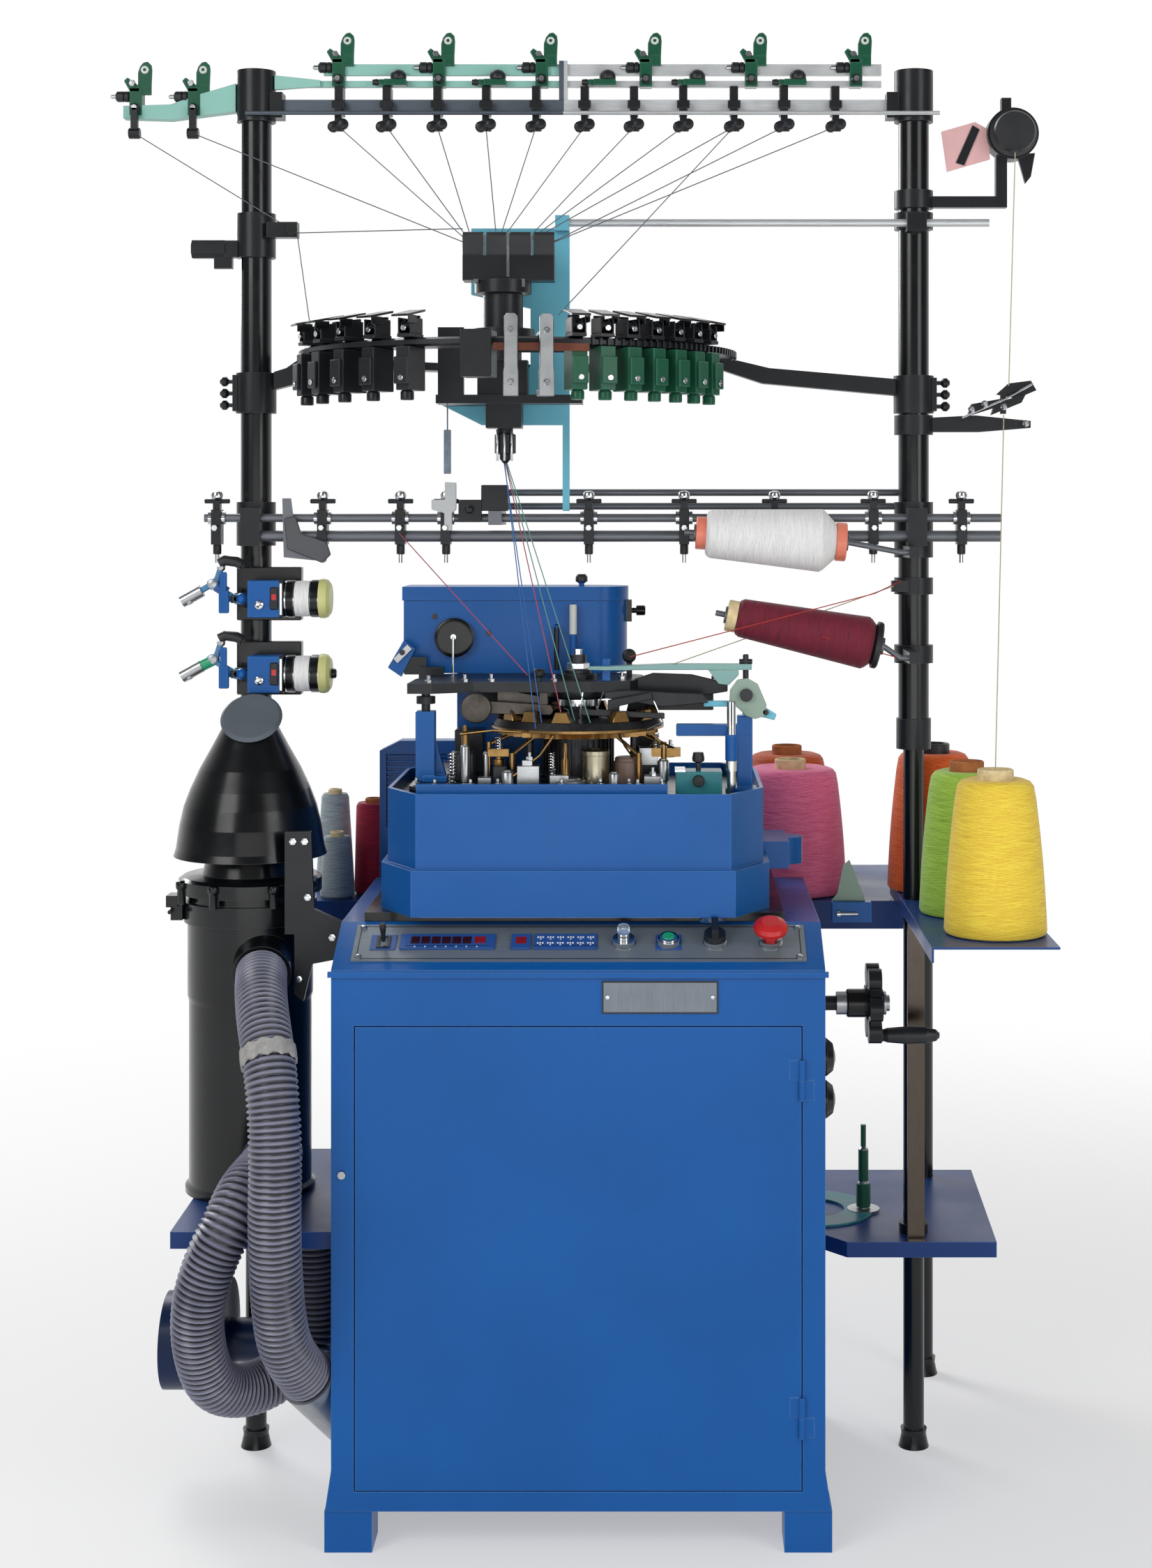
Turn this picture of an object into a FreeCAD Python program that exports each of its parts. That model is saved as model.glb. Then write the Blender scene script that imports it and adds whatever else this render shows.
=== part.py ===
"""Sock knitting machine with its yarn creel, in millimetres.

Each sub-part is a function that returns one shape for its own file. +X is the right-hand side seen from the front,
+Y the back and +Z up. In the functions Y is counted from a plane through the creel, and main() moves every shape so
that the files have their origin on the floor, at the middle of the four feet's bolt holes.
"""
import FreeCAD, Part
import math
import os

V = FreeCAD.Vector

# ---- clearances --------------------------------------------------------------------------------------------
FIT = 0.2            # round a tube or rod that a clamp grips
RUN = 0.3            # beside a piece that moves
PIN_FIT = 0.05       # round a hinge pin or a spindle that turns in its bearing

# ---- cabinet -----------------------------------------------------------------------------------------------
CABINET_WIDTH = 640
FRONT_Y = -300       # front face of the cabinet
CABINET_DEPTH = 480
SHEET = 3            # wall of the cabinet
FOOT_HEIGHT = 54
FOOT_SIDE = 62
FOOT_OUT = 9         # of a foot beyond the cabinet's side
FOOT_INSET = 2       # of a foot behind the cabinet's front and back
BOLT_SPAN_X = CABINET_WIDTH + 2 * FOOT_OUT - FOOT_SIDE
BOLT_SPAN_Y = CABINET_DEPTH - 2 * FOOT_INSET - FOOT_SIDE
BOLT_R = 7
CONSOLE_FRONT_Z = 755
CONSOLE_DEPTH = 100
CONSOLE_RISE = 45
DECK_Z = CONSOLE_FRONT_Z + CONSOLE_RISE      # top of the cabinet
DOOR_SILL_Z = FOOT_HEIGHT + 25.5
DOOR_FRAME_W = 29.5
DOOR_HEAD_H = 72.5
DOOR_OPENING_W = CABINET_WIDTH - 2 * DOOR_FRAME_W
DOOR_OPENING_H = CONSOLE_FRONT_Z - DOOR_HEAD_H - DOOR_SILL_Z
DOOR_GAP = 1.5
DOOR_DEPTH = 20
DOOR_SKIN = 2
FRAME_DEPTH = 25
KNUCKLE_R = 5
HINGE_PIN_R = 3
KNUCKLE_LENGTH = 26
HINGE_INSET = 70     # of a hinge from the door's lower or upper edge
HINGE_Z = (DOOR_SILL_Z + HINGE_INSET, DOOR_SILL_Z + DOOR_OPENING_H - HINGE_INSET - KNUCKLE_LENGTH)
REAR_Y = FRONT_Y + CABINET_DEPTH
SIDE_X = CABINET_WIDTH / 2
BOLT_MID_Y = FRONT_Y + CABINET_DEPTH / 2
COVER_Z = (624, 568)  # round covers on the right wall

# ---- console -----------------------------------------------------------------------------------------------
FASCIA_MARGIN = 23
FASCIA_W = CABINET_WIDTH - 2 * FASCIA_MARGIN
FASCIA_LOW = 18      # up the slope from the front edge
FASCIA_HIGH = 100
FASCIA_T = 2
STEM_LENGTH = 24     # of a switch behind the fascia
CONTROL_S = 58       # row of controls, up the slope
COLLAR_STEM_R = 9
COLLAR_R = 15
COLLAR_H = 7
TOGGLE_X = -258
PUSH_X = 58
START_X = 117
SELECTOR_X = 178
STOP_X = 251

# ---- bed and tub -------------------------------------------------------------------------------------------
DECK_T = 12
TUB_HALF_W = 255
TUB_MID_X = -9
TUB_FRONT_Y = -230
TUB_DEPTH = 400
TUB_STEP_H = 74      # of the step and of the rim above the deck of the cabinet
TUB_RIM_H = 174
TUB_STEP_Z = DECK_Z + TUB_STEP_H
TUB_RIM_Z = DECK_Z + TUB_RIM_H
TUB_WALL = 5
TUB_STEP_OUT = 8
CHAMFER_X = 46
CHAMFER_Y = 80
BED_DROP = 16        # of the bed plate below the rim
BED_Z = TUB_RIM_Z - BED_DROP
BED_T = 8
PLATFORM_T = 22
PLATFORM_Z = BED_Z + PLATFORM_T
PLATFORM_BACK_Y = TUB_FRONT_Y + 360
VENT_X = -316        # left side of the slatted cover behind the tub
VENT_DEPTH = 38
VENT_SLATS = 14

# ---- needle cylinder and drive -----------------------------------------------------------------------------
AXIS_X = TUB_MID_X
AXIS_Y = -60
CYLINDER_R = 48
CYLINDER_BORE_R = 38
CYLINDER_TOP = PLATFORM_Z + 70
NEEDLES = 36
SHAFT_R = 30
SHAFT_BORE_R = 24
DIAL_R = 46
DIAL_SHAFT_R = 11
WHEEL_Z = DECK_Z - 138               # axis of the hand shaft
HAND_SHAFT_R = 10
GEAR_TEETH = 24
GEAR_CONE = 75       # pitch radius of the bevel pair
GEAR_FACE = 20
TOOTH = 7
WHEEL_X = SIDE_X + 84
WHEEL_R = 57
CRANK_OFFSET = 45
PULLEY_X = 150
PULLEY_R = 80
MOTOR_PULLEY_R = 40
MOTOR_R = 75
MOTOR_Z = WHEEL_Z - 392
PULLEY_W = 24
BELT_T = 5

# ---- knitting head -----------------------------------------------------------------------------------------
ARM_Z = CYLINDER_TOP + 51            # underside of the dial's arm
ARM_T = 14
BOX_X0 = AXIS_X - 257                # the gearbox
BOX_X1 = AXIS_X + 66
BOX_Y0 = AXIS_Y + 120
BOX_Y1 = BOX_Y0 + 100
BOX_Z0 = ARM_Z + ARM_T
BOX_Z1 = BOX_Z0 + 105
LID_H = 20
HOUSING_WALL = 4
NECK_FRONT_Y = BOX_Y0 + 16           # front of the neck under the gearbox
LID_EARS = (BOX_X0 + 36, BOX_X0 + 246)
EAR_W = 14
EAR_R = 5.7
LID_HINGE_Y = BOX_Y1 + 6
LID_HINGE_Z = BOX_Z1 - 2
POST_X = AXIS_X - 206
POST_Y = AXIS_Y - 65
POST_TOP = ARM_Z - 25
SAW_TEETH = 40
SAW_R = 112
RIGHT_POST_X = AXIS_X + 231
RIGHT_POST_Y = AXIS_Y - 41
LEVER_Z = ARM_Z - 11                  # pivot of the quadrant plate
CAM_BOX_H = 32       # of the black cam boxes under the dial's arm

# ---- creel -------------------------------------------------------------------------------------------------
POLE_LEFT = -478
POLE_RIGHT = 472
POLE_Y = 50
POLE_R = 22
POLE_WALL = 3
POLE_TOP = 1975
LEG_R = 15
REDUCER_Z = 1037     # where the right pole ends on its thin leg
RUBBER_HEIGHT = 26
REAR_LEG = (518, 335)
COLLAR_WALL = 6
CAP_R = POLE_R + COLLAR_WALL
CAP_HEIGHT = 74
SOCKET_REACH = 12    # of a crossbar socket beyond the cap
BAR_SIDE = 17
BAR_Z = POLE_TOP - 49                # underside of the crossbar
RAIL_Z = BAR_Z + BAR_SIDE + 19       # underside of the lower rail
RAIL_H = 9
TOP_RAIL_Z = RAIL_Z + RAIL_H + 8
TOP_RAIL_H = 16
RAIL_T = 8
JOINT_X = -34        # clamp in the middle of the top rails
RAIL_LEFT = -380
RAIL_RIGHT = 425
ROD_Y = POLE_Y - 38  # front row of middle rods
BACK_ROD_Y = POLE_Y + 38
ROD_C_Z = 1340
ROD_E_Z = ROD_C_Z - 26
ROD_C_R = 6
ROD_E_R = 8
BACK_ROD_R = 5
BACK_RODS_Z = (ROD_C_Z + 37, ROD_C_Z + 17)
ARM_ROD_Z = 1762
ARM_ROD_R = 5.5
ARM_ROD_Y = POLE_Y - 35
SPINDLE_Y = -55
SPINDLE_R = 4
WHITE_LUG_Z = ROD_E_Z - 22             # arm that holds the white cone's spindle
MAROON_LUG_Z = 1144
RING_X = -100
RING_Y = POLE_Y
RING_Z = 1567
RING_T = 12
RING_R = 313
RING_INNER_R = 262
BRACKET_Y = ARM_ROD_Y + 7
COLUMN_X = -115
COLUMN_Y = -40
BASE_Z = RING_Z - 67                  # underside of the distribution head's base plate
PADS = 4

# ---- feeders -----------------------------------------------------------------------------------------------
FEEDER_Z = (1226, 1120)
FEEDER_Y = -20
FEEDER_SIDE = 50
FEEDER_X0 = POLE_LEFT + 5
FEEDER_X1 = FEEDER_X0 + FEEDER_SIDE
DRUM_R = 26
DRUM_LENGTH = 62
PIVOT_X = FEEDER_X0 - 19
RIGHT_DRUM_X = POLE_RIGHT + 141
RIGHT_DRUM_Z = 1893
RIGHT_DRUM_R = 34

# ---- canister, hoses and blower ----------------------------------------------------------------------------
CAN_X = -463
CAN_Y = -80
CAN_R = 86
TRAY_T = 22
TRAY_SHEET = 3
LEFT_TRAY_Z = 412
RIGHT_TRAY_Z = 309
UPPER_TRAY_Z = 790
UPPER_TRAY_X = 454   # left edge of the upper tray
SHELF_Z = 765
CAN_HEIGHT = 412
CAN_TOP = LEFT_TRAY_Z + CAN_HEIGHT
BAND_Z = CAN_TOP - 40
BAND_H = 28
BAND_R = CAN_R + 5
BELL_R = 105
BELL_RIM_Z = CAN_TOP + 50
BELL_TOP = BELL_RIM_Z + 190
HOSE_R = 34.5
HOSE_PORT_Y = -196
HOSE_PORT_Z = 128
BLOWER_Y = -50
BLOWER_Z = 188
BLOWER_R = 66
SCROLL_R = 84         # of the blower's fan housing

# ---- yarn cones --------------------------------------------------------------------------------------------
PAPER_R = 24
PAPER_OUT = 14       # how far the paper tube stands out
YARN_R = 0.7


# ---- plain shapes ------------------------------------------------------------------------------------------
def block(x0, x1, y0, y1, z0, z1):
    return Part.makeBox(x1 - x0, y1 - y0, z1 - z0, V(x0, y0, z0))


def rod(start, end, radius):
    run = V(*end) - V(*start)
    return Part.makeCylinder(radius, run.Length, V(*start), run)


def tube(start, end, radius, bore):
    return rod(start, end, radius).cut(rod(start, end, bore))


def slab(points, way):
    """A flat outline of 3-D points pushed along a way."""
    outline = [V(*p) for p in points]
    return Part.Face(Part.makePolygon(outline + outline[:1])).extrude(V(*way))


def facet_rod(start, end, radius, sides=8):
    """A many-sided bar, used where a small knob or pin repeats."""
    run = V(*end) - V(*start)
    along = V(run).normalize()
    helper = V(1, 0, 0) if abs(along.z) > 0.8 else V(0, 0, 1)
    across = along.cross(helper).normalize()
    upward = along.cross(across)
    ring = []
    for i in range(sides):
        turn = 2 * math.pi * (i + 0.5) / sides
        ring.append(V(*start) + across * (radius * math.cos(turn)) + upward * (radius * math.sin(turn)))
    return Part.Face(Part.makePolygon(ring + ring[:1])).extrude(run)


def turned(profile, foot, axis=(0, 0, 1)):
    """A closed profile of (radius, height) turned about an axis through foot."""
    outline = [V(r, 0, h) for r, h in profile]
    solid = Part.Face(Part.makePolygon(outline + outline[:1])).revolve(V(0, 0, 0), V(0, 0, 1), 360)
    solid.Placement = FreeCAD.Placement(V(*foot), FreeCAD.Rotation(V(0, 0, 1), V(*axis)))
    return solid


def joined(*shapes):
    return shapes[0].fuse(list(shapes[1:])).removeSplitter()


def group(*shapes):
    return Part.makeCompound(list(shapes))


def spun(shape, degrees, centre, axis=(0, 0, 1)):
    copy = shape.copy()
    copy.rotate(V(*centre), V(*axis), degrees)
    return copy


def moved(shape, x, y, z):
    copy = shape.copy()
    copy.translate(V(x, y, z))
    return copy


# ---- cabinet -----------------------------------------------------------------------------------------------
SLOPE = math.atan2(DECK_Z - CONSOLE_FRONT_Z, CONSOLE_DEPTH)
NORMAL = (0, -math.sin(SLOPE), math.cos(SLOPE))


def on_slope(x, s, out=0):
    """The point at x, s up the console's slope and out from it."""
    y = FRONT_Y + s * math.cos(SLOPE) + out * NORMAL[1]
    z = CONSOLE_FRONT_Z + s * math.sin(SLOPE) + out * NORMAL[2]
    return (x, y, z)


def side_profile():
    points = [(FRONT_Y, FOOT_HEIGHT), (REAR_Y, FOOT_HEIGHT), (REAR_Y, DECK_Z),
              (FRONT_Y + CONSOLE_DEPTH, DECK_Z), (FRONT_Y, CONSOLE_FRONT_Z)]
    outline = [V(0, y, z) for y, z in points]
    return Part.makePolygon(outline + outline[:1])


def door_opening():
    half = DOOR_OPENING_W / 2
    return block(-half, half, FRONT_Y - 1, FRONT_Y + FRAME_DEPTH + 1, DOOR_SILL_Z,
                 DOOR_SILL_Z + DOOR_OPENING_H)


def hinge_axis():
    return (DOOR_OPENING_W / 2 - DOOR_GAP / 2, FRONT_Y - DOOR_GAP)


def knuckle(low, reach):
    """One barrel of a door hinge, from its low end, as thick as reach."""
    x, y = hinge_axis()
    return rod((x, y, low), (x, y, low + KNUCKLE_LENGTH), KNUCKLE_R + reach)


def base_flare(side):
    """The skirt that flares out beside the feet."""
    low = FOOT_HEIGHT
    inner = side * (SIDE_X - 1)
    outline = [(inner, REAR_Y, low), (side * (SIDE_X + 8), REAR_Y, low), (inner, REAR_Y, low + 60)]
    return slab(outline, (0, -CABINET_DEPTH, 0))


def make_cabinet_shell():
    outer = Part.Face(side_profile()).extrude(V(CABINET_WIDTH, 0, 0))
    outer.translate(V(-SIDE_X, 0, 0))
    hollow = Part.Face(side_profile().makeOffset2D(-SHEET, 2)).extrude(V(CABINET_WIDTH - 2 * SHEET, 0, 0))
    hollow.translate(V(-SIDE_X + SHEET, 0, 0))
    shell = outer.cut(hollow)
    inside = SIDE_X - SHEET
    frame = block(-inside, inside, FRONT_Y + SHEET, FRONT_Y + FRAME_DEPTH, FOOT_HEIGHT + SHEET,
                  CONSOLE_FRONT_Z - 8)
    lip = block(-SIDE_X - 4, SIDE_X + 4, FRONT_Y - 5, FRONT_Y, CONSOLE_FRONT_Z - 9, CONSOLE_FRONT_Z - 2)
    shell = joined(shell, frame, lip, base_flare(1), base_flare(-1))
    shell = shell.cut(door_opening())
    for x in (PUSH_X, START_X, SELECTOR_X, STOP_X):
        shell = shell.cut(rod(on_slope(x, CONTROL_S, -STEM_LENGTH), on_slope(x, CONTROL_S, 1),
                              COLLAR_STEM_R + RUN))
    shell = shell.cut(rod((AXIS_X, AXIS_Y, DECK_Z - 9), (AXIS_X, AXIS_Y, DECK_Z + 1), SHAFT_R + RUN))
    shell = shell.cut(rod((SIDE_X - 9, AXIS_Y, WHEEL_Z), (SIDE_X + 9, AXIS_Y, WHEEL_Z), HAND_SHAFT_R + RUN))
    shell = shell.cut(rod((-SIDE_X - 9, HOSE_PORT_Y, HOSE_PORT_Z), (-SIDE_X + 9, HOSE_PORT_Y, HOSE_PORT_Z),
                          24))
    shell = shell.cut(rod((-SIDE_X - 9, BLOWER_Y, BLOWER_Z), (-SIDE_X + 9, BLOWER_Y, BLOWER_Z), 36))
    for z in HINGE_Z:
        shell = shell.cut(knuckle(z + KNUCKLE_LENGTH, RUN))
        x, y = hinge_axis()
        leaf = block(x, x + 16, FRONT_Y - 1, FRONT_Y + 1, z, z + KNUCKLE_LENGTH)
        pin = rod((x, y, z), (x, y, z + 2 * KNUCKLE_LENGTH), HINGE_PIN_R)
        shell = joined(shell, knuckle(z, 0), leaf, pin)
    return shell


def make_cabinet_feet():
    feet = []
    for sx in (-1, 1):
        for sy in (-1, 1):
            x = sx * BOLT_SPAN_X / 2
            y = sy * BOLT_SPAN_Y / 2 + BOLT_MID_Y
            half = FOOT_SIDE / 2
            foot = block(x - half, x + half, y - half, y + half, 0, FOOT_HEIGHT)
            hollow = block(x - half + 5, x + half - 5, y - half + 5, y + half - 5, 8, FOOT_HEIGHT - 6)
            mouth = block(x - half + 5, x + half - 5, min(y, y - sy * half), max(y, y - sy * half), 8,
                          FOOT_HEIGHT - 6)
            feet.append(foot.cut(hollow).cut(mouth).cut(rod((x, y, -1), (x, y, 9), BOLT_R)))
    return group(*feet)


def make_door():
    half = DOOR_OPENING_W / 2 - DOOR_GAP
    low = DOOR_SILL_Z + DOOR_GAP
    high = DOOR_SILL_Z + DOOR_OPENING_H - DOOR_GAP
    back = FRONT_Y + DOOR_DEPTH
    door = block(-half, half, FRONT_Y, back, low, high)
    inner = block(-half + DOOR_SKIN, half - DOOR_SKIN, FRONT_Y + DOOR_SKIN, back + 1, low + DOOR_SKIN,
                  high - DOOR_SKIN)
    door = door.cut(inner)
    for z in HINGE_Z:
        door = door.cut(knuckle(z, RUN))
        x, y = hinge_axis()
        leaf = block(x - 16, x, FRONT_Y - 1, FRONT_Y + 1, z + KNUCKLE_LENGTH + RUN, z + 2 * KNUCKLE_LENGTH)
        barrel = rod((x, y, z + KNUCKLE_LENGTH + RUN), (x, y, z + 2 * KNUCKLE_LENGTH), KNUCKLE_R)
        door = joined(door, barrel, leaf)
        door = door.cut(rod((x, y, z), (x, y, z + 2 * KNUCKLE_LENGTH + 1), HINGE_PIN_R + PIN_FIT))
    return door


def make_cabinet_fittings():
    """Round covers on the right wall, the hose flange on the left one, the door's lock and the control box."""
    covers = []
    for z in COVER_Z:
        dome = turned([(0, 0), (24, 0), (24, 6), (17, 14), (6, 17), (0, 17)], (SIDE_X, -220, z), (1, 0, 0))
        covers.append(dome)
    lock = rod((-SIDE_X + 14, FRONT_Y - 4, 490), (-SIDE_X + 14, FRONT_Y, 490), 5)
    belt_back = AXIS_Y + PULLEY_R + BELT_T
    control_box = block(SIDE_X - SHEET - 167, SIDE_X - SHEET, belt_back + 35, REAR_Y - SHEET, WHEEL_Z - 242,
                        WHEEL_Z - 62)
    post = turned([(0, 0), (24, 0), (24, 4), (9, 5), (9, 40), (7, 44), (7, 92), (3, 96), (3, 128), (0, 128)],
                  (SIDE_X + 88, REAR_Y - 30, RIGHT_TRAY_Z))
    return group(*covers, cabinet_port(), lock, control_box, post)


# ---- console -----------------------------------------------------------------------------------------------
def slope_plate(x0, x1, low, high, bottom, thickness):
    corners = [on_slope(x0, low, bottom), on_slope(x1, low, bottom), on_slope(x1, high, bottom),
               on_slope(x0, high, bottom)]
    return slab(corners, [thickness * n for n in NORMAL])


def make_fascia_plate():
    plate = slope_plate(-FASCIA_W / 2, FASCIA_W / 2, FASCIA_LOW, FASCIA_HIGH, 0, FASCIA_T)
    collars = []
    for x in (PUSH_X, START_X, SELECTOR_X, STOP_X):
        low, high = on_slope(x, CONTROL_S, -SHEET), on_slope(x, CONTROL_S, FASCIA_T + 1)
        plate = plate.cut(rod(low, high, COLLAR_STEM_R + RUN))
        seat, top = on_slope(x, CONTROL_S, FASCIA_T), on_slope(x, CONTROL_S, FASCIA_T + COLLAR_H)
        collars.append(tube(seat, top, COLLAR_R, COLLAR_STEM_R + RUN))
    screws = []
    for x in (-FASCIA_W / 2 + 9, FASCIA_W / 2 - 9):
        for s in (FASCIA_LOW + 8, FASCIA_HIGH - 8):
            screws.append(facet_rod(on_slope(x, s, FASCIA_T), on_slope(x, s, FASCIA_T + 2), 4))
    middle = CONSOLE_FRONT_Z - 35
    name_plate = block(31, 181, FRONT_Y - 2, FRONT_Y, middle - 21, middle + 21)
    rivets = [facet_rod((x, FRONT_Y - 3, middle), (x, FRONT_Y - 2, middle), 3) for x in (38, 174)]
    return group(plate, *collars, *screws, name_plate, *rivets)


def make_keypad_panels():
    """Two blue key fields with raised windows, and the toggle's red base."""
    fields = []
    for x0, x1 in ((-236, -111), (-90, -64), (-58, 23)):
        fields.append(slope_plate(x0, x1, 44, 74, FASCIA_T, 3))
    base = slope_plate(TOGGLE_X - 10, TOGGLE_X + 10, 44, 72, FASCIA_T, 4)
    slot = slope_plate(TOGGLE_X - 4, TOGGLE_X + 4, 48, 68, FASCIA_T + 1, 5)
    return group(*fields, base.cut(slot))


def make_toggle_lever():
    foot = on_slope(TOGGLE_X, CONTROL_S, FASCIA_T + 1 + RUN)
    lever = turned([(0, 0), (0.8, 0), (2.6, 2.5), (2.6, 8), (4.5, 24), (3.5, 29), (0, 29)], foot, NORMAL)
    return lever


def stem(x):
    return rod(on_slope(x, CONTROL_S, -STEM_LENGTH + 8), on_slope(x, CONTROL_S, FASCIA_T + COLLAR_H),
               COLLAR_STEM_R)


def make_push_button():
    cap = turned([(0, 0), (8, 0), (8, 8), (6.5, 10), (0, 10)],
                 on_slope(PUSH_X, CONTROL_S, FASCIA_T + COLLAR_H), NORMAL)
    return joined(stem(PUSH_X), cap)


def make_start_button():
    cap = turned([(0, 0), (8.5, 0), (8.5, 4), (7.5, 5), (0, 5)],
                 on_slope(START_X, CONTROL_S, FASCIA_T + COLLAR_H),
                 NORMAL)
    return joined(stem(START_X), cap)


def make_stop_button():
    """A mushroom that stands above its collar by its own travel."""
    neck_top = FASCIA_T + COLLAR_H
    mushroom = turned([(0, 0), (8.5, 0), (8.5, 10), (22, 13), (23, 18), (20, 23), (12, 27), (0, 27)],
                      on_slope(STOP_X, CONTROL_S, neck_top), NORMAL)
    return joined(stem(STOP_X), mushroom)


def make_selector_knob():
    foot = FASCIA_T + COLLAR_H + RUN
    disc = turned([(0, 0), (15, 0), (14, 9), (0, 9)], on_slope(SELECTOR_X, CONTROL_S, foot), NORMAL)
    grip = slope_plate(SELECTOR_X - 4.5, SELECTOR_X + 4.5, CONTROL_S - 15, CONTROL_S + 15, foot + 8, 15)
    return joined(stem(SELECTOR_X), disc, grip, rod(on_slope(SELECTOR_X, CONTROL_S, 0),
                                                    on_slope(SELECTOR_X, CONTROL_S, foot + 2), COLLAR_STEM_R))


# ---- bed and tub -------------------------------------------------------------------------------------------
def octagon(grow, z, height):
    """The tub's outline, grown outwards all round."""
    x0, x1 = TUB_MID_X - TUB_HALF_W - grow, TUB_MID_X + TUB_HALF_W + grow
    y0, y1 = TUB_FRONT_Y - grow, TUB_FRONT_Y + TUB_DEPTH + grow
    cx, cy = CHAMFER_X + grow * 0.3, CHAMFER_Y + grow * 0.3
    points = [(x0 + cx, y0, z), (x1 - cx, y0, z), (x1, y0 + cy, z), (x1, y1 - cy, z), (x1 - cx, y1, z),
              (x0 + cx, y1, z), (x0, y1 - cy, z), (x0, y0 + cy, z)]
    return slab(points, (0, 0, height))


def make_tub():
    base_z = DECK_Z + DECK_T
    outer = joined(octagon(TUB_STEP_OUT, base_z, TUB_STEP_Z - base_z),
                   octagon(0, TUB_STEP_Z, TUB_RIM_Z - TUB_STEP_Z))
    hollow = octagon(-TUB_WALL, base_z + TUB_WALL, TUB_RIM_Z - base_z)
    tub = outer.cut(hollow)
    tub = tub.cut(rod((AXIS_X, AXIS_Y, base_z - 1), (AXIS_X, AXIS_Y, base_z + TUB_WALL + 1), SHAFT_R + 4))
    side = TUB_MID_X + TUB_HALF_W
    low, high = TUB_STEP_Z - 24, TUB_STEP_Z + 14
    bracket = joined(block(side, side + 40, -60, 60, low, high),
                     rod((side + 40, 0, low), (side + 40, 0, high), 22))
    return group(joined(tub, bracket), make_vent_cover())


def make_deck_plates():
    """The black deck under the tub, and the bed plate with its raised platform in the tub."""
    deck = block(-SIDE_X + 30, SIDE_X - 48, FRONT_Y + CONSOLE_DEPTH + 4, REAR_Y - 5, DECK_Z, DECK_Z + DECK_T)
    bed = octagon(-TUB_WALL - FIT, BED_Z - BED_T, BED_T)
    legs = []
    for x in (TUB_MID_X - 191, TUB_MID_X + 189):
        for y in (TUB_FRONT_Y + 60, TUB_FRONT_Y + TUB_DEPTH - 60):
            legs.append(rod((x, y, DECK_Z + DECK_T + TUB_WALL), (x, y, BED_Z - BED_T), 10))
    left, right, front = TUB_MID_X - 223, TUB_MID_X + 125, TUB_FRONT_Y + 25
    corners = [(left, front + 25), (left + 14, front), (right, front), (right, PLATFORM_BACK_Y),
               (left, PLATFORM_BACK_Y)]
    platform = slab([(x, y, BED_Z) for x, y in corners], (0, 0, PLATFORM_Z - BED_Z))
    well = rod((AXIS_X, AXIS_Y, BED_Z - BED_T - 1), (AXIS_X, AXIS_Y, PLATFORM_Z + 1), CYLINDER_R + 6)
    bearing = tube((AXIS_X, AXIS_Y, DECK_Z + DECK_T), (AXIS_X, AXIS_Y, DECK_Z + DECK_T + 60), SHAFT_R + 12,
                   SHAFT_R + PIN_FIT)
    deck = deck.cut(rod((AXIS_X, AXIS_Y, DECK_Z - 1), (AXIS_X, AXIS_Y, DECK_Z + DECK_T + 1),
                        SHAFT_R + PIN_FIT))
    bearing = bearing.cut(rod((AXIS_X, AXIS_Y, DECK_Z), (AXIS_X, AXIS_Y, DECK_Z + DECK_T + 4), SHAFT_R + 1))
    tub_cut = tube((AXIS_X, AXIS_Y, DECK_Z + DECK_T), (AXIS_X, AXIS_Y, DECK_Z + DECK_T + TUB_WALL),
                   SHAFT_R + 20,
                   SHAFT_R + 4 - FIT)
    top = joined(bed, platform).cut(well)
    return group(joined(deck, bearing.cut(tub_cut)), top, *legs)


def make_vent_cover():
    """Blue cover with a slatted face that stands on the rear shelf behind the tub's left corner."""
    x0, x1, front = VENT_X, VENT_X + 136, REAR_Y + 4
    top = TUB_RIM_Z + 31
    outline = [(x0, SHELF_Z), (x0, top - 15), (x0 + 30, top), (x1, top), (x1, SHELF_Z)]
    cover = slab([(x, front, z) for x, z in outline], (0, VENT_DEPTH, 0))
    low, high = top - 130, top - 20
    cover = cover.cut(block(x0 + 10, x1 - 10, front - 1, front + 8, low, high))
    slats = []
    for i in range(VENT_SLATS):
        z = low + (high - low) * (i + 0.5) / VENT_SLATS
        slats.append(block(x0 + 9, x1 - 9, front + 3, front + 9, z - 1.5, z + 1.5))
    return joined(cover, *slats)


# ---- knitting head -----------------------------------------------------------------------------------------
def box_outline(grow, z, height):
    """The gearbox's outline: square at the left, rounded at the right."""
    y_mid = (BOX_Y0 + BOX_Y1) / 2
    radius = (BOX_Y1 - BOX_Y0) / 2 + grow
    straight = block(BOX_X0 - grow, BOX_X1 - radius + grow, BOX_Y0 - grow, BOX_Y1 + grow, z, z + height)
    centre_x = BOX_X1 - radius + grow
    return joined(straight, rod((centre_x, y_mid, z), (centre_x, y_mid, z + height), radius))


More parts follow.
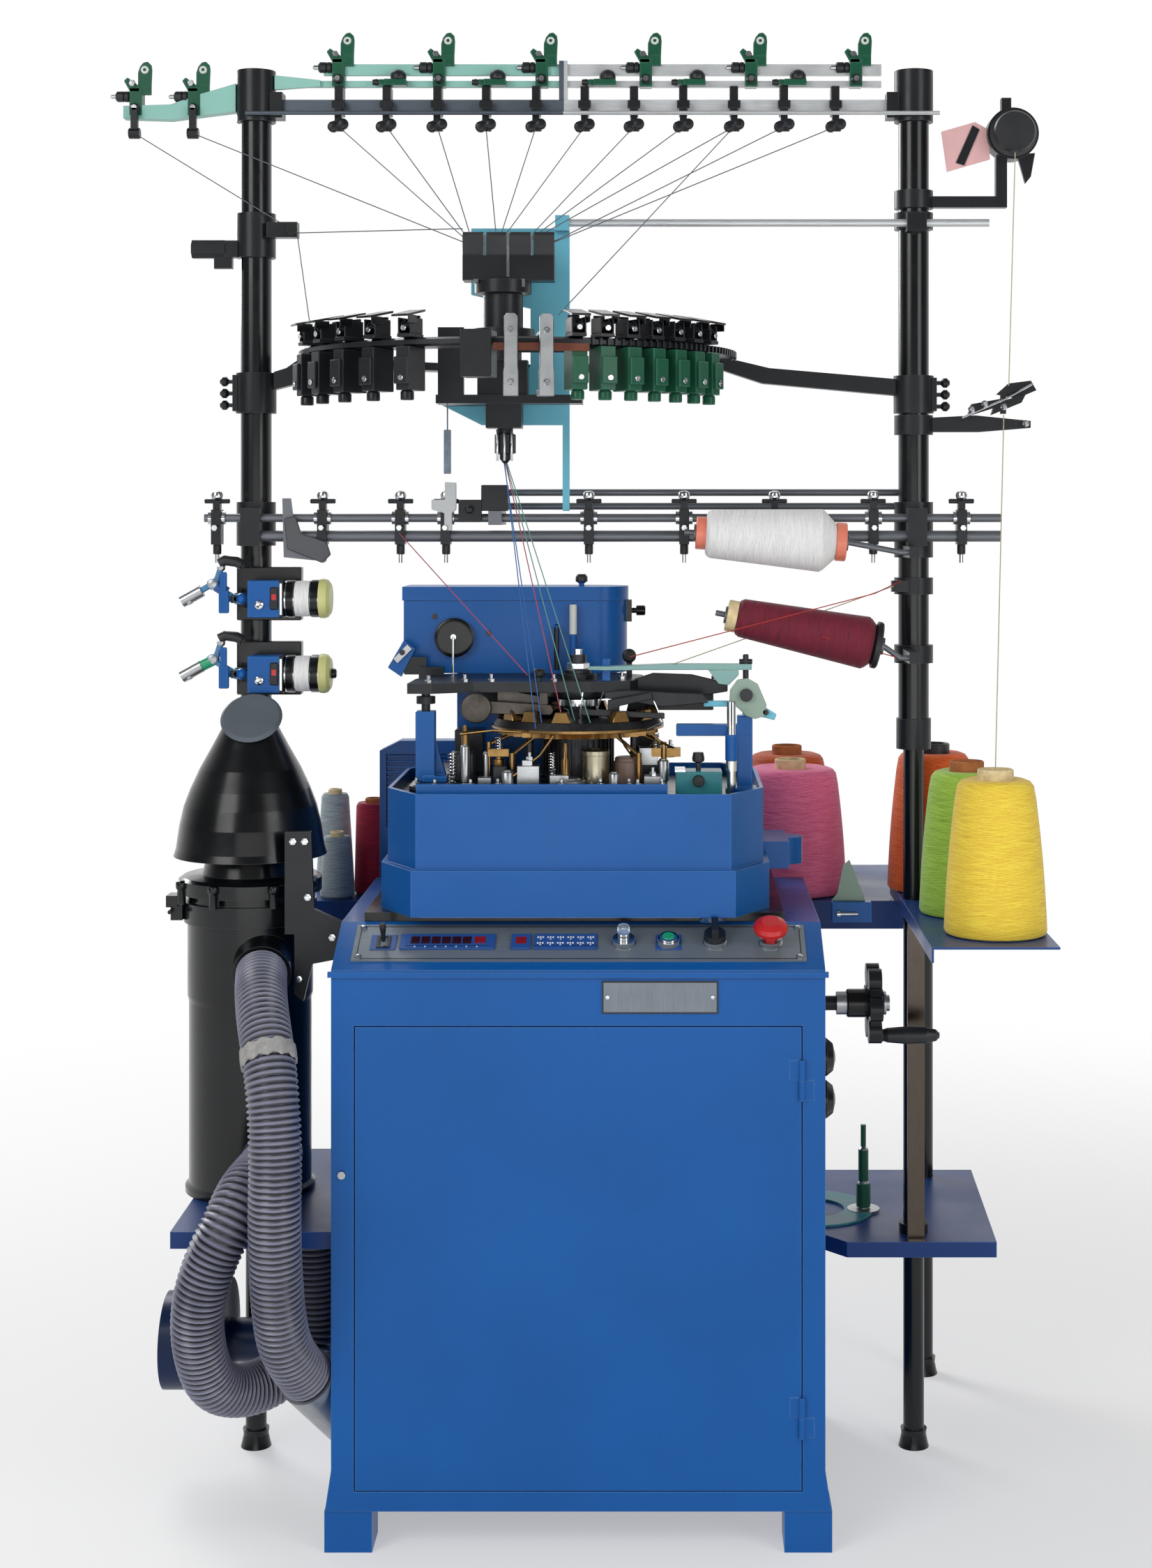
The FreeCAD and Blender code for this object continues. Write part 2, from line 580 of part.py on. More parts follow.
def make_gearbox_housing():
    box = box_outline(0, BOX_Z0, BOX_Z1 - BOX_Z0)
    box = box.cut(box_outline(-HOUSING_WALL, BOX_Z0 + HOUSING_WALL, BOX_Z1 - BOX_Z0))
    neck = block(AXIS_X - 181, AXIS_X - 21, NECK_FRONT_Y, PLATFORM_BACK_Y, PLATFORM_Z, BOX_Z0)
    ears = []
    for x in LID_EARS:
        root = block(x, x + EAR_W, BOX_Y1, LID_HINGE_Y, BOX_Z1 - 16, LID_HINGE_Z)
        ears.append(joined(root, rod((x, LID_HINGE_Y, LID_HINGE_Z), (x + EAR_W, LID_HINGE_Y, LID_HINGE_Z),
                                     EAR_R)))
    x, z = BOX_X0 + 74, BOX_Z0 + 52
    window = rod((x, BOX_Y0 - 5, z), (x, BOX_Y0, z), 28)
    window = joined(window, tube((x, BOX_Y0 - 8, z), (x, BOX_Y0 - 5, z), 28, 22))
    x = BOX_X0 + 222
    handle = bent_rod([(x, BOX_Y0 - 10, BOX_Z0 + 7), (x, BOX_Y0 - 10, BOX_Z0 + 67), (x, BOX_Y0, BOX_Z0 + 67)],
                      3)
    body = joined(box, neck, *ears)
    body = body.cut(rod((BOX_X0, LID_HINGE_Y, LID_HINGE_Z), (BOX_X1, LID_HINGE_Y, LID_HINGE_Z), 3 + PIN_FIT))
    return group(body, window, handle)


def bent_rod(points, radius):
    """Straight lengths of rod with a ball at each bend."""
    lengths = [rod(a, b, radius) for a, b in zip(points, points[1:])]
    balls = [Part.makeSphere(radius, V(*p)) for p in points[1:-1]]
    return joined(*lengths, *balls)


def make_gearbox_lid():
    """Cap of the gearbox on two hinge pins at its rear."""
    lid = box_outline(2, BOX_Z1 + RUN, LID_H)
    knob = turned([(0, 0), (4, 0), (4, 4), (8, 7), (8, 14), (5, 17), (0, 17)],
                  (AXIS_X, BOX_Y0 + 22, BOX_Z1 + RUN + LID_H))
    parts = [lid, knob]
    for x in LID_EARS:
        edge = x + EAR_W + RUN
        lug = rod((edge, LID_HINGE_Y, LID_HINGE_Z), (x + 24, LID_HINGE_Y, LID_HINGE_Z), EAR_R)
        arm = block(edge, x + 24, BOX_Y1 + 1, BOX_Y1 + 12, LID_HINGE_Z, BOX_Z1 + LID_H)
        pin = rod((x, LID_HINGE_Y, LID_HINGE_Z), (x + 24, LID_HINGE_Y, LID_HINGE_Z), 3)
        parts += [lug, arm, pin]
        relief = rod((x - RUN, LID_HINGE_Y, LID_HINGE_Z), (edge, LID_HINGE_Y, LID_HINGE_Z), EAR_R + 2 * RUN)
        parts[0] = parts[0].cut(relief)
    return joined(*parts)


def make_dial_arm():
    """Flat black casting that carries the dial, screwed under the gearbox and clamped on the left post."""
    back = NECK_FRONT_Y - AXIS_Y
    outline = [(-229, -90), (-196, -92), (-141, -60), (-61, -62), (19, -62), (73, -36), (95, 20), (89, 90),
               (49, back), (-141, back), (-206, 100), (-227, 0)]
    arm = slab([(AXIS_X + x, AXIS_Y + y, ARM_Z) for x, y in outline], (0, 0, ARM_T))
    boss = rod((AXIS_X, AXIS_Y, ARM_Z - 10), (AXIS_X, AXIS_Y, ARM_Z + ARM_T + 8), 26)
    arm = joined(arm, boss)
    arm = arm.cut(rod((AXIS_X, AXIS_Y, ARM_Z - 11), (AXIS_X, AXIS_Y, ARM_Z + 40), DIAL_SHAFT_R + PIN_FIT))
    stud = turned([(0, 0), (6, 0), (6, 10), (13, 10), (13, 20), (6, 20), (6, 25), (0, 25)],
                  (POST_X, POST_Y, POST_TOP))
    x, y = BOX_X0, BOX_Y0 - 30
    clip = slab([(x - 19, y, ARM_Z + 25), (x + 4, y, ARM_Z + 64), (x + 20, y, ARM_Z + 51),
                 (x, y, ARM_Z + 11)],
                (0, 8, 0))
    bridge = block(x + 4, x + 36, y, y + 8, ARM_Z + 14, ARM_Z + 39)
    root = block(x + 26, x + 61, y - 10, y + 8, ARM_Z, ARM_Z + 25)
    return joined(arm, stud, clip, bridge, root)


def make_head_posts():
    """Left post, right post with its ledge, and the chrome guide rod."""
    left = joined(block(POST_X - 13, POST_X + 13, POST_Y - 13, POST_Y + 13, PLATFORM_Z, POST_TOP),
                  slab([(POST_X + 13, POST_Y, PLATFORM_Z), (POST_X + 13, POST_Y, PLATFORM_Z + 55),
                        (POST_X + 30, POST_Y, PLATFORM_Z)], (0, 12, 0)),
                  block(POST_X - 3, POST_X + 30, POST_Y - 16, POST_Y + 20, PLATFORM_Z, PLATFORM_Z + 8))
    x, y = RIGHT_POST_X, RIGHT_POST_Y
    right_post = block(x - 10, x + 11, y - 11, y + 11, BED_Z, LEVER_Z - 22)
    ledge = block(x - 94, x + 11, y - 11, y + 11, LEVER_Z - 50, LEVER_Z - 34)
    foot = block(x - 26, x + 18, y - 24, y + 16, BED_Z, BED_Z + 12)
    right = joined(right_post, ledge, foot)
    rod_x, rod_y = x - 19, y - 39
    guide_rod = joined(rod((rod_x, rod_y, BED_Z), (rod_x, rod_y, LEVER_Z + 1), 5.5),
                       rod((rod_x, rod_y, BED_Z + 51), (rod_x, rod_y, BED_Z + 87), 8))
    pin = joined(rod((x + 2, y, LEVER_Z - 22), (x + 2, y, LEVER_Z + 62), 4),
                 facet_rod((x - 6, y, LEVER_Z + 52), (x + 10, y, LEVER_Z + 52), 3, 6))
    pad = block(x - 95, x - 32, y - 59, y - 9, BED_Z, BED_Z + 38)
    knob = turned([(0, 0), (3.5, 0), (3.5, 10), (8, 12), (7, 24), (0, 24)], (x - 64, y - 34, BED_Z + 38))
    return group(left, right, guide_rod, pin, joined(pad, knob))


def make_head_levers():
    """Feed lever over the dial, quadrant plate with its hub, and the disc wheel on its arm."""
    x, y = RIGHT_POST_X, RIGHT_POST_Y
    z = ARM_Z + 30
    feed = slab([(AXIS_X + 15, y - 11, z), (AXIS_X + 39, y - 21, z), (AXIS_X + 129, y - 11, z),
                 (x + 10, y - 11, z),
                 (x + 10, y + 9, z), (AXIS_X + 129, y + 17, z), (AXIS_X + 39, y + 1, z)], (0, 0, 5))
    feed = feed.cut(rod((x + 2, y, z - 1), (x + 2, y, z + 6), 4 + FIT))
    front = y - 17
    sector = [(-18, 0), (-16, 22), (0, 30), (18, 22), (30, -6), (28, -22), (4, -20)]
    quadrant = slab([(x + dx, front, LEVER_Z + dz) for dx, dz in sector], (0, 6, 0))
    hub = rod((x + 2, front - 6, LEVER_Z + 7), (x + 2, front, LEVER_Z + 7), 9)
    beak = [(18, -5), (44, -20), (40, -26), (18, -18)]
    tip = slab([(x + dx, front, LEVER_Z + dz) for dx, dz in beak], (0, 6, 0))
    stalk = block(x - 3, x + 7, y - 11, y - 5, LEVER_Z - 22, LEVER_Z + 10)
    wheel_x, wheel_y, wheel_z = AXIS_X - 137, AXIS_Y - 72, ARM_Z - 21
    wheel = rod((wheel_x, wheel_y, wheel_z), (wheel_x, wheel_y + 8, wheel_z), 21)
    wheel_hub = rod((wheel_x, wheel_y - 4, wheel_z), (wheel_x, wheel_y + 10, wheel_z), 6)
    bar = [(6, -8), (102, -10), (102, 4), (6, 10)]
    wheel_arm = slab([(wheel_x + dx, wheel_y + 8, wheel_z + dz) for dx, dz in bar], (0, 6, 0))
    hanger = block(wheel_x + 86, wheel_x + 98, wheel_y + 8, wheel_y + 14, wheel_z + 4, ARM_Z)
    return group(feed, joined(quadrant, hub, tip, stalk), joined(wheel, wheel_hub, wheel_arm, hanger))


def make_cam_ring():
    """Sinker cam ring round the needles, on three pillars that stand on the platform."""
    z = CYLINDER_TOP - 2
    ring = turned([(CYLINDER_R + 4, z), (116, z), (118, z + 4), (112, z + 14), (78, z + 18), (74, z + 12),
                   (CYLINDER_R + 4, z + 8)], (AXIS_X, AXIS_Y, 0))
    pillars = []
    for turn in (20, 140, 270):
        x = AXIS_X + 84 * math.cos(math.radians(turn))
        y = AXIS_Y - 84 * math.sin(math.radians(turn))
        pillars.append(facet_rod((x, y, PLATFORM_Z), (x, y, z), 6))
    return joined(ring, *pillars)


def make_brass_fingers():
    """Brass pattern ring with its saw edge, and the bent feed rods below it."""
    high = CYLINDER_TOP - 2
    outline = []
    for i in range(SAW_TEETH):
        for part, radius in ((0, SAW_R - 9), (0.5, SAW_R)):
            turn = 2 * math.pi * (i + part) / SAW_TEETH
            outline.append((AXIS_X + radius * math.cos(turn), AXIS_Y + radius * math.sin(turn), high - 7))
    ring = slab(outline, (0, 0, 7)).cut(rod((AXIS_X, AXIS_Y, high - 8), (AXIS_X, AXIS_Y, high + 1), 92))
    fingers = []
    for side in (-1, 1):
        for foot, bend_z, tip, radius in (((86, -92), 1018, (55, -81), 2.5),
                                          ((120, -60), 1030, (88, -44), 3)):
            low = (AXIS_X + side * foot[0], AXIS_Y + foot[1], PLATFORM_Z)
            bend = (low[0], low[1], bend_z)
            fingers.append(facet_rod(low, (low[0], low[1], bend_z + 3), 4))
            fingers.append(facet_rod(bend, (AXIS_X + side * tip[0], AXIS_Y + tip[1], high - 5), radius))
    return joined(ring, *fingers)


def make_head_blocks():
    """Selector blocks and can-shaped solenoids on the platform, and two cam boxes under the dial's arm."""
    pieces = []
    for dx, dy, radius, height in ((27, -90, 18.5, 46), (71, -72, 19.5, 34)):
        pieces.append(turned([(0, 0), (radius, 0), (radius, height - 6), (radius - 3, height - 4),
                              (radius - 3, height), (0, height)], (AXIS_X + dx, AXIS_Y + dy, PLATFORM_Z)))
    for dx, dy, w, d, h in ((-63, -105, 30, 26, 26), (-21, -110, 26, 24, 20), (-111, -90, 34, 30, 32),
                            (-156, -50, 30, 36, 40), (99, -35, 26, 40, 44), (-156, 60, 40, 50, 60), (95, 70,
                                                                                                     24, 60, 60)):
        x, y = AXIS_X + dx, AXIS_Y + dy
        pieces.append(block(x - w / 2, x + w / 2, y - d / 2, y + d / 2, PLATFORM_Z, PLATFORM_Z + h))
    cam_box = joined(block(AXIS_X + 70, AXIS_X + 190, AXIS_Y + 30, AXIS_Y + 90, ARM_Z - CAM_BOX_H, ARM_Z),
                     block(AXIS_X + 98, AXIS_X + 205, AXIS_Y - 2, AXIS_Y + 80, ARM_Z, ARM_Z + 8))
    rear_box = block(AXIS_X - 140, AXIS_X - 62, AXIS_Y + 55, AXIS_Y + 105, ARM_Z - CAM_BOX_H, ARM_Z)
    return group(*pieces, cam_box, rear_box)


# ---- needle cylinder, dial and drive -----------------------------------------------------------------------
def make_needle_cylinder():
    """Cylinder with its needles on a hollow shaft that ends in the bevel gear."""
    gear_z = WHEEL_Z + GEAR_CONE
    body = turned([(SHAFT_BORE_R, gear_z - 4), (SHAFT_R, gear_z - 4), (SHAFT_R, BED_Z - 28),
                   (CYLINDER_R, BED_Z - 18),
                   (CYLINDER_R, CYLINDER_TOP), (CYLINDER_BORE_R, CYLINDER_TOP), (CYLINDER_BORE_R, BED_Z - 10),
                   (SHAFT_BORE_R, BED_Z - 24)], (AXIS_X, AXIS_Y, 0))
    butts = []
    for i in range(NEEDLES):
        turn = 2 * math.pi * i / NEEDLES
        butt = block(CYLINDER_R - 3, CYLINDER_R + 2.5, -1.2, 1.2, PLATFORM_Z + 6, CYLINDER_TOP + 3)
        butts.append(spun(moved(butt, AXIS_X, AXIS_Y, 0), math.degrees(turn), (AXIS_X, AXIS_Y, 0)))
    return joined(body, *butts, bevel_gear((AXIS_X, AXIS_Y, WHEEL_Z), (0, 0, 1), SHAFT_R - 1, 0))


def bevel_gear(apex, axis, bore, phase):
    """Straight bevel gear at 45 degrees, its teeth pointing at the apex and its back away from it."""
    back = GEAR_CONE
    front = GEAR_CONE - GEAR_FACE
    depth = TOOTH * 0.6
    blank = turned([(bore, front + depth), (front - depth, front + depth), (back - depth, back + depth),
                    (back - depth, back + 14), (bore, back + 14)], (0, 0, 0))
    teeth = []
    for i in range(GEAR_TEETH):
        turn = 2 * math.pi * i / GEAR_TEETH + phase
        teeth.append(spun(bevel_tooth(front, back), math.degrees(turn), (0, 0, 0)))
    gear = joined(blank, *teeth)
    gear.Placement = FreeCAD.Placement(V(*apex), FreeCAD.Rotation(V(0, 0, 1), V(*axis)))
    return gear


def bevel_tooth(front, back):
    sections = []
    for pitch in (front, back):
        scale = pitch / back
        root = pitch - TOOTH * 0.75 * scale
        tip = pitch + TOOTH * 0.32 * scale
        wide = math.pi * pitch / GEAR_TEETH * 0.66
        thin = math.pi * pitch / GEAR_TEETH * 0.24
        lift = 2 * pitch
        points = [V(root, -wide, lift - root), V(tip, -thin, lift - tip), V(tip, thin, lift - tip),
                  V(root, wide, lift - root)]
        sections.append(Part.makePolygon(points + points[:1]))
    return Part.makeLoft(sections, True, True)


def make_dial():
    """Dial over the cylinder, hung by its shaft from the arm's boss."""
    low = CYLINDER_TOP + 4
    profile = [(0, low), (DIAL_R, low), (DIAL_R, low + 5), (34, low + 9), (26, low + 22), (24, low + 36),
               (DIAL_SHAFT_R, ARM_Z - 10 - RUN), (DIAL_SHAFT_R, ARM_Z + ARM_T + 8 + RUN), (19,
                                                                                           ARM_Z + ARM_T + 8 + RUN),
               (19, ARM_Z + ARM_T + 13), (12, ARM_Z + ARM_T + 15), (12, ARM_Z + ARM_T + 34),
               (0, ARM_Z + ARM_T + 34)]
    return turned(profile, (AXIS_X, AXIS_Y, 0))


def make_handwheel():
    """Lobed wheel, its shaft, the belt pulley and the bevel pinion inside the cabinet."""
    z = WHEEL_Z
    lobes = []
    for i in range(6):
        turn = math.radians(60 * i)
        lobes.append(rod((WHEEL_X - 9, AXIS_Y + 40 * math.cos(turn), z + 40 * math.sin(turn)),
                         (WHEEL_X + 9, AXIS_Y + 40 * math.cos(turn), z + 40 * math.sin(turn)), WHEEL_R - 40))
    web = rod((WHEEL_X - 7, AXIS_Y, z), (WHEEL_X + 7, AXIS_Y, z), 42)
    hub = rod((WHEEL_X - 24, AXIS_Y, z), (WHEEL_X + 13, AXIS_Y, z), 19)
    collar = rod((SIDE_X + RUN, AXIS_Y, z), (SIDE_X + 16, AXIS_Y, z), 15)
    shaft = rod((AXIS_X + GEAR_CONE - GEAR_FACE + 6, AXIS_Y, z), (WHEEL_X + 10, AXIS_Y, z), HAND_SHAFT_R)
    pulley = turned([(HAND_SHAFT_R - 1, 0), (PULLEY_R + 4, 0), (PULLEY_R + 4, 3), (PULLEY_R, 3),
                     (PULLEY_R, PULLEY_W + 3), (PULLEY_R + 4, PULLEY_W + 3), (PULLEY_R + 4, PULLEY_W + 6),
                     (HAND_SHAFT_R - 1, PULLEY_W + 6)], (PULLEY_X, AXIS_Y, z), (1, 0, 0))
    pinion = bevel_gear((AXIS_X, AXIS_Y, z), (1, 0, 0), HAND_SHAFT_R - 1, math.pi / GEAR_TEETH)
    boss = rod((WHEEL_X, AXIS_Y, z - CRANK_OFFSET), (WHEEL_X + 13, AXIS_Y, z - CRANK_OFFSET), 9)
    pivot = rod((WHEEL_X + 10, AXIS_Y, z - CRANK_OFFSET), (WHEEL_X + 92, AXIS_Y, z - CRANK_OFFSET), 4)
    return joined(web, *lobes, hub, collar, shaft, pulley, pinion, boss, pivot)


def make_crank_handle():
    z = WHEEL_Z - CRANK_OFFSET
    profile = [(4 + PIN_FIT, 0), (8, 0), (10, 6), (12, 30), (11, 60), (8, 74), (4 + PIN_FIT, 78)]
    return turned(profile, (WHEEL_X + 13 + RUN, AXIS_Y, z), (1, 0, 0))


def make_drive_motor():
    """Motor on the cabinet's floor, with its feet and the shaft that carries the small pulley."""
    floor = FOOT_HEIGHT + SHEET
    body = rod((PULLEY_X - 190, AXIS_Y, MOTOR_Z), (PULLEY_X - 20, AXIS_Y, MOTOR_Z), MOTOR_R)
    base = block(PULLEY_X - 170, PULLEY_X - 40, AXIS_Y - 60, AXIS_Y + 60, floor, MOTOR_Z - 60)
    saddle = block(PULLEY_X - 170, PULLEY_X - 40, AXIS_Y - 40, AXIS_Y + 40, floor, MOTOR_Z)
    shaft = rod((PULLEY_X - 20, AXIS_Y, MOTOR_Z), (PULLEY_X + 32, AXIS_Y, MOTOR_Z), 9)
    return joined(body, base, saddle, shaft)


def make_motor_pulley():
    profile = [(9 + PIN_FIT, 0), (MOTOR_PULLEY_R + 4, 0), (MOTOR_PULLEY_R + 4, 3), (MOTOR_PULLEY_R, 3),
               (MOTOR_PULLEY_R, PULLEY_W + 3), (MOTOR_PULLEY_R + 4, PULLEY_W + 3),
               (MOTOR_PULLEY_R + 4, PULLEY_W + 6), (9 + PIN_FIT, PULLEY_W + 6)]
    return turned(profile, (PULLEY_X, AXIS_Y, MOTOR_Z), (1, 0, 0))


def belt_loop(grow, x, width):
    """Outline round both pulleys: two discs and the quadrilateral between their outer tangents."""
    big, small = PULLEY_R + grow, MOTOR_PULLEY_R + grow
    span = WHEEL_Z - MOTOR_Z
    lean = math.asin((big - small) / span)
    corners = []
    for side, radius, z in ((1, big, WHEEL_Z), (1, small, MOTOR_Z), (-1, small, MOTOR_Z), (-1, big, WHEEL_Z)):
        corners.append((x, AXIS_Y + side * radius * math.cos(lean), z + radius * math.sin(lean) * -1))
    return joined(slab(corners, (width, 0, 0)), rod((x, AXIS_Y, WHEEL_Z), (x + width, AXIS_Y, WHEEL_Z), big),
                  rod((x, AXIS_Y, MOTOR_Z), (x + width, AXIS_Y, MOTOR_Z), small))


def make_drive_belt():
    x = PULLEY_X + 3 + 1
    width = PULLEY_W - 2
    return belt_loop(RUN + BELT_T, x, width).cut(belt_loop(RUN, x - 1, width + 2))


# ---- creel: poles, clamps, rails ---------------------------------------------------------------------------
def rubber_foot(x, y):
    return turned([(0, 0), (22, 0), (20, 8), (18, 18), (19, RUBBER_HEIGHT), (0, RUBBER_HEIGHT)], (x, y, 0))


def make_creel_poles():
    """Two black tubes, the thin legs under them, the rear leg and the rubber feet."""
    bore = POLE_R - POLE_WALL
    left = tube((POLE_LEFT, POLE_Y, LEFT_TRAY_Z), (POLE_LEFT, POLE_Y, POLE_TOP), POLE_R, bore)
    right = tube((POLE_RIGHT, POLE_Y, REDUCER_Z), (POLE_RIGHT, POLE_Y, POLE_TOP), POLE_R, bore)
    left_leg = rod((POLE_LEFT, POLE_Y, RUBBER_HEIGHT), (POLE_LEFT, POLE_Y, LEFT_TRAY_Z - TRAY_SHEET), LEG_R)
    right_leg = rod((POLE_RIGHT, POLE_Y, RUBBER_HEIGHT), (POLE_RIGHT, POLE_Y, REDUCER_Z), LEG_R)
    rear_leg = rod((*REAR_LEG, RUBBER_HEIGHT), (*REAR_LEG, SHELF_Z - TRAY_SHEET), LEG_R)
    feet = [rubber_foot(POLE_LEFT, POLE_Y), rubber_foot(POLE_RIGHT, POLE_Y), rubber_foot(*REAR_LEG)]
    front = POLE_Y - 42
    bar_x = UPPER_TRAY_X + 5
    flat_bar = joined(block(bar_x, bar_x + 24, front, front + 3, RIGHT_TRAY_Z, UPPER_TRAY_Z - TRAY_SHEET),
                      block(bar_x, bar_x + 24, front - 8, front, RIGHT_TRAY_Z, RIGHT_TRAY_Z + 4))
    return group(left, right, left_leg, right_leg, rear_leg, flat_bar, *feet)


def pole_hole(x, z0, z1, radius=POLE_R):
    return rod((x, POLE_Y, z0), (x, POLE_Y, z1), radius + FIT)


def pole_collar(x, z0, z1, lugs=(), wall=COLLAR_WALL, radius=POLE_R):
    """A clamp round a pole, with any lugs that belong to it."""
    ring = rod((x, POLE_Y, z0), (x, POLE_Y, z1), radius + wall)
    ring = joined(ring, *lugs) if lugs else ring
    return ring.cut(pole_hole(x, z0 - 200, z1 + 200, radius))


def pole_cap(x, side):
    """Cap of a pole with its square socket for the crossbar."""
    base = POLE_TOP - CAP_HEIGHT + 10
    shell = rod((x, POLE_Y, base), (x, POLE_Y, POLE_TOP + 10), CAP_R)
    reach = side * (CAP_R + SOCKET_REACH)
    x0, x1 = sorted((x, x + reach))
    socket = block(x0, x1, POLE_Y - 16, POLE_Y + 16, BAR_Z - 10, BAR_Z + BAR_SIDE + 10)
    cap = joined(shell, socket).cut(rod((x, POLE_Y, base - 1), (x, POLE_Y, POLE_TOP), POLE_R + FIT))
    return cap.cut(crossbar())


def ball_knobs(x, side, heights):
    """Three ball-headed screws that stand out of an arm clamp."""
    knobs = []
    for z in heights:
        shank = facet_rod((x, POLE_Y, z), (x + side * 9, POLE_Y, z), 3, 6)
        ball = turned([(0, 0), (3, 0), (7, 4), (7, 9), (3, 13), (0, 13)], (x + side * 7, POLE_Y, z),
                      (side, 0, 0))
        knobs.append(joined(shank, ball))
    return knobs


def make_pole_clamps():
    """Caps, collars and clamps on the poles, with the canister's bracket."""
    caps = [pole_cap(POLE_LEFT, 1), pole_cap(POLE_RIGHT, -1)]
    reducer = rod((POLE_RIGHT, POLE_Y, REDUCER_Z - 30), (POLE_RIGHT, POLE_Y, REDUCER_Z + 14), POLE_R + 3)
    reducer = reducer.cut(rod((POLE_RIGHT, POLE_Y, REDUCER_Z), (POLE_RIGHT, POLE_Y, REDUCER_Z + 15),
                              POLE_R + FIT))
    reducer = reducer.cut(rod((POLE_RIGHT, POLE_Y, REDUCER_Z - 31), (POLE_RIGHT, POLE_Y, REDUCER_Z + 1),
                              LEG_R + FIT))
    tip = joined(block(POLE_LEFT + 20, POLE_LEFT + 64, 18, 40, 1742, 1764),
                 facet_rod((POLE_LEFT + 58, 10, 1753), (POLE_LEFT + 58, 18, 1753), 8))
    finger = joined(block(POLE_LEFT - 44, POLE_LEFT - 18, 40, 60, 1716, 1740),
                    facet_rod((POLE_LEFT - 92, POLE_Y, 1728), (POLE_LEFT - 44, POLE_Y, 1728), 14),
                    block(POLE_LEFT - 60, POLE_LEFT - 34, 44, 56, 1700, 1716))
    left_top = pole_collar(POLE_LEFT, 1715, 1779, (tip, finger))
    arm_lugs = [block(POLE_LEFT - CAP_R - 4, POLE_LEFT - 10, POLE_Y - 14, POLE_Y + 14, RING_Z - 73,
                      RING_Z - 21)]
    left_arm = pole_collar(POLE_LEFT, RING_Z - 76, RING_Z - 18, arm_lugs, 7)
    rods = rod_holes()
    left_low = pole_collar(POLE_LEFT, ROD_E_Z - 14, ROD_C_Z + 23, [rod_lug(POLE_LEFT)]).cut(rods)
    rod_bracket = block(POLE_RIGHT - 14, POLE_RIGHT + 14, ARM_ROD_Y - 11, POLE_Y, ARM_ROD_Z - 12,
                        ARM_ROD_Z + 14)
    arm_hole = rod((POLE_RIGHT - 40, ARM_ROD_Y, ARM_ROD_Z), (POLE_RIGHT + 40, ARM_ROD_Y, ARM_ROD_Z),
                   ARM_ROD_R + FIT)
    right_top = pole_collar(POLE_RIGHT, ARM_ROD_Z - 6, ARM_ROD_Z + 18, [rod_bracket]).cut(arm_hole)
    right_lug = block(POLE_RIGHT + 10, POLE_RIGHT + CAP_R + 4, POLE_Y - 14, POLE_Y + 14, RING_Z - 73,
                      RING_Z - 25)
    right_arm = pole_collar(POLE_RIGHT, RING_Z - 76, RING_Z - 22, [right_lug], 7)
    back_lug = block(POLE_RIGHT - 14, POLE_RIGHT + 14, POLE_Y, BACK_ROD_Y + 10, ROD_C_Z + 5, ROD_C_Z + 50)
    right_low = pole_collar(POLE_RIGHT, WHITE_LUG_Z - 9, ROD_C_Z + 23,
                            [rod_lug(POLE_RIGHT), back_lug, spindle_lug(WHITE_LUG_Z)]).cut(rods)
    small = pole_collar(POLE_RIGHT, 1230, 1254, [block(POLE_RIGHT - 34, POLE_RIGHT, 24, 40, 1234, 1250)])
    lower = pole_collar(POLE_RIGHT, MAROON_LUG_Z - 13, MAROON_LUG_Z + 13, [spindle_lug(MAROON_LUG_Z)])
    rings = [pole_collar(POLE_RIGHT, z - 14, z, radius=LEG_R) for z in (UPPER_TRAY_Z - TRAY_SHEET,
                                                                        RIGHT_TRAY_Z + 14)]
    rings[0] = rings[0].cut(block(POLE_RIGHT - 40, UPPER_TRAY_X + TRAY_SHEET, 0, 100, 700, 800))
    knobs = ball_knobs(POLE_LEFT - CAP_R - 4, -1, (RING_Z - 64, RING_Z - 47, RING_Z - 30))
    knobs += ball_knobs(POLE_RIGHT + CAP_R + 4, 1, (RING_Z - 66, RING_Z - 49, RING_Z - 32))
    return group(*caps, reducer, left_top, joined(left_arm, *knobs[:3]), left_low, right_top,
                 joined(right_arm, *knobs[3:]), right_low, small, lower, *rings, canister_bracket())


def rod_lug(x):
    return block(x - 14, x + 14, ROD_Y - 14, POLE_Y, ROD_E_Z - 14, ROD_C_Z + 14)


def spindle_lug(z):
    """Short arm in front of the right pole that holds a cone's spindle."""
    return block(POLE_RIGHT - 18, POLE_RIGHT - 4, SPINDLE_Y - 8, POLE_Y, z - 8, z + 8)


def rod_holes():
    holes = [rod((-700, ROD_Y, ROD_C_Z), (700, ROD_Y, ROD_C_Z), ROD_C_R + FIT),
             rod((-700, ROD_Y, ROD_E_Z), (700, ROD_Y, ROD_E_Z), ROD_E_R + FIT)]
    for z in BACK_RODS_Z:
        holes.append(rod((-700, BACK_ROD_Y, z), (700, BACK_ROD_Y, z), BACK_ROD_R + FIT))
    return group(*holes)


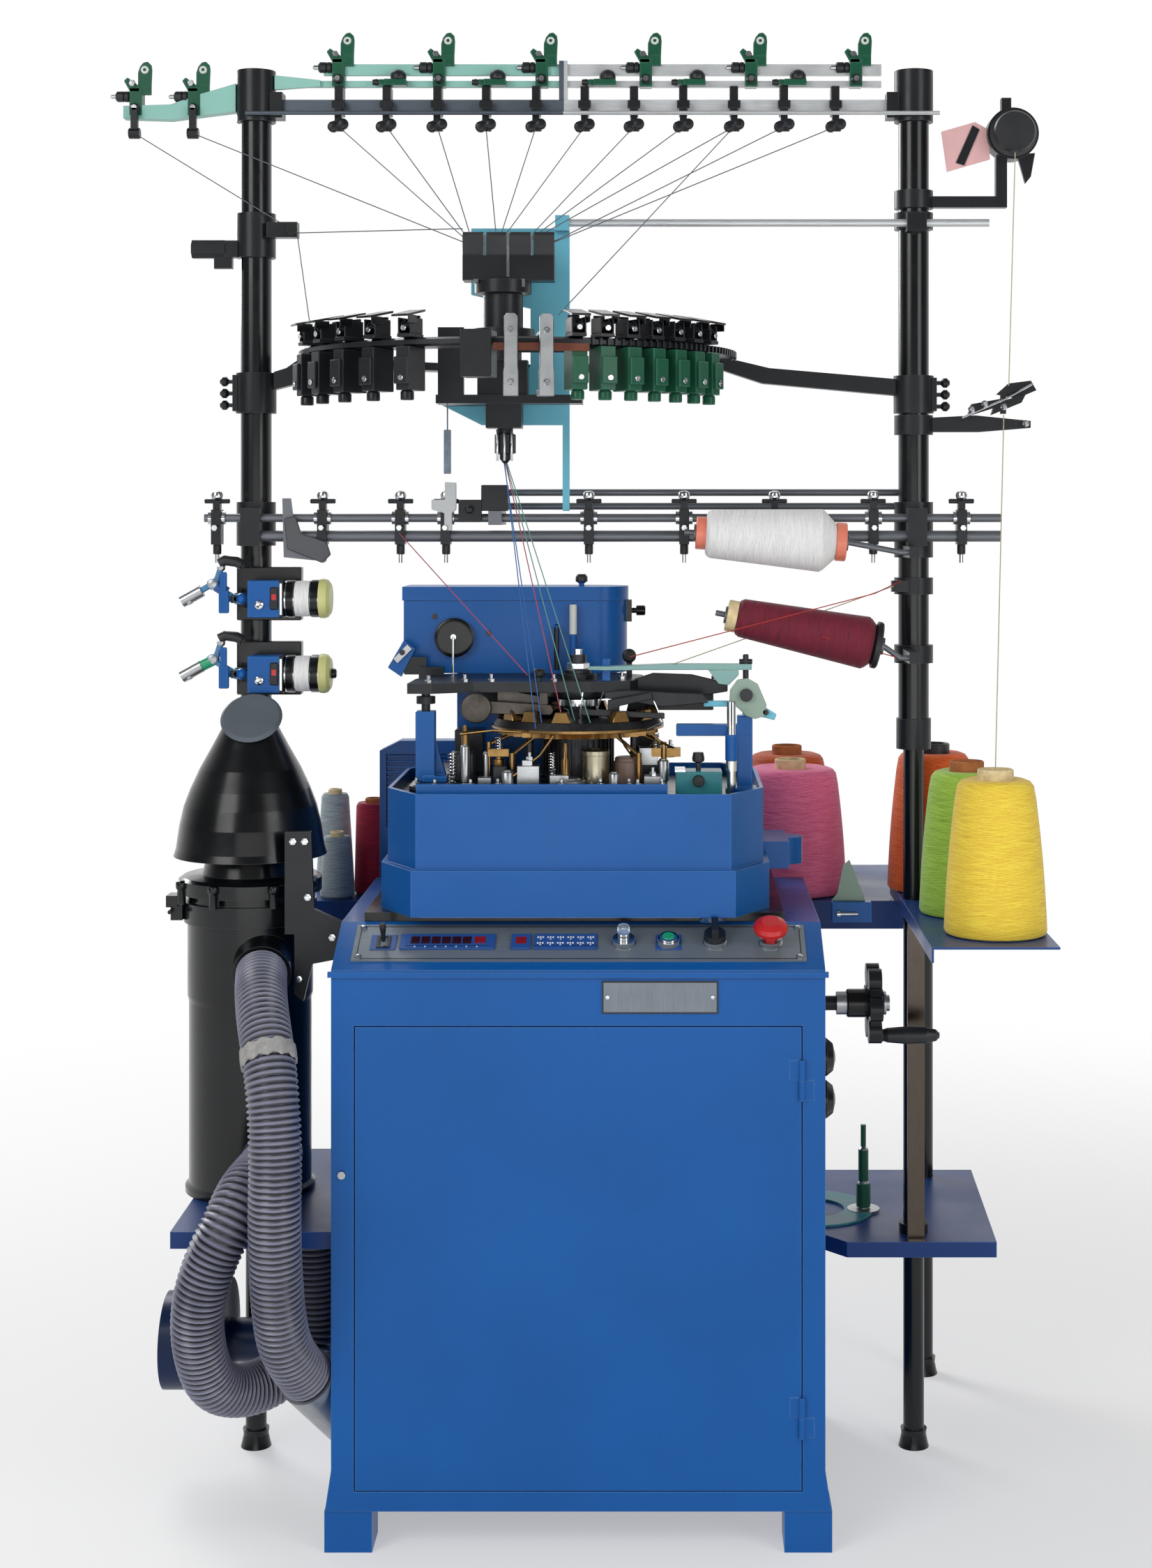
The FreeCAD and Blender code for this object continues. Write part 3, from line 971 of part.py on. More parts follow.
def canister_bracket():
    """Black plate in front of the bell, screwed to the cabinet and hooked round the canister."""
    front = -182
    outline = [(-399, 918), (-364, 918), (-360, 814), (-SIDE_X, 796), (-SIDE_X, 748), (-362, 740),
               (-374, 690),
               (-386, 700), (-386, 780), (-399, 780)]
    plate = slab([(x, front, z) for x, z in outline], (0, 10, 0))
    tongue = block(-399, -386, front, CAN_Y - 40, BAND_Z + 2, BAND_Z + BAND_H - 2)
    wall_foot = block(-SIDE_X - 8, -SIDE_X, front, front + 34, 750, 790)
    plate = joined(plate, tongue, wall_foot)
    return plate.cut(rod((CAN_X, CAN_Y, BAND_Z), (CAN_X, CAN_Y, BAND_Z + BAND_H), BAND_R))


def crossbar():
    start = POLE_LEFT + CAP_R
    return block(start, POLE_RIGHT - CAP_R, POLE_Y - BAR_SIDE / 2, POLE_Y + BAR_SIDE / 2, BAR_Z,
                 BAR_Z + BAR_SIDE)


def rail(x0, x1, z, height):
    return block(x0, x1, POLE_Y - RAIL_T / 2, POLE_Y + RAIL_T / 2, z, z + height)


def make_creel_rails():
    """Crossbar, silver rails, guide wire, and the rods and spindles of the middle."""
    silver = [rail(JOINT_X + 6, RAIL_RIGHT, TOP_RAIL_Z, TOP_RAIL_H),
              rail(JOINT_X + 6, RAIL_RIGHT, RAIL_Z, RAIL_H)]
    clamp = block(JOINT_X - 6, JOINT_X + 6, POLE_Y - 10, POLE_Y + 10, BAR_Z + BAR_SIDE,
                  TOP_RAIL_Z + TOP_RAIL_H + 4)
    clamp = clamp.cut(rail(JOINT_X - 7, JOINT_X, TOP_RAIL_Z, TOP_RAIL_H)).cut(rail(JOINT_X - 7, JOINT_X,
                                                                                   RAIL_Z, RAIL_H))
    wire_y = POLE_Y - CAP_R - 3 - FIT
    wire = facet_rod((POLE_LEFT - 10, wire_y, BAR_Z - 6), (POLE_RIGHT + 34, wire_y, BAR_Z - 6), 3)
    rod_c = rod((-545, ROD_Y, ROD_C_Z), (592, ROD_Y, ROD_C_Z), ROD_C_R)
    rod_e = rod((POLE_LEFT - 14, ROD_Y, ROD_E_Z), (592, ROD_Y, ROD_E_Z), ROD_E_R)
    back = [rod((-139, BACK_ROD_Y, z), (POLE_RIGHT + 14, BACK_ROD_Y, z), BACK_ROD_R) for z in BACK_RODS_Z]
    bridge = block(-139, -120, ROD_Y - 12, BACK_ROD_Y + 9, ROD_C_Z - 10, 1386).cut(rod_holes())
    bridge = joined(bridge, block(-148, -112, ROD_Y - 12, ROD_Y + 8, 1352, 1386))
    arm_rod = rod((JOINT_X, ARM_ROD_Y, ARM_ROD_Z), (576, ARM_ROD_Y, ARM_ROD_Z), ARM_ROD_R)
    hook_y = ROD_Y - ROD_E_R - FIT
    hook = slab([(-432, hook_y, 1368), (-420, hook_y, 1368), (-412, hook_y, 1304), (-366, hook_y, 1296),
                 (-370, hook_y, 1278), (-430, hook_y, 1284)], (0, -5, 0))
    return group(crossbar(), *silver, clamp, wire, rod_c, rod_e, *back, bridge, arm_rod, hook, *spindles())


WHITE_AXIS = ((352, SPINDLE_Y, WHITE_LUG_Z + 15), (170, SPINDLE_Y, WHITE_LUG_Z + 26.5))
MAROON_AXIS = ((402, SPINDLE_Y, MAROON_LUG_Z + 19.5), (213, SPINDLE_Y, MAROON_LUG_Z + 57.5))


def along(start, end, distance):
    """The point that lies at a distance from start towards end, or behind start where it is negative."""
    run = V(*end) - V(*start)
    point = V(*start) + run * (distance / run.Length)
    return (point.x, point.y, point.z)


def spindles():
    """Rods that carry the two lying cones, each with the plug that fills the cone's paper tube."""
    made = []
    for (start, end), lug_z in ((WHITE_AXIS, WHITE_LUG_Z), (MAROON_AXIS, MAROON_LUG_Z)):
        near = along(start, end, -PAPER_OUT - 3)
        tip = along(end, start, -PAPER_OUT - 16)
        bend = bent_rod([(POLE_RIGHT - 18, SPINDLE_Y, lug_z), (POLE_RIGHT - 30, SPINDLE_Y, lug_z), near],
                        SPINDLE_R)
        flange = rod(near, along(start, end, -PAPER_OUT), 12)
        far = along(end, start, -PAPER_OUT)
        made.append(joined(bend, flange))
        made.append(joined(rod(far, tip, SPINDLE_R), rod(far, along(far, tip, 3), 12)))
    return made


def make_teal_rails():
    """Teal halves of the top rails, the arm past the left pole and the plate at its cap."""
    rails = [rail(RAIL_LEFT, JOINT_X - 6, TOP_RAIL_Z, TOP_RAIL_H), rail(-444, JOINT_X - 6, RAIL_Z, RAIL_H)]
    y0 = POLE_Y - 10
    end = POLE_LEFT - CAP_R
    tip = POLE_LEFT - 190
    arm = slab([(end, y0, BAR_Z + 40), (end, y0, BAR_Z), (tip + 68, y0, BAR_Z - 12), (tip, y0, BAR_Z - 10),
                (tip, y0, BAR_Z + 8), (tip + 68, y0, BAR_Z + 10), (tip + 108, y0, BAR_Z + 24)], (0, 20, 0))
    arm = arm.cut(rod((POLE_LEFT, POLE_Y, BAR_Z - 26), (POLE_LEFT, POLE_Y, POLE_TOP + 25), CAP_R + FIT))
    start = POLE_LEFT + CAP_R + FIT
    plate = slab([(start, y0, RAIL_Z + 16), (-384, y0, RAIL_Z + RAIL_H), (-384, y0, RAIL_Z),
                  (start, y0, RAIL_Z - 5)],
                 (0, 6, 0))
    return group(joined(rails[1], plate), rails[0], arm)


# ---- thread guides -----------------------------------------------------------------------------------------
BLACK_GUIDES_X = (-357, -288, -215, -145, -73, -3, 68, 139, 212, 284, 358)
GREEN_UNITS_X = (-358, -213, -65, 85, 237, 388)
DOME_UNITS_X = (-275, -132, 26, 155, 300)
ARM_UNITS_X = (POLE_LEFT - 172, POLE_LEFT - 88)


def black_guide(x):
    """Clamp on the crossbar with a stem up to the lower rail and an eyelet arm below."""
    top = block(x - 7, x + 7, POLE_Y - 13, POLE_Y + 13, BAR_Z - 5, RAIL_Z)
    top = top.cut(crossbar())
    arm = block(x - 5, x + 5, POLE_Y - 22, POLE_Y - 6, BAR_Z - 28, BAR_Z - 5)
    low = facet_rod((x - 9, POLE_Y - 14, BAR_Z - 23), (x + 9, POLE_Y - 14, BAR_Z - 23), 8)
    screw = facet_rod((x, POLE_Y - 22, BAR_Z + 8), (x, POLE_Y - 13, BAR_Z + 8), 6, 6)
    return joined(top, arm, low, screw)


def green_unit(x, z=RAIL_Z):
    """Bracket with a round ear, a black knob to the left and a chrome screw."""
    y0 = POLE_Y - 11
    body = block(x - 9, x + 9, y0, POLE_Y + 11, z, z + 40)
    ear = slab([(x + 3, y0 + 2, z + 40), (x + 3, y0 + 2, z + 62), (x + 8, y0 + 2, z + 76),
                (x + 16, y0 + 2, z + 78),
                (x + 22, y0 + 2, z + 70), (x + 22, y0 + 2, z + 40)], (0, 6, 0))
    ear = ear.cut(rod((x + 13, y0, z + 66), (x + 13, y0 + 10, z + 66), 4))
    shelf = block(x + 3, x + 22, y0 + 2, y0 + 8, z + 30, z + 40)
    knob = facet_rod((x - 30, y0 + 6, z + 28), (x - 9, y0 + 6, z + 28), 8)
    screw = facet_rod((x, y0 - 8, z + 16), (x, y0, z + 16), 6, 6)
    lever = slab([(x - 12, y0, z + 44), (x - 16, y0, z + 52), (x + 6, y0, z + 40), (x + 6, y0, z + 34),
                  (x - 8, y0, z + 34)], (0, 5, 0))
    return joined(body, ear, shelf, knob, screw, lever)


def dome_unit(x):
    """Low green bracket with a black domed tension cap on the lower rail."""
    base = block(x - 16, x + 16, POLE_Y - 22, POLE_Y - RAIL_T / 2, RAIL_Z, RAIL_Z + 11)
    dome = facet_rod((x + 4, POLE_Y - 14, RAIL_Z + 11), (x + 4, POLE_Y - 14, RAIL_Z + 24), 8)
    knob = facet_rod((x - 26, POLE_Y - 14, RAIL_Z + 5), (x - 16, POLE_Y - 14, RAIL_Z + 5), 5, 6)
    return joined(base, dome, knob)


def make_top_guides():
    rails = group(*[rail(-444, RAIL_RIGHT, z, h) for z, h in ((TOP_RAIL_Z, TOP_RAIL_H), (RAIL_Z, RAIL_H))])
    black = [black_guide(x) for x in BLACK_GUIDES_X]
    green = [green_unit(x).cut(rails) for x in GREEN_UNITS_X]
    domes = [dome_unit(x) for x in DOME_UNITS_X]
    ends = []
    for x in ARM_UNITS_X:
        unit = green_unit(x, BAR_Z - 6).cut(make_teal_rails())
        eyelet = joined(block(x - 5, x + 5, POLE_Y - 22, POLE_Y - 12, BAR_Z - 38, BAR_Z + 4),
                        facet_rod((x - 9, POLE_Y - 17, BAR_Z - 33), (x + 9, POLE_Y - 17, BAR_Z - 33), 8))
        ends.append(joined(unit, eyelet))
    return group(*black, *green, *domes, *ends)


MID_GUIDES_X = (-527, -376, -265, -200, 4, 140, 269, 410, 536)


def make_mid_guides():
    """Guides clamped on the middle rods."""
    holes = rod_holes()
    made = []
    for x in MID_GUIDES_X:
        body = block(x - 7, x + 7, ROD_Y - 12, ROD_Y + 12, ROD_E_Z - 12, ROD_C_Z + 12)
        wing = facet_rod((x, ROD_Y, ROD_C_Z + 12), (x, ROD_Y, ROD_C_Z + 30), 7)
        screw = facet_rod((x - 16, ROD_Y, ROD_C_Z + 24), (x + 16, ROD_Y, ROD_C_Z + 24), 4, 6)
        front = facet_rod((x, ROD_Y - 24, ROD_E_Z + 12), (x, ROD_Y - 12, ROD_E_Z + 12), 6)
        made.append(joined(body, wing, screw, front).cut(holes))
    return group(*made)


# ---- carrier ring and distribution head --------------------------------------------------------------------
def make_carrier_ring():
    """Flat ring with a raised inner rim, and the two arms that carry it from the poles."""
    ring = turned([(RING_INNER_R, 0), (RING_R - 6, 0), (RING_R, 3), (RING_R, RING_T - 3),
                   (RING_R - 6, RING_T),
                   (RING_INNER_R, RING_T)], (RING_X, RING_Y, RING_Z))
    y0 = POLE_Y - 11
    left_end, right_end = RING_X - RING_R + 30, RING_X + RING_R - 30
    z = RING_Z
    left = slab([(POLE_LEFT, y0, z - 49), (POLE_LEFT, y0, z - 25), (left_end - 50, y0, z - 11),
                 (left_end - 34, y0, z),
                 (left_end, y0, z), (left_end, y0, z - 10), (left_end - 40, y0, z - 35)], (0, 22, 0))
    right = slab([(POLE_RIGHT, y0, z - 53), (POLE_RIGHT, y0, z - 29), (right_end + 80, y0, z - 11),
                  (right_end + 34, y0, z), (right_end, y0, z), (right_end, y0, z - 10),
                  (right_end + 70, y0, z - 33)], (0, 22, 0))
    ring = joined(ring, left, right)
    for x in (POLE_LEFT, POLE_RIGHT):
        ring = ring.cut(rod((x, POLE_Y, RING_Z - 167), (x, POLE_Y, RING_Z + 33), POLE_R + 7 + FIT))
    return ring


def ring_unit(angle, width=22, boxed=False):
    """Thread guide of the ring: covered box above, block below and puck under it."""
    inner, outer = RING_R - 24, RING_R + 14
    half = width / 2
    top = RING_Z + RING_T
    cover = slab([(-half, -outer, top), (-half, -inner, top), (-half, -inner, top + 34),
                  (-half, -outer, top + 24)],
                 (width, 0, 0))
    rise = 10 / (outer - inner)
    edge = top + 24 - 8 * rise
    plate = slab([(-half - 2, -outer - 8, edge), (-half - 2, -inner, top + 34), (-half - 2, -inner, top + 37),
                  (-half - 2, -outer - 8, edge + 3)], (width + 4, 0, 0))
    lower = block(-half, half, -outer, -inner, RING_Z - 62, RING_Z)
    step = block(-half, half, -outer - 8, -outer, RING_Z - 52, RING_Z - 16)
    puck = facet_rod((0, -outer + 14, RING_Z - 76), (0, -outer + 14, RING_Z - 62), 9)
    upper = joined(cover, plate)
    below = joined(lower, step, puck)
    if boxed:
        upper = block(-half, half, -outer, -inner, top, top + 8)
        below = block(-half, half, -outer, -inner, RING_Z - 42, RING_Z)
    made = []
    for piece in (upper, below):
        made.append(moved(spun(piece, angle, (0, 0, 0)), RING_X, RING_Y, 0))
    return made


RIGHT_UNITS = [18 + 7 * i for i in range(7)]
LEFT_UNITS = [-24 - 10 * i for i in range(5)]
SILVER_UNITS = (2, 10)
GREY_BOX = -6


def make_ring_units():
    made = []
    for angle in RIGHT_UNITS + LEFT_UNITS:
        made += ring_unit(angle)
    for angle in SILVER_UNITS:
        made += ring_unit(angle, 15)
    made += ring_unit(GREY_BOX, 40, True)
    return group(*made)


def make_ring_bracket():
    """Light-blue plate that hangs from the long rod and holds the distribution head."""
    top, base = ARM_ROD_Z - 7, BASE_Z
    left, right = COLUMN_X - 50, JOINT_X + 10
    outline = [(left, top), (right, top), (right, ROD_C_Z + 10), (right - 10, ROD_C_Z + 10),
               (right - 10, base - 27),
               (left + 15, base - 27), (left - 39, base), (left - 39, base + 12), (left + 65, base + 12),
               (left + 85, base + 60), (left + 85, base + 140), (left, base + 160)]
    plate = slab([(x, BRACKET_Y, z) for x, z in outline], (0, 5, 0))
    clamp = block(JOINT_X - 10, right, ARM_ROD_Y - 10, BRACKET_Y, ARM_ROD_Z - 12, ARM_ROD_Z + 10)
    hole = rod((JOINT_X, ARM_ROD_Y, ARM_ROD_Z), (JOINT_X + 34, ARM_ROD_Y, ARM_ROD_Z), ARM_ROD_R + FIT)
    return joined(plate, clamp).cut(hole)


def make_distribution_head():
    """Column with four yarn pads, its base plate, lower block and nozzle."""
    x, y, z = COLUMN_X, COLUMN_Y, BASE_Z
    pads = []
    for i in range(PADS):
        left = x - 55 + 33 * i
        pads.append(slab([(left, y - 22, z + 206), (left, y - 28, z + 234), (left, y - 20, z + 240),
                          (left, y + 4, z + 206)], (29, 0, 0)))
    boxes = [block(left, left + 62, y - 26, y + 14, z + 172, z + 207) for left in (x - 55, x + 11)]
    neck = turned([(0, 0), (26, 0), (26, 30), (44, 32), (44, 44), (28, 46), (28, 92), (40, 94), (40, 112),
                   (0, 112)],
                  (x, y, z + 61))
    link = block(x - 35, x + 35, y - 18, y + 18, z, z + 61)
    base = block(x - 92, x + 112, y - 30, y + 20, z, z + 12)
    tail = block(x - 89, x + 5, y + 20, BRACKET_Y, z, z + 12)
    upright = block(x - 89, x - 53, y - 30, y - 18, z + 12, z + 106)
    lower = block(x - 23, x + 27, y - 22, y + 22, z - 34, z)
    nozzle = turned([(0, 0), (3, 0), (8, 6), (8, 12), (15, 14), (15, 40), (11, 42), (11, 49), (0, 49)],
                    (x + 3, y, z - 83))
    bar = block(x + 15, x + 109, y - 14, y - 8, z + 72, z + 80)
    return joined(*pads, *boxes, neck, link, base, tail, upright, lower, nozzle, bar)


# ---- feeders -----------------------------------------------------------------------------------------------
def feeder_box(z):
    half = FEEDER_SIDE / 2
    box = block(FEEDER_X0, FEEDER_X1, FEEDER_Y - half, FEEDER_Y + half, z - half, z + half)
    grip = block(POLE_LEFT - 14, POLE_LEFT + 14, FEEDER_Y + half, POLE_Y, z - 14, z + 14)
    stub = block(PIVOT_X - 3, FEEDER_X0, FEEDER_Y - 4, FEEDER_Y + 12, z - 8, z + 8)
    pin = rod((PIVOT_X, FEEDER_Y - 14, z), (PIVOT_X, FEEDER_Y + 4, z), 3)
    nose = rod((PIVOT_X, FEEDER_Y - 4, z), (PIVOT_X, FEEDER_Y + 12, z), 8)
    spindle = rod((FEEDER_X1, FEEDER_Y, z), (FEEDER_X1 + DRUM_LENGTH - 6, FEEDER_Y, z), 4)
    switch = facet_rod((FEEDER_X1 - 14, FEEDER_Y - half - 4, z - 8), (FEEDER_X1 - 14, FEEDER_Y - half, z - 8),
                       6)
    box = joined(box, grip, stub, nose, pin, spindle, switch)
    return box.cut(pole_hole(POLE_LEFT, z - 60, z + 60))


def make_feeder_frames():
    """Two elastic feeders on the left pole, the upper right feeder and the sensor cluster on the right pole."""
    return group(*[feeder_box(z) for z in FEEDER_Z], right_feeder_frame(), sensor_cluster())


def right_feeder_frame():
    arm = block(POLE_RIGHT + 10, 606, 42, 58, 1788, 1804)
    rise = block(590, 606, 42, 58, 1788, 1862)
    body = rod((RIGHT_DRUM_X, 30, RIGHT_DRUM_Z), (RIGHT_DRUM_X, 66, RIGHT_DRUM_Z), RIGHT_DRUM_R + 3)
    pin = rod((RIGHT_DRUM_X, 12, RIGHT_DRUM_Z), (RIGHT_DRUM_X, 30, RIGHT_DRUM_Z), 4)
    tab = slab([(620, 40, 1864), (646, 40, 1866), (640, 40, 1832), (632, 40, 1822)], (0, 8, 0))
    nub = block(598, 612, 42, 58, 1924, 1946)
    flag = slab([(512, 44, 1896), (560, 44, 1910), (580, 44, 1898), (580, 44, 1858), (520, 44, 1840)],
                (0, 3, 0))
    wand = slab([(532, 40, 1852), (544, 40, 1848), (566, 40, 1900), (556, 40, 1906)], (0, 4, 0))
    body = joined(body, pin, tab, nub, arm, rise, flag, wand)
    ring = rod((POLE_RIGHT, POLE_Y, 1786), (POLE_RIGHT, POLE_Y, 1812), CAP_R)
    return joined(body, ring).cut(pole_hole(POLE_RIGHT, 1780, 1820))


def sensor_cluster():
    """Arm with two yarn-break sensors and their paddles."""
    arm = slab([(POLE_RIGHT + 10, 42, 1464), (POLE_RIGHT + 10, 42, 1484), (560, 42, 1488), (640, 42, 1480),
                (640, 42, 1470), (566, 42, 1464)], (0, 16, 0))
    ring = rod((POLE_RIGHT, POLE_Y, 1460), (POLE_RIGHT, POLE_Y, 1488), CAP_R)
    heads = []
    for x, z, lean in ((548, 1486, 14), (582, 1488, 18)):
        heads.append(slab([(x, 36, z), (x + 44, 36, z + lean), (x + 50, 36, z + lean + 12),
                           (x + 6, 36, z + 18)],
                          (0, 12, 0)))
    paddle = slab([(590, 40, 1518), (608, 40, 1534), (640, 40, 1538), (648, 40, 1524), (620, 40, 1512)],
                  (0, 5, 0))
    post = block(596, 604, 38, 46, 1490, 1524)
    return joined(arm, ring, *heads, paddle, post).cut(pole_hole(POLE_RIGHT, 1450, 1500))


def feeder_drum(z):
    """Chrome drum with black flanges and a domed cap."""
    profile = [(4 + PIN_FIT, 0), (DRUM_R, 0), (DRUM_R, 5), (DRUM_R - 4, 6), (DRUM_R - 4, 38), (DRUM_R, 39),
               (DRUM_R, 47), (DRUM_R - 1, 58), (DRUM_R - 6, DRUM_LENGTH), (0, DRUM_LENGTH),
               (0, DRUM_LENGTH - 5), (4 + PIN_FIT, DRUM_LENGTH - 5)]
    return turned(profile, (FEEDER_X1 + RUN, FEEDER_Y, z), (1, 0, 0))


def make_right_drum():
    profile = [(4 + PIN_FIT, 0), (RIGHT_DRUM_R, 0), (RIGHT_DRUM_R, 3), (24, 5), (24, 13), (30, 15), (28, 20),
               (0, 20), (0, 18.5), (4 + PIN_FIT, 18.5)]
    return turned(profile, (RIGHT_DRUM_X, 30 - RUN, RIGHT_DRUM_Z), (0, -1, 0))


def tension_arm(z):
    """Bent chrome lever on the feeder's pivot pin."""
    y = FEEDER_Y - 9
    hub = rod((PIVOT_X, y - 4.5, z), (PIVOT_X, y + 4.5, z), 7)
    reach = facet_rod((PIVOT_X - 4, y, z + 2), (PIVOT_X - 34, y, z + 20), 4.5)
    tip = facet_rod((PIVOT_X - 32, y, z + 22), (PIVOT_X - 76, y, z - 4), 4.5)
    horn = facet_rod((PIVOT_X - 30, y, z + 18), (PIVOT_X - 20, y, z + 50), 4.5)
    elbow = facet_rod((PIVOT_X - 33, y - 6, z + 21), (PIVOT_X - 33, y + 6, z + 21), 8)
    arm = joined(hub, reach, tip, horn, elbow)
    return arm.cut(rod((PIVOT_X, y - 9, z), (PIVOT_X, y + 9, z), 3 + PIN_FIT))


# ---- canister, hoses, blower -------------------------------------------------------------------------------
def make_canister_body():
    body = turned([(0, 0), (CAN_R + 3, 0), (CAN_R + 3, 8), (CAN_R - 2, 12), (CAN_R - 2, CAN_HEIGHT - 150),
                   (CAN_R, CAN_HEIGHT - 142), (CAN_R, CAN_HEIGHT), (0, CAN_HEIGHT)], (CAN_X, CAN_Y,
                                                                                      LEFT_TRAY_Z))
    start = along(HOSE_ONE[0], HOSE_ONE[1], -RUN)
    port = rod(along(HOSE_ONE[0], HOSE_ONE[1], -70), start, HOSE_R + 5)
    low_start = along(HOSE_TWO[0], HOSE_TWO[1], -RUN)
    low_port = rod(along(HOSE_TWO[0], HOSE_TWO[1], -50), low_start, HOSE_R + 3)
    return joined(body, port, low_port)


def make_canister_lid():
    """Lid ring, neck, clamp band with its bolt, and the grey flap on the bell."""
    height = BELL_RIM_Z - CAN_TOP
    lid = turned([(0, 0), (CAN_R + 12, 0), (CAN_R + 12, 18), (CAN_R + 6, 22), (CAN_R - 20, 24),
                  (CAN_R - 26, height),
                  (0, height)], (CAN_X, CAN_Y, CAN_TOP))
    band = tube((CAN_X, CAN_Y, BAND_Z), (CAN_X, CAN_Y, BAND_Z + BAND_H), BAND_R, CAN_R + FIT)
    lug = block(CAN_X - CAN_R - 18, CAN_X - CAN_R - 2, CAN_Y - 34, CAN_Y - 6, BAND_Z + 3, BAND_Z + BAND_H - 3)
    band = joined(band, lug).cut(rod((CAN_X, CAN_Y, BAND_Z - 1), (CAN_X, CAN_Y, BAND_Z + BAND_H + 1),
                                     CAN_R + FIT))
    flap = turned([(0, 0), (40, 0), (42, 3), (38, 7), (0, 7)], (CAN_X + 5, CAN_Y - 20, BELL_TOP - 2),
                  (0, -0.72, 0.69))
    return group(lid, band, flap.cut(bell_solid()))


def bell_solid():
    profile = [(1, 0), (0.97, 10), (0.925, 42), (0.868, 68), (0.783, 92), (0.66, 120), (0.5, 150),
               (0.358, 178),
               (0.226, BELL_TOP - BELL_RIM_Z)]
    outer = [(BELL_R * share, BELL_RIM_Z + z) for share, z in profile]
    return turned([(0, BELL_RIM_Z)] + outer + [(0, outer[-1][1])], (CAN_X, CAN_Y, 0))


def make_canister_bell():
    rim = BELL_RIM_Z
    inner = turned([(0, rim - 1), (BELL_R - 6, rim - 1), (BELL_R - 12, rim + 42), (BELL_R - 27, rim + 92),
                    (BELL_R - 56, rim + 146), (BELL_R - 86, rim + 180), (0, rim + 180)], (CAN_X, CAN_Y, 0))
    seat = rod((CAN_X, CAN_Y, rim), (CAN_X, CAN_Y, rim + 182), 12)
    return joined(bell_solid().cut(inner), seat)


HOSE_ONE = [(-429, -190, 728), (-419, -262, 712), (-391, -344, 640), (-380, -368, 548), (-382, -370, 440),
            (-381, -352, 336), (-374, -322, 262), (-353.5, -282, 222)]
HOSE_TWO = [(-424, -172, 470), (-428, -240, 470), (-434, -300, 468), (-448, -334, 434), (-472, -338, 384),
            (-487, -332, 330), (-489, -316, 272), (-478, -286, 212), (-446, -246, 188), (-408, -206, 190),
            (-376, -176, 214), (-362, -168, 262), (-362, -168, 368)]


def bend_radius(before, corner, after):
    """The radius of the arc at a corner: as large as its two runs allow."""
    back, ahead = V(*before) - V(*corner), V(*after) - V(*corner)
    half_turn = (math.pi - back.getAngle(ahead)) / 2
    return 0.45 * min(back.Length, ahead.Length) / math.tan(half_turn)


def hose(points, name):
    """A hose's plain round solid: straight runs joined by tangent arcs."""
    lengths = []
    radii = []
    total = 0
    here = V(*points[0])
    for before, corner, after in zip(points, points[1:], points[2:]):
        middle = V(*corner)
        back = (V(*before) - middle).normalize()
        ahead = (V(*after) - middle).normalize()
        radius = bend_radius(before, corner, after)
        half_turn = (math.pi - back.getAngle(ahead)) / 2
        start = middle + back * (radius * math.tan(half_turn))
        lengths.append(Part.makeCylinder(HOSE_R, (start - here).Length, here, start - here))
        centre = middle + (back + ahead).normalize() * (radius / math.cos(half_turn))
        disc = Part.Face(Part.Wire(Part.makeCircle(HOSE_R, start, back)))
        lengths.append(disc.revolve(centre, ahead.cross(back), math.degrees(2 * half_turn)))
        total += (start - here).Length + 2 * half_turn * radius
        radii.append(round(radius))
        here = middle + ahead * (radius * math.tan(half_turn))
    end = V(*points[-1])
    lengths.append(Part.makeCylinder(HOSE_R, (end - here).Length, here, end - here))
    total += (end - here).Length
    solid = joined(*lengths)
    expected = math.pi * HOSE_R ** 2 * total
    print(name, "length", round(total), "radii", radii, "volume ratio", round(solid.Volume / expected, 4))
    return solid


def make_blower():
    """Blue blower bolted to the cabinet's wall below the left tray, and the duct that takes the looped hose."""
    motor = rod((-585, BLOWER_Y, BLOWER_Z), (-530, BLOWER_Y, BLOWER_Z), BLOWER_R)
    scroll = rod((-530, BLOWER_Y, BLOWER_Z), (-498, BLOWER_Y, BLOWER_Z), SCROLL_R)
    neck = rod((-498, BLOWER_Y, BLOWER_Z), (-SIDE_X, BLOWER_Y, BLOWER_Z), 30)
    flange = rod((-SIDE_X - 8, BLOWER_Y, BLOWER_Z), (-SIDE_X, BLOWER_Y, BLOWER_Z), 56)
    x, y, z = HOSE_TWO[-1]
    duct = block(x - HOSE_R - 4, -SIDE_X - TRAY_SHEET, y - HOSE_R - 4, y + HOSE_R + 4, z + RUN,
                 LEFT_TRAY_Z - TRAY_SHEET)
    return group(joined(motor, scroll, neck, flange), duct)


def cabinet_port():
    """Slanted stub on the cabinet's left wall, in line with the end of the long hose."""
    end, before = HOSE_ONE[-1], HOSE_ONE[-2]
    start = along(end, before, -RUN)
    stub = tube(start, along(end, before, -150), HOSE_R + 3, HOSE_R - 4)
    return stub.cut(block(-SIDE_X, 0, -400, 0, 0, 400)).cut(base_flare(-1))


# ---- trays -------------------------------------------------------------------------------------------------
def pan(outline, top, depth):
    """A sheet with its edges folded down."""
    outer = slab([(x, y, top - depth) for x, y in outline], (0, 0, depth))
    wire = Part.makePolygon([V(x, y, top - depth) for x, y in outline + outline[:1]])
    inner = Part.Face(wire.makeOffset2D(-TRAY_SHEET, 2)).extrude(V(0, 0, depth - TRAY_SHEET))
    return outer.cut(inner)


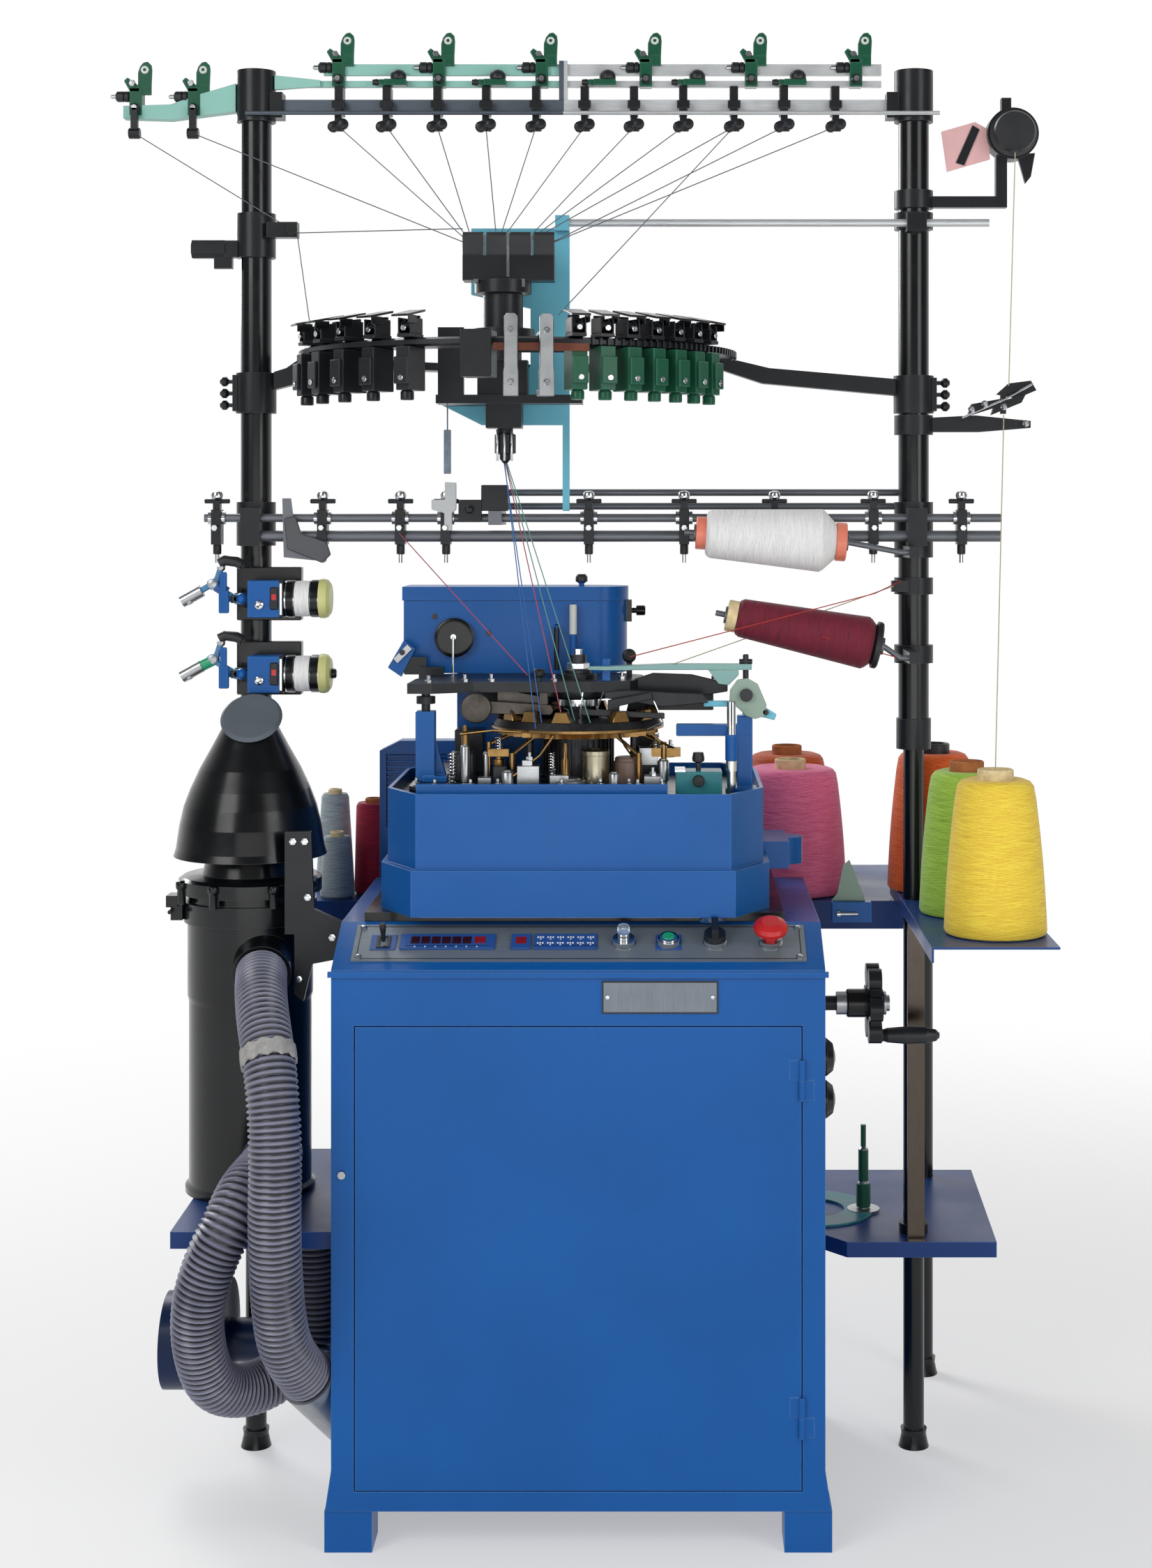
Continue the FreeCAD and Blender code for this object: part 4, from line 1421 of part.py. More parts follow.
def make_creel_trays():
    """Left tray, right lower tray, right upper tray and rear shelf."""
    left = pan([(-531, -287), (-SIDE_X, -287), (-SIDE_X, 110), (-531, 110)], LEFT_TRAY_Z, TRAY_T)
    low = pan([(SIDE_X, 60), (372, 0), (585, 0), (597, 365), (SIDE_X, 365)], RIGHT_TRAY_Z, TRAY_T)
    high = block(UPPER_TRAY_X, 619, -330, 215, UPPER_TRAY_Z - TRAY_SHEET, UPPER_TRAY_Z)
    lip = block(UPPER_TRAY_X, UPPER_TRAY_X + TRAY_SHEET, -330, 215, UPPER_TRAY_Z - 20,
                UPPER_TRAY_Z - TRAY_SHEET)
    shelf = pan([(-430, REAR_Y), (560, REAR_Y), (560, 540), (200, 540), (200, 330), (-430, 330)], SHELF_Z, 42)
    stand = block(500, 540, REAR_Y + 5, REAR_Y + 25, SHELF_Z, UPPER_TRAY_Z - TRAY_SHEET)
    hole = rod((POLE_RIGHT, POLE_Y, RIGHT_TRAY_Z - 60), (POLE_RIGHT, POLE_Y, UPPER_TRAY_Z + 20), LEG_R + FIT)
    rear_hole = rod((*REAR_LEG, RIGHT_TRAY_Z - 60), (*REAR_LEG, RIGHT_TRAY_Z + 10), LEG_R + FIT)
    low = low.cut(hole).cut(rear_hole)
    high = joined(high, lip).cut(hole)
    return group(left, low, high, joined(shelf, stand))


# ---- cones of yarn -----------------------------------------------------------------------------------------
CONES = {
    "cone_yellow": [(550, -230, UPPER_TRAY_Z, 68, 44, 206)],
    "cone_green": [(533, -70, UPPER_TRAY_Z, 66, 44, 200)],
    "cones_orange": [(511, 140, UPPER_TRAY_Z, 68, 46, 204), (310, 446, SHELF_Z, 84, 60, 196)],
    "cone_pink": [(306, 272, SHELF_Z, 86, 72, 192)],
    "cones_grey": [(-397, 286, SHELF_Z, 30, 21, 150), (-384, 214, SHELF_Z, 26, 21, 94)],
}
CRIMSON = (-333, 254, SHELF_Z, 30, 27, 140)


def upright_cone(x, y, z, base_r, top_r, height):
    profile = [(0, 0), (base_r - 5, 0), (base_r, 6), (top_r + 3, height - 9), (top_r - 6, height),
               (0, height)]
    return turned(profile, (x, y, z))


def lying_cone(axis, wide, narrow, shoulder):
    """A cone on a spindle, its wide end at the start of the axis."""
    start, end = axis
    length = (V(*end) - V(*start)).Length
    profile = [(0, 0), (wide - shoulder, 0), (wide, shoulder), (narrow + 1, length - 4), (narrow - 4, length),
               (0, length)]
    way = V(*end) - V(*start)
    return turned(profile, start, (way.x, way.y, way.z))


def make_white_cone():
    return lying_cone(WHITE_AXIS, 44, 34, 22)


def make_red_cones():
    return group(lying_cone(MAROON_AXIS, 37, 27, 8), upright_cone(*CRIMSON))


def make_cone_tubes():
    """Ends of the paper tubes that stand out of the cones."""
    tubes = []
    for places in list(CONES.values()) + [[CRIMSON]]:
        for x, y, z, base_r, top_r, height in places:
            radius = min(PAPER_R, top_r * 0.5)
            tubes.append(tube((x, y, z + height), (x, y, z + height + PAPER_OUT), radius, radius - 5))
    for start, end in (WHITE_AXIS, MAROON_AXIS):
        tubes.append(rod(along(start, end, -PAPER_OUT), start, PAPER_R - 2))
        tubes.append(rod(end, along(end, start, -PAPER_OUT), PAPER_R - 2))
    return group(*tubes)


# ---- yarn --------------------------------------------------------------------------------------------------
def guide_point(x):
    return (x, POLE_Y - 14, BAR_Z - 23)


def strand_ends():
    """Start and end of every yarn that is pulled straight."""
    pads = [(COLUMN_X - 40 + 33 * i, COLUMN_Y - 20, BASE_Z + 220) for i in range(PADS)]
    ends = []
    for i, x in enumerate(BLACK_GUIDES_X):
        ends.append((guide_point(x), pads[i * PADS // len(BLACK_GUIDES_X)]))
    for i, x in enumerate(ARM_UNITS_X):
        ends.append(((x, POLE_Y - 17, BAR_Z - 33), pads[0]))
    for offset, x, y in ((-1.8, AXIS_X - 45, AXIS_Y - 98), (0, AXIS_X - 15, AXIS_Y - 106),
                         (1.8, AXIS_X + 22, AXIS_Y - 104)):
        ends.append(((COLUMN_X + 3 + offset, COLUMN_Y, BASE_Z - 81), (x, y, CYLINDER_TOP + 8)))
    return ends


def make_yarn_strands(obstacles):
    """Straight yarns, cut back where they meet what holds them."""
    strands = []
    for start, end in strand_ends():
        strand = facet_rod(start, end, YARN_R, 4)
        for obstacle in obstacles:
            if strand.BoundBox.intersect(obstacle.BoundBox):
                strand = strand.cut(obstacle)
        strands.append(strand)
    return group(*strands)


# ---- every sub-part ----------------------------------------------------------------------------------------
def make_parts():
    parts = {
        "cabinet_shell": make_cabinet_shell(),
        "cabinet_feet": make_cabinet_feet(),
        "cabinet_fittings": make_cabinet_fittings(),
        "fascia_plate": make_fascia_plate(),
        "keypad_panels": make_keypad_panels(),
        "deck_plates": make_deck_plates(),
        "tub": make_tub(),
        "gearbox_housing": make_gearbox_housing(),
        "dial_arm": make_dial_arm(),
        "head_posts": make_head_posts(),
        "head_levers": make_head_levers(),
        "head_blocks": make_head_blocks(),
        "cam_ring": make_cam_ring(),
        "brass_fingers": make_brass_fingers(),
        "drive_motor": make_drive_motor(),
        "drive_belt": make_drive_belt(),
        "creel_poles": make_creel_poles(),
        "pole_clamps": make_pole_clamps(),
        "creel_rails": make_creel_rails(),
        "teal_rails": make_teal_rails(),
        "top_guides": make_top_guides(),
        "mid_guides": make_mid_guides(),
        "carrier_ring": make_carrier_ring(),
        "ring_units": make_ring_units(),
        "ring_bracket": make_ring_bracket(),
        "distribution_head": make_distribution_head(),
        "feeder_frames": make_feeder_frames(),
        "canister_body": make_canister_body(),
        "canister_lid": make_canister_lid(),
        "canister_bell": make_canister_bell(),
        "suction_blower": make_blower(),
        "hose_to_cabinet": hose(HOSE_ONE, "hose_to_cabinet"),
        "hose_loop": hose(HOSE_TWO, "hose_loop"),
        "creel_trays": make_creel_trays(),
        "cone_white": make_white_cone(),
        "cones_red": make_red_cones(),
        "cone_tubes": make_cone_tubes(),
        "door": make_door(),
        "toggle_lever": make_toggle_lever(),
        "push_button": make_push_button(),
        "start_button": make_start_button(),
        "selector_knob": make_selector_knob(),
        "stop_button": make_stop_button(),
        "gearbox_lid": make_gearbox_lid(),
        "needle_cylinder": make_needle_cylinder(),
        "dial": make_dial(),
        "handwheel": make_handwheel(),
        "crank_handle": make_crank_handle(),
        "motor_pulley": make_motor_pulley(),
        "feeder_drum_upper": feeder_drum(FEEDER_Z[0]),
        "feeder_drum_lower": feeder_drum(FEEDER_Z[1]),
        "feeder_drum_right": make_right_drum(),
        "tension_arm_upper": tension_arm(FEEDER_Z[0]),
        "tension_arm_lower": tension_arm(FEEDER_Z[1]),
    }
    for name, places in CONES.items():
        parts[name] = group(*[upright_cone(*place) for place in places])
    obstacles = [parts[name] for name in ("top_guides", "distribution_head", "ring_units", "carrier_ring",
                                          "ring_bracket", "cam_ring", "brass_fingers", "dial_arm", "mid_guides")]
    parts["yarn_strands"] = make_yarn_strands(obstacles)
    return parts


def main():
    os.makedirs("parts", exist_ok=True)
    for name, shape in make_parts().items():
        shape.translate(V(0, -BOLT_MID_Y, 0))
        shape.exportStep(os.path.join("parts", name + ".step"))


main()
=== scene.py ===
import math

import bmesh
import bpy
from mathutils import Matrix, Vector


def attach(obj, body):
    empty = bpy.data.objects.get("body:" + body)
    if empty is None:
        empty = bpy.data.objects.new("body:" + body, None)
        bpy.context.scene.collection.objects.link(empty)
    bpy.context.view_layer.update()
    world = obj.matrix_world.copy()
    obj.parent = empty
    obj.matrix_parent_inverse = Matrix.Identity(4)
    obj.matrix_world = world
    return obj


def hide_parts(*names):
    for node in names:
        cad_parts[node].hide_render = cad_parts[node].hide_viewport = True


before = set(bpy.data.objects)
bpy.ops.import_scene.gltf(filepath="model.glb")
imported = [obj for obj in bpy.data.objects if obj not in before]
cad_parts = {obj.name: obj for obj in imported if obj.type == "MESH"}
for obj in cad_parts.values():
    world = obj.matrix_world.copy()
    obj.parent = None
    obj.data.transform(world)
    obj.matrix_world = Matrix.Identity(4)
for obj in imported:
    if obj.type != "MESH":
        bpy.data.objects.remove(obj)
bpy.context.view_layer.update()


# ---- room ----
# A plain studio: the camera stands 3.2 m in front of the machine at chest height, on a pale floor that fades
# to white. Large soft lamps light the front, and one behind draws pale edges on the black enamel.
CAMERA_PLACE = (0.109, -3.240, 1.343)
CAMERA_LENS = 53.21
CAMERA_SHIFT = (-0.0551, -0.171)
FLOOR_SIZE = 30
FLOOR_FADE = (1.0, 3.2)      # metres from the machine over which the floor turns white
FLOOR_GLOW = 0.4             # how much of the white background the floor shows near the object
LAMPS = (                    # place, aimed at, width and height, watts
    ((-2.6, -3.4, 3.0), (0, 0, 0.9), (2.2, 2.2), 70),
    ((2.9, -3.0, 2.2), (0, 0, 1.0), (1.6, 2.6), 42),
    ((0.2, -3.6, 0.9), (0, 0, 0.6), (3.0, 1.2), 20),
    ((-1.6, 2.2, 2.9), (0, 0, 1.2), (1.2, 2.4), 60),
)
DAYLIGHT = 0.36              # what the room itself gives
ROOM_SHINE = 0.16            # how bright the dim end of the room, behind the camera, shows in paint and metal


def add(tree, kind, inputs=None, **settings):
    """Adds a node with its settings. An input that is a socket is linked, and any other is its value."""
    node = tree.nodes.new(kind)
    for key, value in settings.items():
        setattr(node, key, value)
    for key, value in (inputs or {}).items():
        if isinstance(value, bpy.types.NodeSocket):
            tree.links.new(value, node.inputs[key])
        else:
            node.inputs[key].default_value = value
    return node


def hex_colour(code):
    """The linear colour of an sRGB hex code."""
    parts = [int(code[i:i + 2], 16) / 255 for i in (0, 2, 4)]
    return [c / 12.92 if c <= 0.04045 else ((c + 0.055) / 1.055) ** 2.4 for c in parts] + [1]


def show(name, data):
    """Puts a mesh, curve, lamp or camera into the scene as an object at the origin."""
    thing = bpy.data.objects.new(name, data)
    bpy.context.scene.collection.objects.link(thing)
    return thing


scene = bpy.context.scene
scene.view_settings.view_transform = "Standard"
camera = show("camera", bpy.data.cameras.new("camera"))
camera.location = CAMERA_PLACE
camera.rotation_euler = (math.radians(90), 0, 0)
camera.data.lens = CAMERA_LENS
camera.data.shift_x, camera.data.shift_y = CAMERA_SHIFT
scene.camera = camera

for number, (place, target, size, watts) in enumerate(LAMPS):
    lamp = show("lamp_%d" % number, bpy.data.lights.new("lamp_%d" % number, "AREA"))
    lamp.data.shape = "RECTANGLE"
    lamp.data.size, lamp.data.size_y = size
    lamp.data.energy = watts
    lamp.location = place
    lamp.rotation_euler = (Vector(target) - Vector(place)).to_track_quat("-Z", "Y").to_euler()

world = bpy.data.worlds.new("studio")
world.use_nodes = True
scene.world = world
sky = world.node_tree
ray = add(sky, "ShaderNodeLightPath").outputs
seen = add(sky, "ShaderNodeMath", {0: ray["Is Camera Ray"], 1: ray["Is Transmission Ray"]}, operation="MAXIMUM")
way = add(sky, "ShaderNodeTexCoord").outputs["Generated"]
behind = add(sky, "ShaderNodeSeparateXYZ", {"Vector": way}).outputs["Y"]
mirrored = add(sky, "ShaderNodeMapRange", {"Value": behind, "From Min": -0.1, "From Max": 0.75,
                                           "To Min": ROOM_SHINE, "To Max": 1.0},
               interpolation_type="SMOOTHSTEP").outputs["Result"]
mirrored = add(sky, "ShaderNodeMath", {0: mirrored, 1: ray["Is Glossy Ray"]}, operation="MULTIPLY")
seen = add(sky, "ShaderNodeMath", {0: seen.outputs[0], 1: mirrored.outputs[0]}, operation="MAXIMUM")
level = add(sky, "ShaderNodeMath", {0: ray["Is Glossy Ray"], 1: -1.0, 2: 1.0}, operation="MULTIPLY_ADD")
level = add(sky, "ShaderNodeMath", {0: level.outputs[0], 1: DAYLIGHT}, operation="MULTIPLY")
power = add(sky, "ShaderNodeMath", {0: seen.outputs[0], 1: level.outputs[0]}, operation="MAXIMUM")
backdrop = sky.nodes["Background"]
backdrop.inputs["Color"].default_value = (1, 1, 1, 1)
sky.links.new(power.outputs[0], backdrop.inputs["Strength"])

floor_mesh = bpy.data.meshes.new("floor")
half = FLOOR_SIZE / 2
floor_mesh.from_pydata([(-half, -half, 0), (half, -half, 0), (half, half, 0), (-half, half, 0)], [], [(0, 1, 2, 3)])
floor = show("floor", floor_mesh)
floor_paint = bpy.data.materials.new("white_studio_floor")
floor_paint.use_nodes = True
tree = floor_paint.node_tree
where = add(tree, "ShaderNodeTexCoord").outputs["Object"]
away = add(tree, "ShaderNodeVectorMath", {0: where}, operation="LENGTH").outputs["Value"]
fade = add(tree, "ShaderNodeMapRange", {"Value": away, "From Min": FLOOR_FADE[0], "From Max": FLOOR_FADE[1],
                                        "To Min": FLOOR_GLOW}, interpolation_type="SMOOTHSTEP").outputs["Result"]
ray = add(tree, "ShaderNodeLightPath").outputs
seen = add(tree, "ShaderNodeMath", {0: ray["Is Camera Ray"], 1: ray["Is Glossy Ray"]}, operation="MAXIMUM")
white = add(tree, "ShaderNodeMath", {0: seen.outputs[0], 1: fade}, operation="MULTIPLY").outputs[0]
glow = add(tree, "ShaderNodeEmission", {"Color": (1, 1, 1, 1), "Strength": 1.0})
shader = tree.nodes["Principled BSDF"]
shader.inputs["Base Color"].default_value = hex_colour("F4F4F4")
shader.inputs["Roughness"].default_value = 0.9
mixed = add(tree, "ShaderNodeMixShader", {0: white, 1: shader.outputs[0], 2: glow.outputs[0]})
tree.links.new(mixed.outputs[0], tree.nodes["Material Output"].inputs["Surface"])
floor_mesh.materials.append(floor_paint)


# ---- suction hoses ----
# Two grey PVC hoses with a wire helix moulded in, 69 mm across the ribs. One runs from the canister down to the
# port in the cabinet's side, and the other hangs in a loop between the tray and the blower, and comes back up.
HOSE_ACROSS = 69
RIB_PITCH = 7.8
RIB_DEPTH = 4.2
HOSE_SIDES = 26
RINGS_PER_RIB = 4
HOSE_ROUTES = {      # control points in millimetres, as the drawing has them
    "hose_to_cabinet": ((-429, -190, 728), (-419, -262, 712), (-391, -344, 640), (-380, -368, 548),
                        (-382, -370, 440), (-381, -352, 336), (-374, -322, 262), (-353.5, -282, 222)),
    "hose_loop": ((-424, -172, 470), (-428, -240, 470), (-434, -300, 468), (-448, -334, 434), (-472, -338, 384),
                  (-487, -332, 330), (-489, -316, 272), (-478, -286, 212), (-446, -246, 188), (-408, -206, 190),
                  (-376, -176, 214), (-362, -168, 262), (-362, -168, 368)),
}


def at(x, y, z):
    """A point of the drawing, in millimetres, as metres in the frame, whose origin is between the floor bolts."""
    return Vector((x, y + 60, z)) / 1000


def new_finish(name):
    """A material with its node tree, its shader and its Object coordinates."""
    finish = bpy.data.materials.new(name)
    finish.use_nodes = True
    tree = finish.node_tree
    where = add(tree, "ShaderNodeTexCoord").outputs["Object"]
    return finish, tree, tree.nodes["Principled BSDF"], where


def blended(tree, share, first, second):
    """One colour running into another."""
    return add(tree, "ShaderNodeMix", {"Factor": share, 6: first, 7: second}, data_type="RGBA").outputs[2]


def varied(tree, where, scale, shades, low=0.35, high=0.65, detail=3):
    """A colour that drifts between two shades in soft clouds, scale to the metre."""
    cloud = add(tree, "ShaderNodeTexNoise", {"Vector": where, "Scale": scale, "Detail": detail})
    share = add(tree, "ShaderNodeMapRange", {"Value": cloud.outputs["Fac"], "From Min": low, "From Max": high})
    return blended(tree, share.outputs["Result"], *shades)


def rough_between(tree, shader, where, scale, low, high):
    """Roughness that wanders between two values, as handling and dust leave it."""
    cloud = add(tree, "ShaderNodeTexNoise", {"Vector": where, "Scale": scale, "Detail": 4})
    share = add(tree, "ShaderNodeMapRange", {"Value": cloud.outputs["Fac"], "From Min": 0.3, "From Max": 0.7,
                                             "To Min": low, "To Max": high})
    tree.links.new(share.outputs["Result"], shader.inputs["Roughness"])


def raised(tree, shader, height, distance, strength=1.0, normal=None):
    """Raises the surface by a height pattern, distance in metres."""
    inputs = {"Height": height, "Distance": distance, "Strength": strength}
    if normal is not None:
        inputs["Normal"] = normal
    bump = add(tree, "ShaderNodeBump", inputs)
    tree.links.new(bump.outputs["Normal"], shader.inputs["Normal"])


def new_growth(name, sizes):
    """A Geometry Nodes tree with named inputs, and the outputs of its input node."""
    tree = bpy.data.node_groups.new(name, "GeometryNodeTree")
    tree.interface.new_socket("Geometry", in_out="INPUT", socket_type="NodeSocketGeometry")
    for size, kind in sizes.items():
        tree.interface.new_socket(size, in_out="INPUT", socket_type="NodeSocket" + kind)
    tree.interface.new_socket("Geometry", in_out="OUTPUT", socket_type="NodeSocketGeometry")
    return tree, add(tree, "NodeGroupInput").outputs


def end_growth(tree, geometry, finish):
    """Ends a tree: real meshes in place of instances, with their material."""
    real = add(tree, "GeometryNodeRealizeInstances", {"Geometry": geometry})
    painted = add(tree, "GeometryNodeSetMaterial", {"Geometry": real.outputs[0], "Material": finish})
    add(tree, "NodeGroupOutput", {"Geometry": painted.outputs[0]})


def grow(name, source, tree, sizes):
    """Runs a tree on a mesh and returns what grows as a plain mesh object."""
    seed = show(name + "_seed", source)
    growth = seed.modifiers.new("growth", "NODES")
    growth.node_group = tree
    for item in tree.interface.items_tree:
        if item.in_out == "INPUT" and item.name in sizes:
            growth[item.identifier] = sizes[item.name]
    grown = seed.evaluated_get(bpy.context.evaluated_depsgraph_get())
    mesh = bpy.data.meshes.new_from_object(grown)
    seed.modifiers.remove(growth)
    bpy.data.objects.remove(seed)
    return show(name, mesh)


hose_tree, size = new_growth("ribbed hose", {"Across": "Float", "Pitch": "Float", "Depth": "Float",
                                             "Sides": "Int", "Rings": "Int", "Material": "Material"})
line = add(hose_tree, "GeometryNodeMeshToCurve", {"Mesh": size["Geometry"]})
step = add(hose_tree, "ShaderNodeMath", {0: size["Pitch"], 1: size["Rings"]}, operation="DIVIDE")
line = add(hose_tree, "GeometryNodeResampleCurve", {"Curve": line.outputs[0], "Length": step.outputs[0]},
           mode="LENGTH")
along = add(hose_tree, "GeometryNodeSplineParameter").outputs["Length"]
turn = add(hose_tree, "ShaderNodeMath", {0: along, 1: size["Pitch"]}, operation="DIVIDE")
turn = add(hose_tree, "ShaderNodeMath", {0: turn.outputs[0], 1: 2 * math.pi}, operation="MULTIPLY")
wave = add(hose_tree, "ShaderNodeMath", {0: turn.outputs[0]}, operation="COSINE")
dip = add(hose_tree, "ShaderNodeMapRange", {"Value": wave.outputs[0], "From Min": -1.0, "From Max": 1.0,
                                            "To Min": 1.0, "To Max": 0.0})
line = add(hose_tree, "GeometryNodeStoreNamedAttribute", {
    "Geometry": line.outputs[0], "Name": "groove", "Value": dip.outputs["Result"]},
    data_type="FLOAT", domain="POINT")
dip = add(hose_tree, "ShaderNodeMath", {0: dip.outputs["Result"], 1: size["Depth"]}, operation="MULTIPLY")
radius = add(hose_tree, "ShaderNodeMath", {0: size["Across"], 1: 0.5}, operation="MULTIPLY")
radius = add(hose_tree, "ShaderNodeMath", {0: radius.outputs[0], 1: dip.outputs[0]}, operation="SUBTRACT")
ring = add(hose_tree, "GeometryNodeCurvePrimitiveCircle", {"Resolution": size["Sides"], "Radius": 1.0})
skin = add(hose_tree, "GeometryNodeCurveToMesh", {"Curve": line.outputs[0], "Profile Curve": ring.outputs[0],
                                                  "Scale": radius.outputs[0], "Fill Caps": True})
end_growth(hose_tree, skin.outputs[0], size["Material"])

hose_paths = {}
hose_pvc, tree, shader, where = new_finish("grey_pvc_hose")     # soft grey film, faintly dusty, with painted shade dark between its ribs
film = varied(tree, where, 18, (hex_colour("747688"), hex_colour("888A9D")))
groove = add(tree, "ShaderNodeAttribute", attribute_name="groove").outputs["Fac"]
# painted shade: the colour darkens towards the bottom of each groove between the ribs
groove_shade = add(tree, "ShaderNodeMapRange", {"Value": groove, "From Min": 0.15, "From Max": 0.85}).outputs["Result"]
tree.links.new(blended(tree, groove_shade, film, hex_colour("24252E")), shader.inputs["Base Color"])
rough_between(tree, shader, where, 30, 0.28, 0.42)
grain = add(tree, "ShaderNodeTexNoise", {"Vector": where, "Scale": 700, "Detail": 2})
raised(tree, shader, grain.outputs["Fac"], 0.00004)
for name, route in HOSE_ROUTES.items():
    curve = bpy.data.curves.new(name + "_route", "CURVE")
    curve.dimensions = "3D"
    spline = curve.splines.new("NURBS")
    spline.points.add(len(route) - 1)
    for point, place in zip(spline.points, route):
        point.co = (*at(*place), 1)
    spline.order_u = 3
    spline.use_endpoint_u = True
    spline.resolution_u = 24
    line = show(name + "_route", curve)
    walk = bpy.data.meshes.new_from_object(line.evaluated_get(bpy.context.evaluated_depsgraph_get()))
    path = [tuple(v.co) for v in walk.vertices]
    hose_paths[name] = path
    bpy.data.objects.remove(line)
    hose = grow("visual_" + name, walk, hose_tree, {
        "Across": HOSE_ACROSS / 1000, "Pitch": RIB_PITCH / 1000, "Depth": RIB_DEPTH / 1000,
        "Sides": HOSE_SIDES, "Rings": RINGS_PER_RIB, "Material": hose_pvc})
    hose.data.shade_smooth()
    hose.data.set_sharp_from_angle(angle=math.radians(75))
    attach(hose, "frame")
    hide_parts(name)


# ---- cabinet ----
# Folded and welded sheet steel on four box feet, with a hinged door, sprayed royal blue and stoved. The enamel
# has a slight orange peel, and draws thin and pale over the folded edges, pale partly from wear and partly as a
# painted highlight. Its fittings are brushed or chromed steel, and the creel's rails drawn aluminium.
def darker(shade, share):
    """A linear colour dimmed to a share of itself."""
    return [c * share for c in shade[:3]] + [1]


def pale_edges(tree, skin, edge_code, radius, start, full, share):
    """Draws wear and a painted highlight pale over the edges, where a rounded normal leaves the straight one.
    Returns that normal.
    """
    rounded = add(tree, "ShaderNodeBevel", {"Radius": radius}, samples=4).outputs["Normal"]
    straight = add(tree, "ShaderNodeNewGeometry").outputs["Normal"]
    same = add(tree, "ShaderNodeVectorMath", {0: rounded, 1: straight}, operation="DOT_PRODUCT").outputs["Value"]
    # the pale edge colour is partly wear and partly a painted highlight
    wear_and_highlight = add(tree, "ShaderNodeMapRange", {"Value": same, "From Min": start, "From Max": full,
                                            "To Min": 0.0, "To Max": share}).outputs["Result"]
    colour = blended(tree, wear_and_highlight, skin, hex_colour(edge_code))
    tree.links.new(colour, tree.nodes["Principled BSDF"].inputs["Base Color"])
    return rounded


def enamel(name, code, edge_code, roughness=0.30, peel=0.00005, edge_share=0.8):
    """Stoved enamel on steel: a hard gloss skin with an orange peel of about 2 mm, pale along the edges with wear
    and a painted highlight.
    """
    finish, tree, shader, where = new_finish(name)
    shade = hex_colour(code)
    skin = varied(tree, where, 5, (darker(shade, 0.90), shade))
    rounded = pale_edges(tree, skin, edge_code, 0.0018, 0.995, 0.86, edge_share)
    rough_between(tree, shader, where, 9, roughness - 0.04, roughness + 0.08)
    shader.inputs["Specular IOR Level"].default_value = 0.22
    shader.inputs["Coat Weight"].default_value = 0.07
    shader.inputs["Coat Roughness"].default_value = 0.12
    fine = add(tree, "ShaderNodeTexNoise", {"Vector": where, "Scale": 480, "Detail": 2})
    raised(tree, shader, fine.outputs["Fac"], peel, normal=rounded)
    return finish


def dress(finish, *nodes):
    """Gives CAD nodes their finish."""
    for node in nodes:
        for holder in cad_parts[node].material_slots:
            holder.material = finish


blue_enamel = enamel("royal_blue_enamel", "0F59A3", "5E8FCC")
dress(blue_enamel, "cabinet_shell", "cabinet_feet", "door", "tub", "gearbox_housing", "gearbox_lid", "head_posts",
      "feeder_frames")
navy_enamel = enamel("navy_enamel", "0A2348", "27477A")
dress(navy_enamel, "suction_blower")


def brushed(name, code, along=(1, 90, 90), roughness=0.34, scale=26, depth=0.00003):
    """Brushed or drawn steel: fine streaks along one axis, stretched by a Mapping node."""
    finish, tree, shader, where = new_finish(name)
    streak = add(tree, "ShaderNodeMapping", {"Vector": where, "Scale": along}).outputs["Vector"]
    lines = add(tree, "ShaderNodeTexNoise", {"Vector": streak, "Scale": scale, "Detail": 4, "Roughness": 0.7})
    shade = hex_colour(code)
    share = add(tree, "ShaderNodeMapRange", {"Value": lines.outputs["Fac"], "From Min": 0.35, "From Max": 0.65})
    colour = blended(tree, share.outputs["Result"], darker(shade, 0.72), shade)
    tree.links.new(colour, shader.inputs["Base Color"])
    shader.inputs["Metallic"].default_value = 1.0
    rough_between(tree, shader, where, 40, roughness - 0.06, roughness + 0.08)
    raised(tree, shader, lines.outputs["Fac"], depth)
    return finish


def bright_metal(name, code, roughness=0.16):
    """Plated or polished metal: bright, with faint smears of oil and handling."""
    finish, tree, shader, where = new_finish(name)
    shade = hex_colour(code)
    tree.links.new(varied(tree, where, 45, (darker(shade, 0.8), shade)), shader.inputs["Base Color"])
    shader.inputs["Metallic"].default_value = 1.0
    rough_between(tree, shader, where, 60, roughness - 0.05, roughness + 0.1)
    return finish


steel = brushed("brushed_stainless_steel", "B9BCBE")
chrome = bright_metal("chrome_plated_steel", "D6D9DC")
dress(steel, "cabinet_fittings", "motor_pulley")
motor_grey = enamel("grey_motor_enamel", "62686E", "8F959A", 0.42, edge_share=0.4)
dress(motor_grey, "drive_motor")
rail_metal = brushed("drawn_aluminium_rail", "DDE0E2", (1, 90, 90), 0.4, depth=0.00001)
STEEL_BELOW = 1.45           # metres: the rails above this height are aluminium, and the rods below it are steel
PAINTED_LEFT_OF = -0.033     # metres: the bar to the left of this is painted
tree = rail_metal.node_tree
tree.nodes["Principled BSDF"].inputs["Metallic"].default_value = 0.55      # a dull oxide skin
place = add(tree, "ShaderNodeSeparateXYZ", {"Vector": tree.nodes["Texture Coordinate"].outputs["Object"]}).outputs
upper = add(tree, "ShaderNodeMath", {0: place["Z"], 1: STEEL_BELOW}, operation="GREATER_THAN")
right = add(tree, "ShaderNodeMath", {0: place["X"], 1: PAINTED_LEFT_OF}, operation="GREATER_THAN")
colour = tree.nodes["Principled BSDF"].inputs["Base Color"]
rails = blended(tree, right.outputs[0], hex_colour("59626C"), colour.links[0].from_socket)
tree.links.new(blended(tree, upper.outputs[0], hex_colour("6E7278"), rails), colour)
dress(rail_metal, "creel_rails")
dress(chrome, "push_button", "feeder_drum_upper", "feeder_drum_lower")


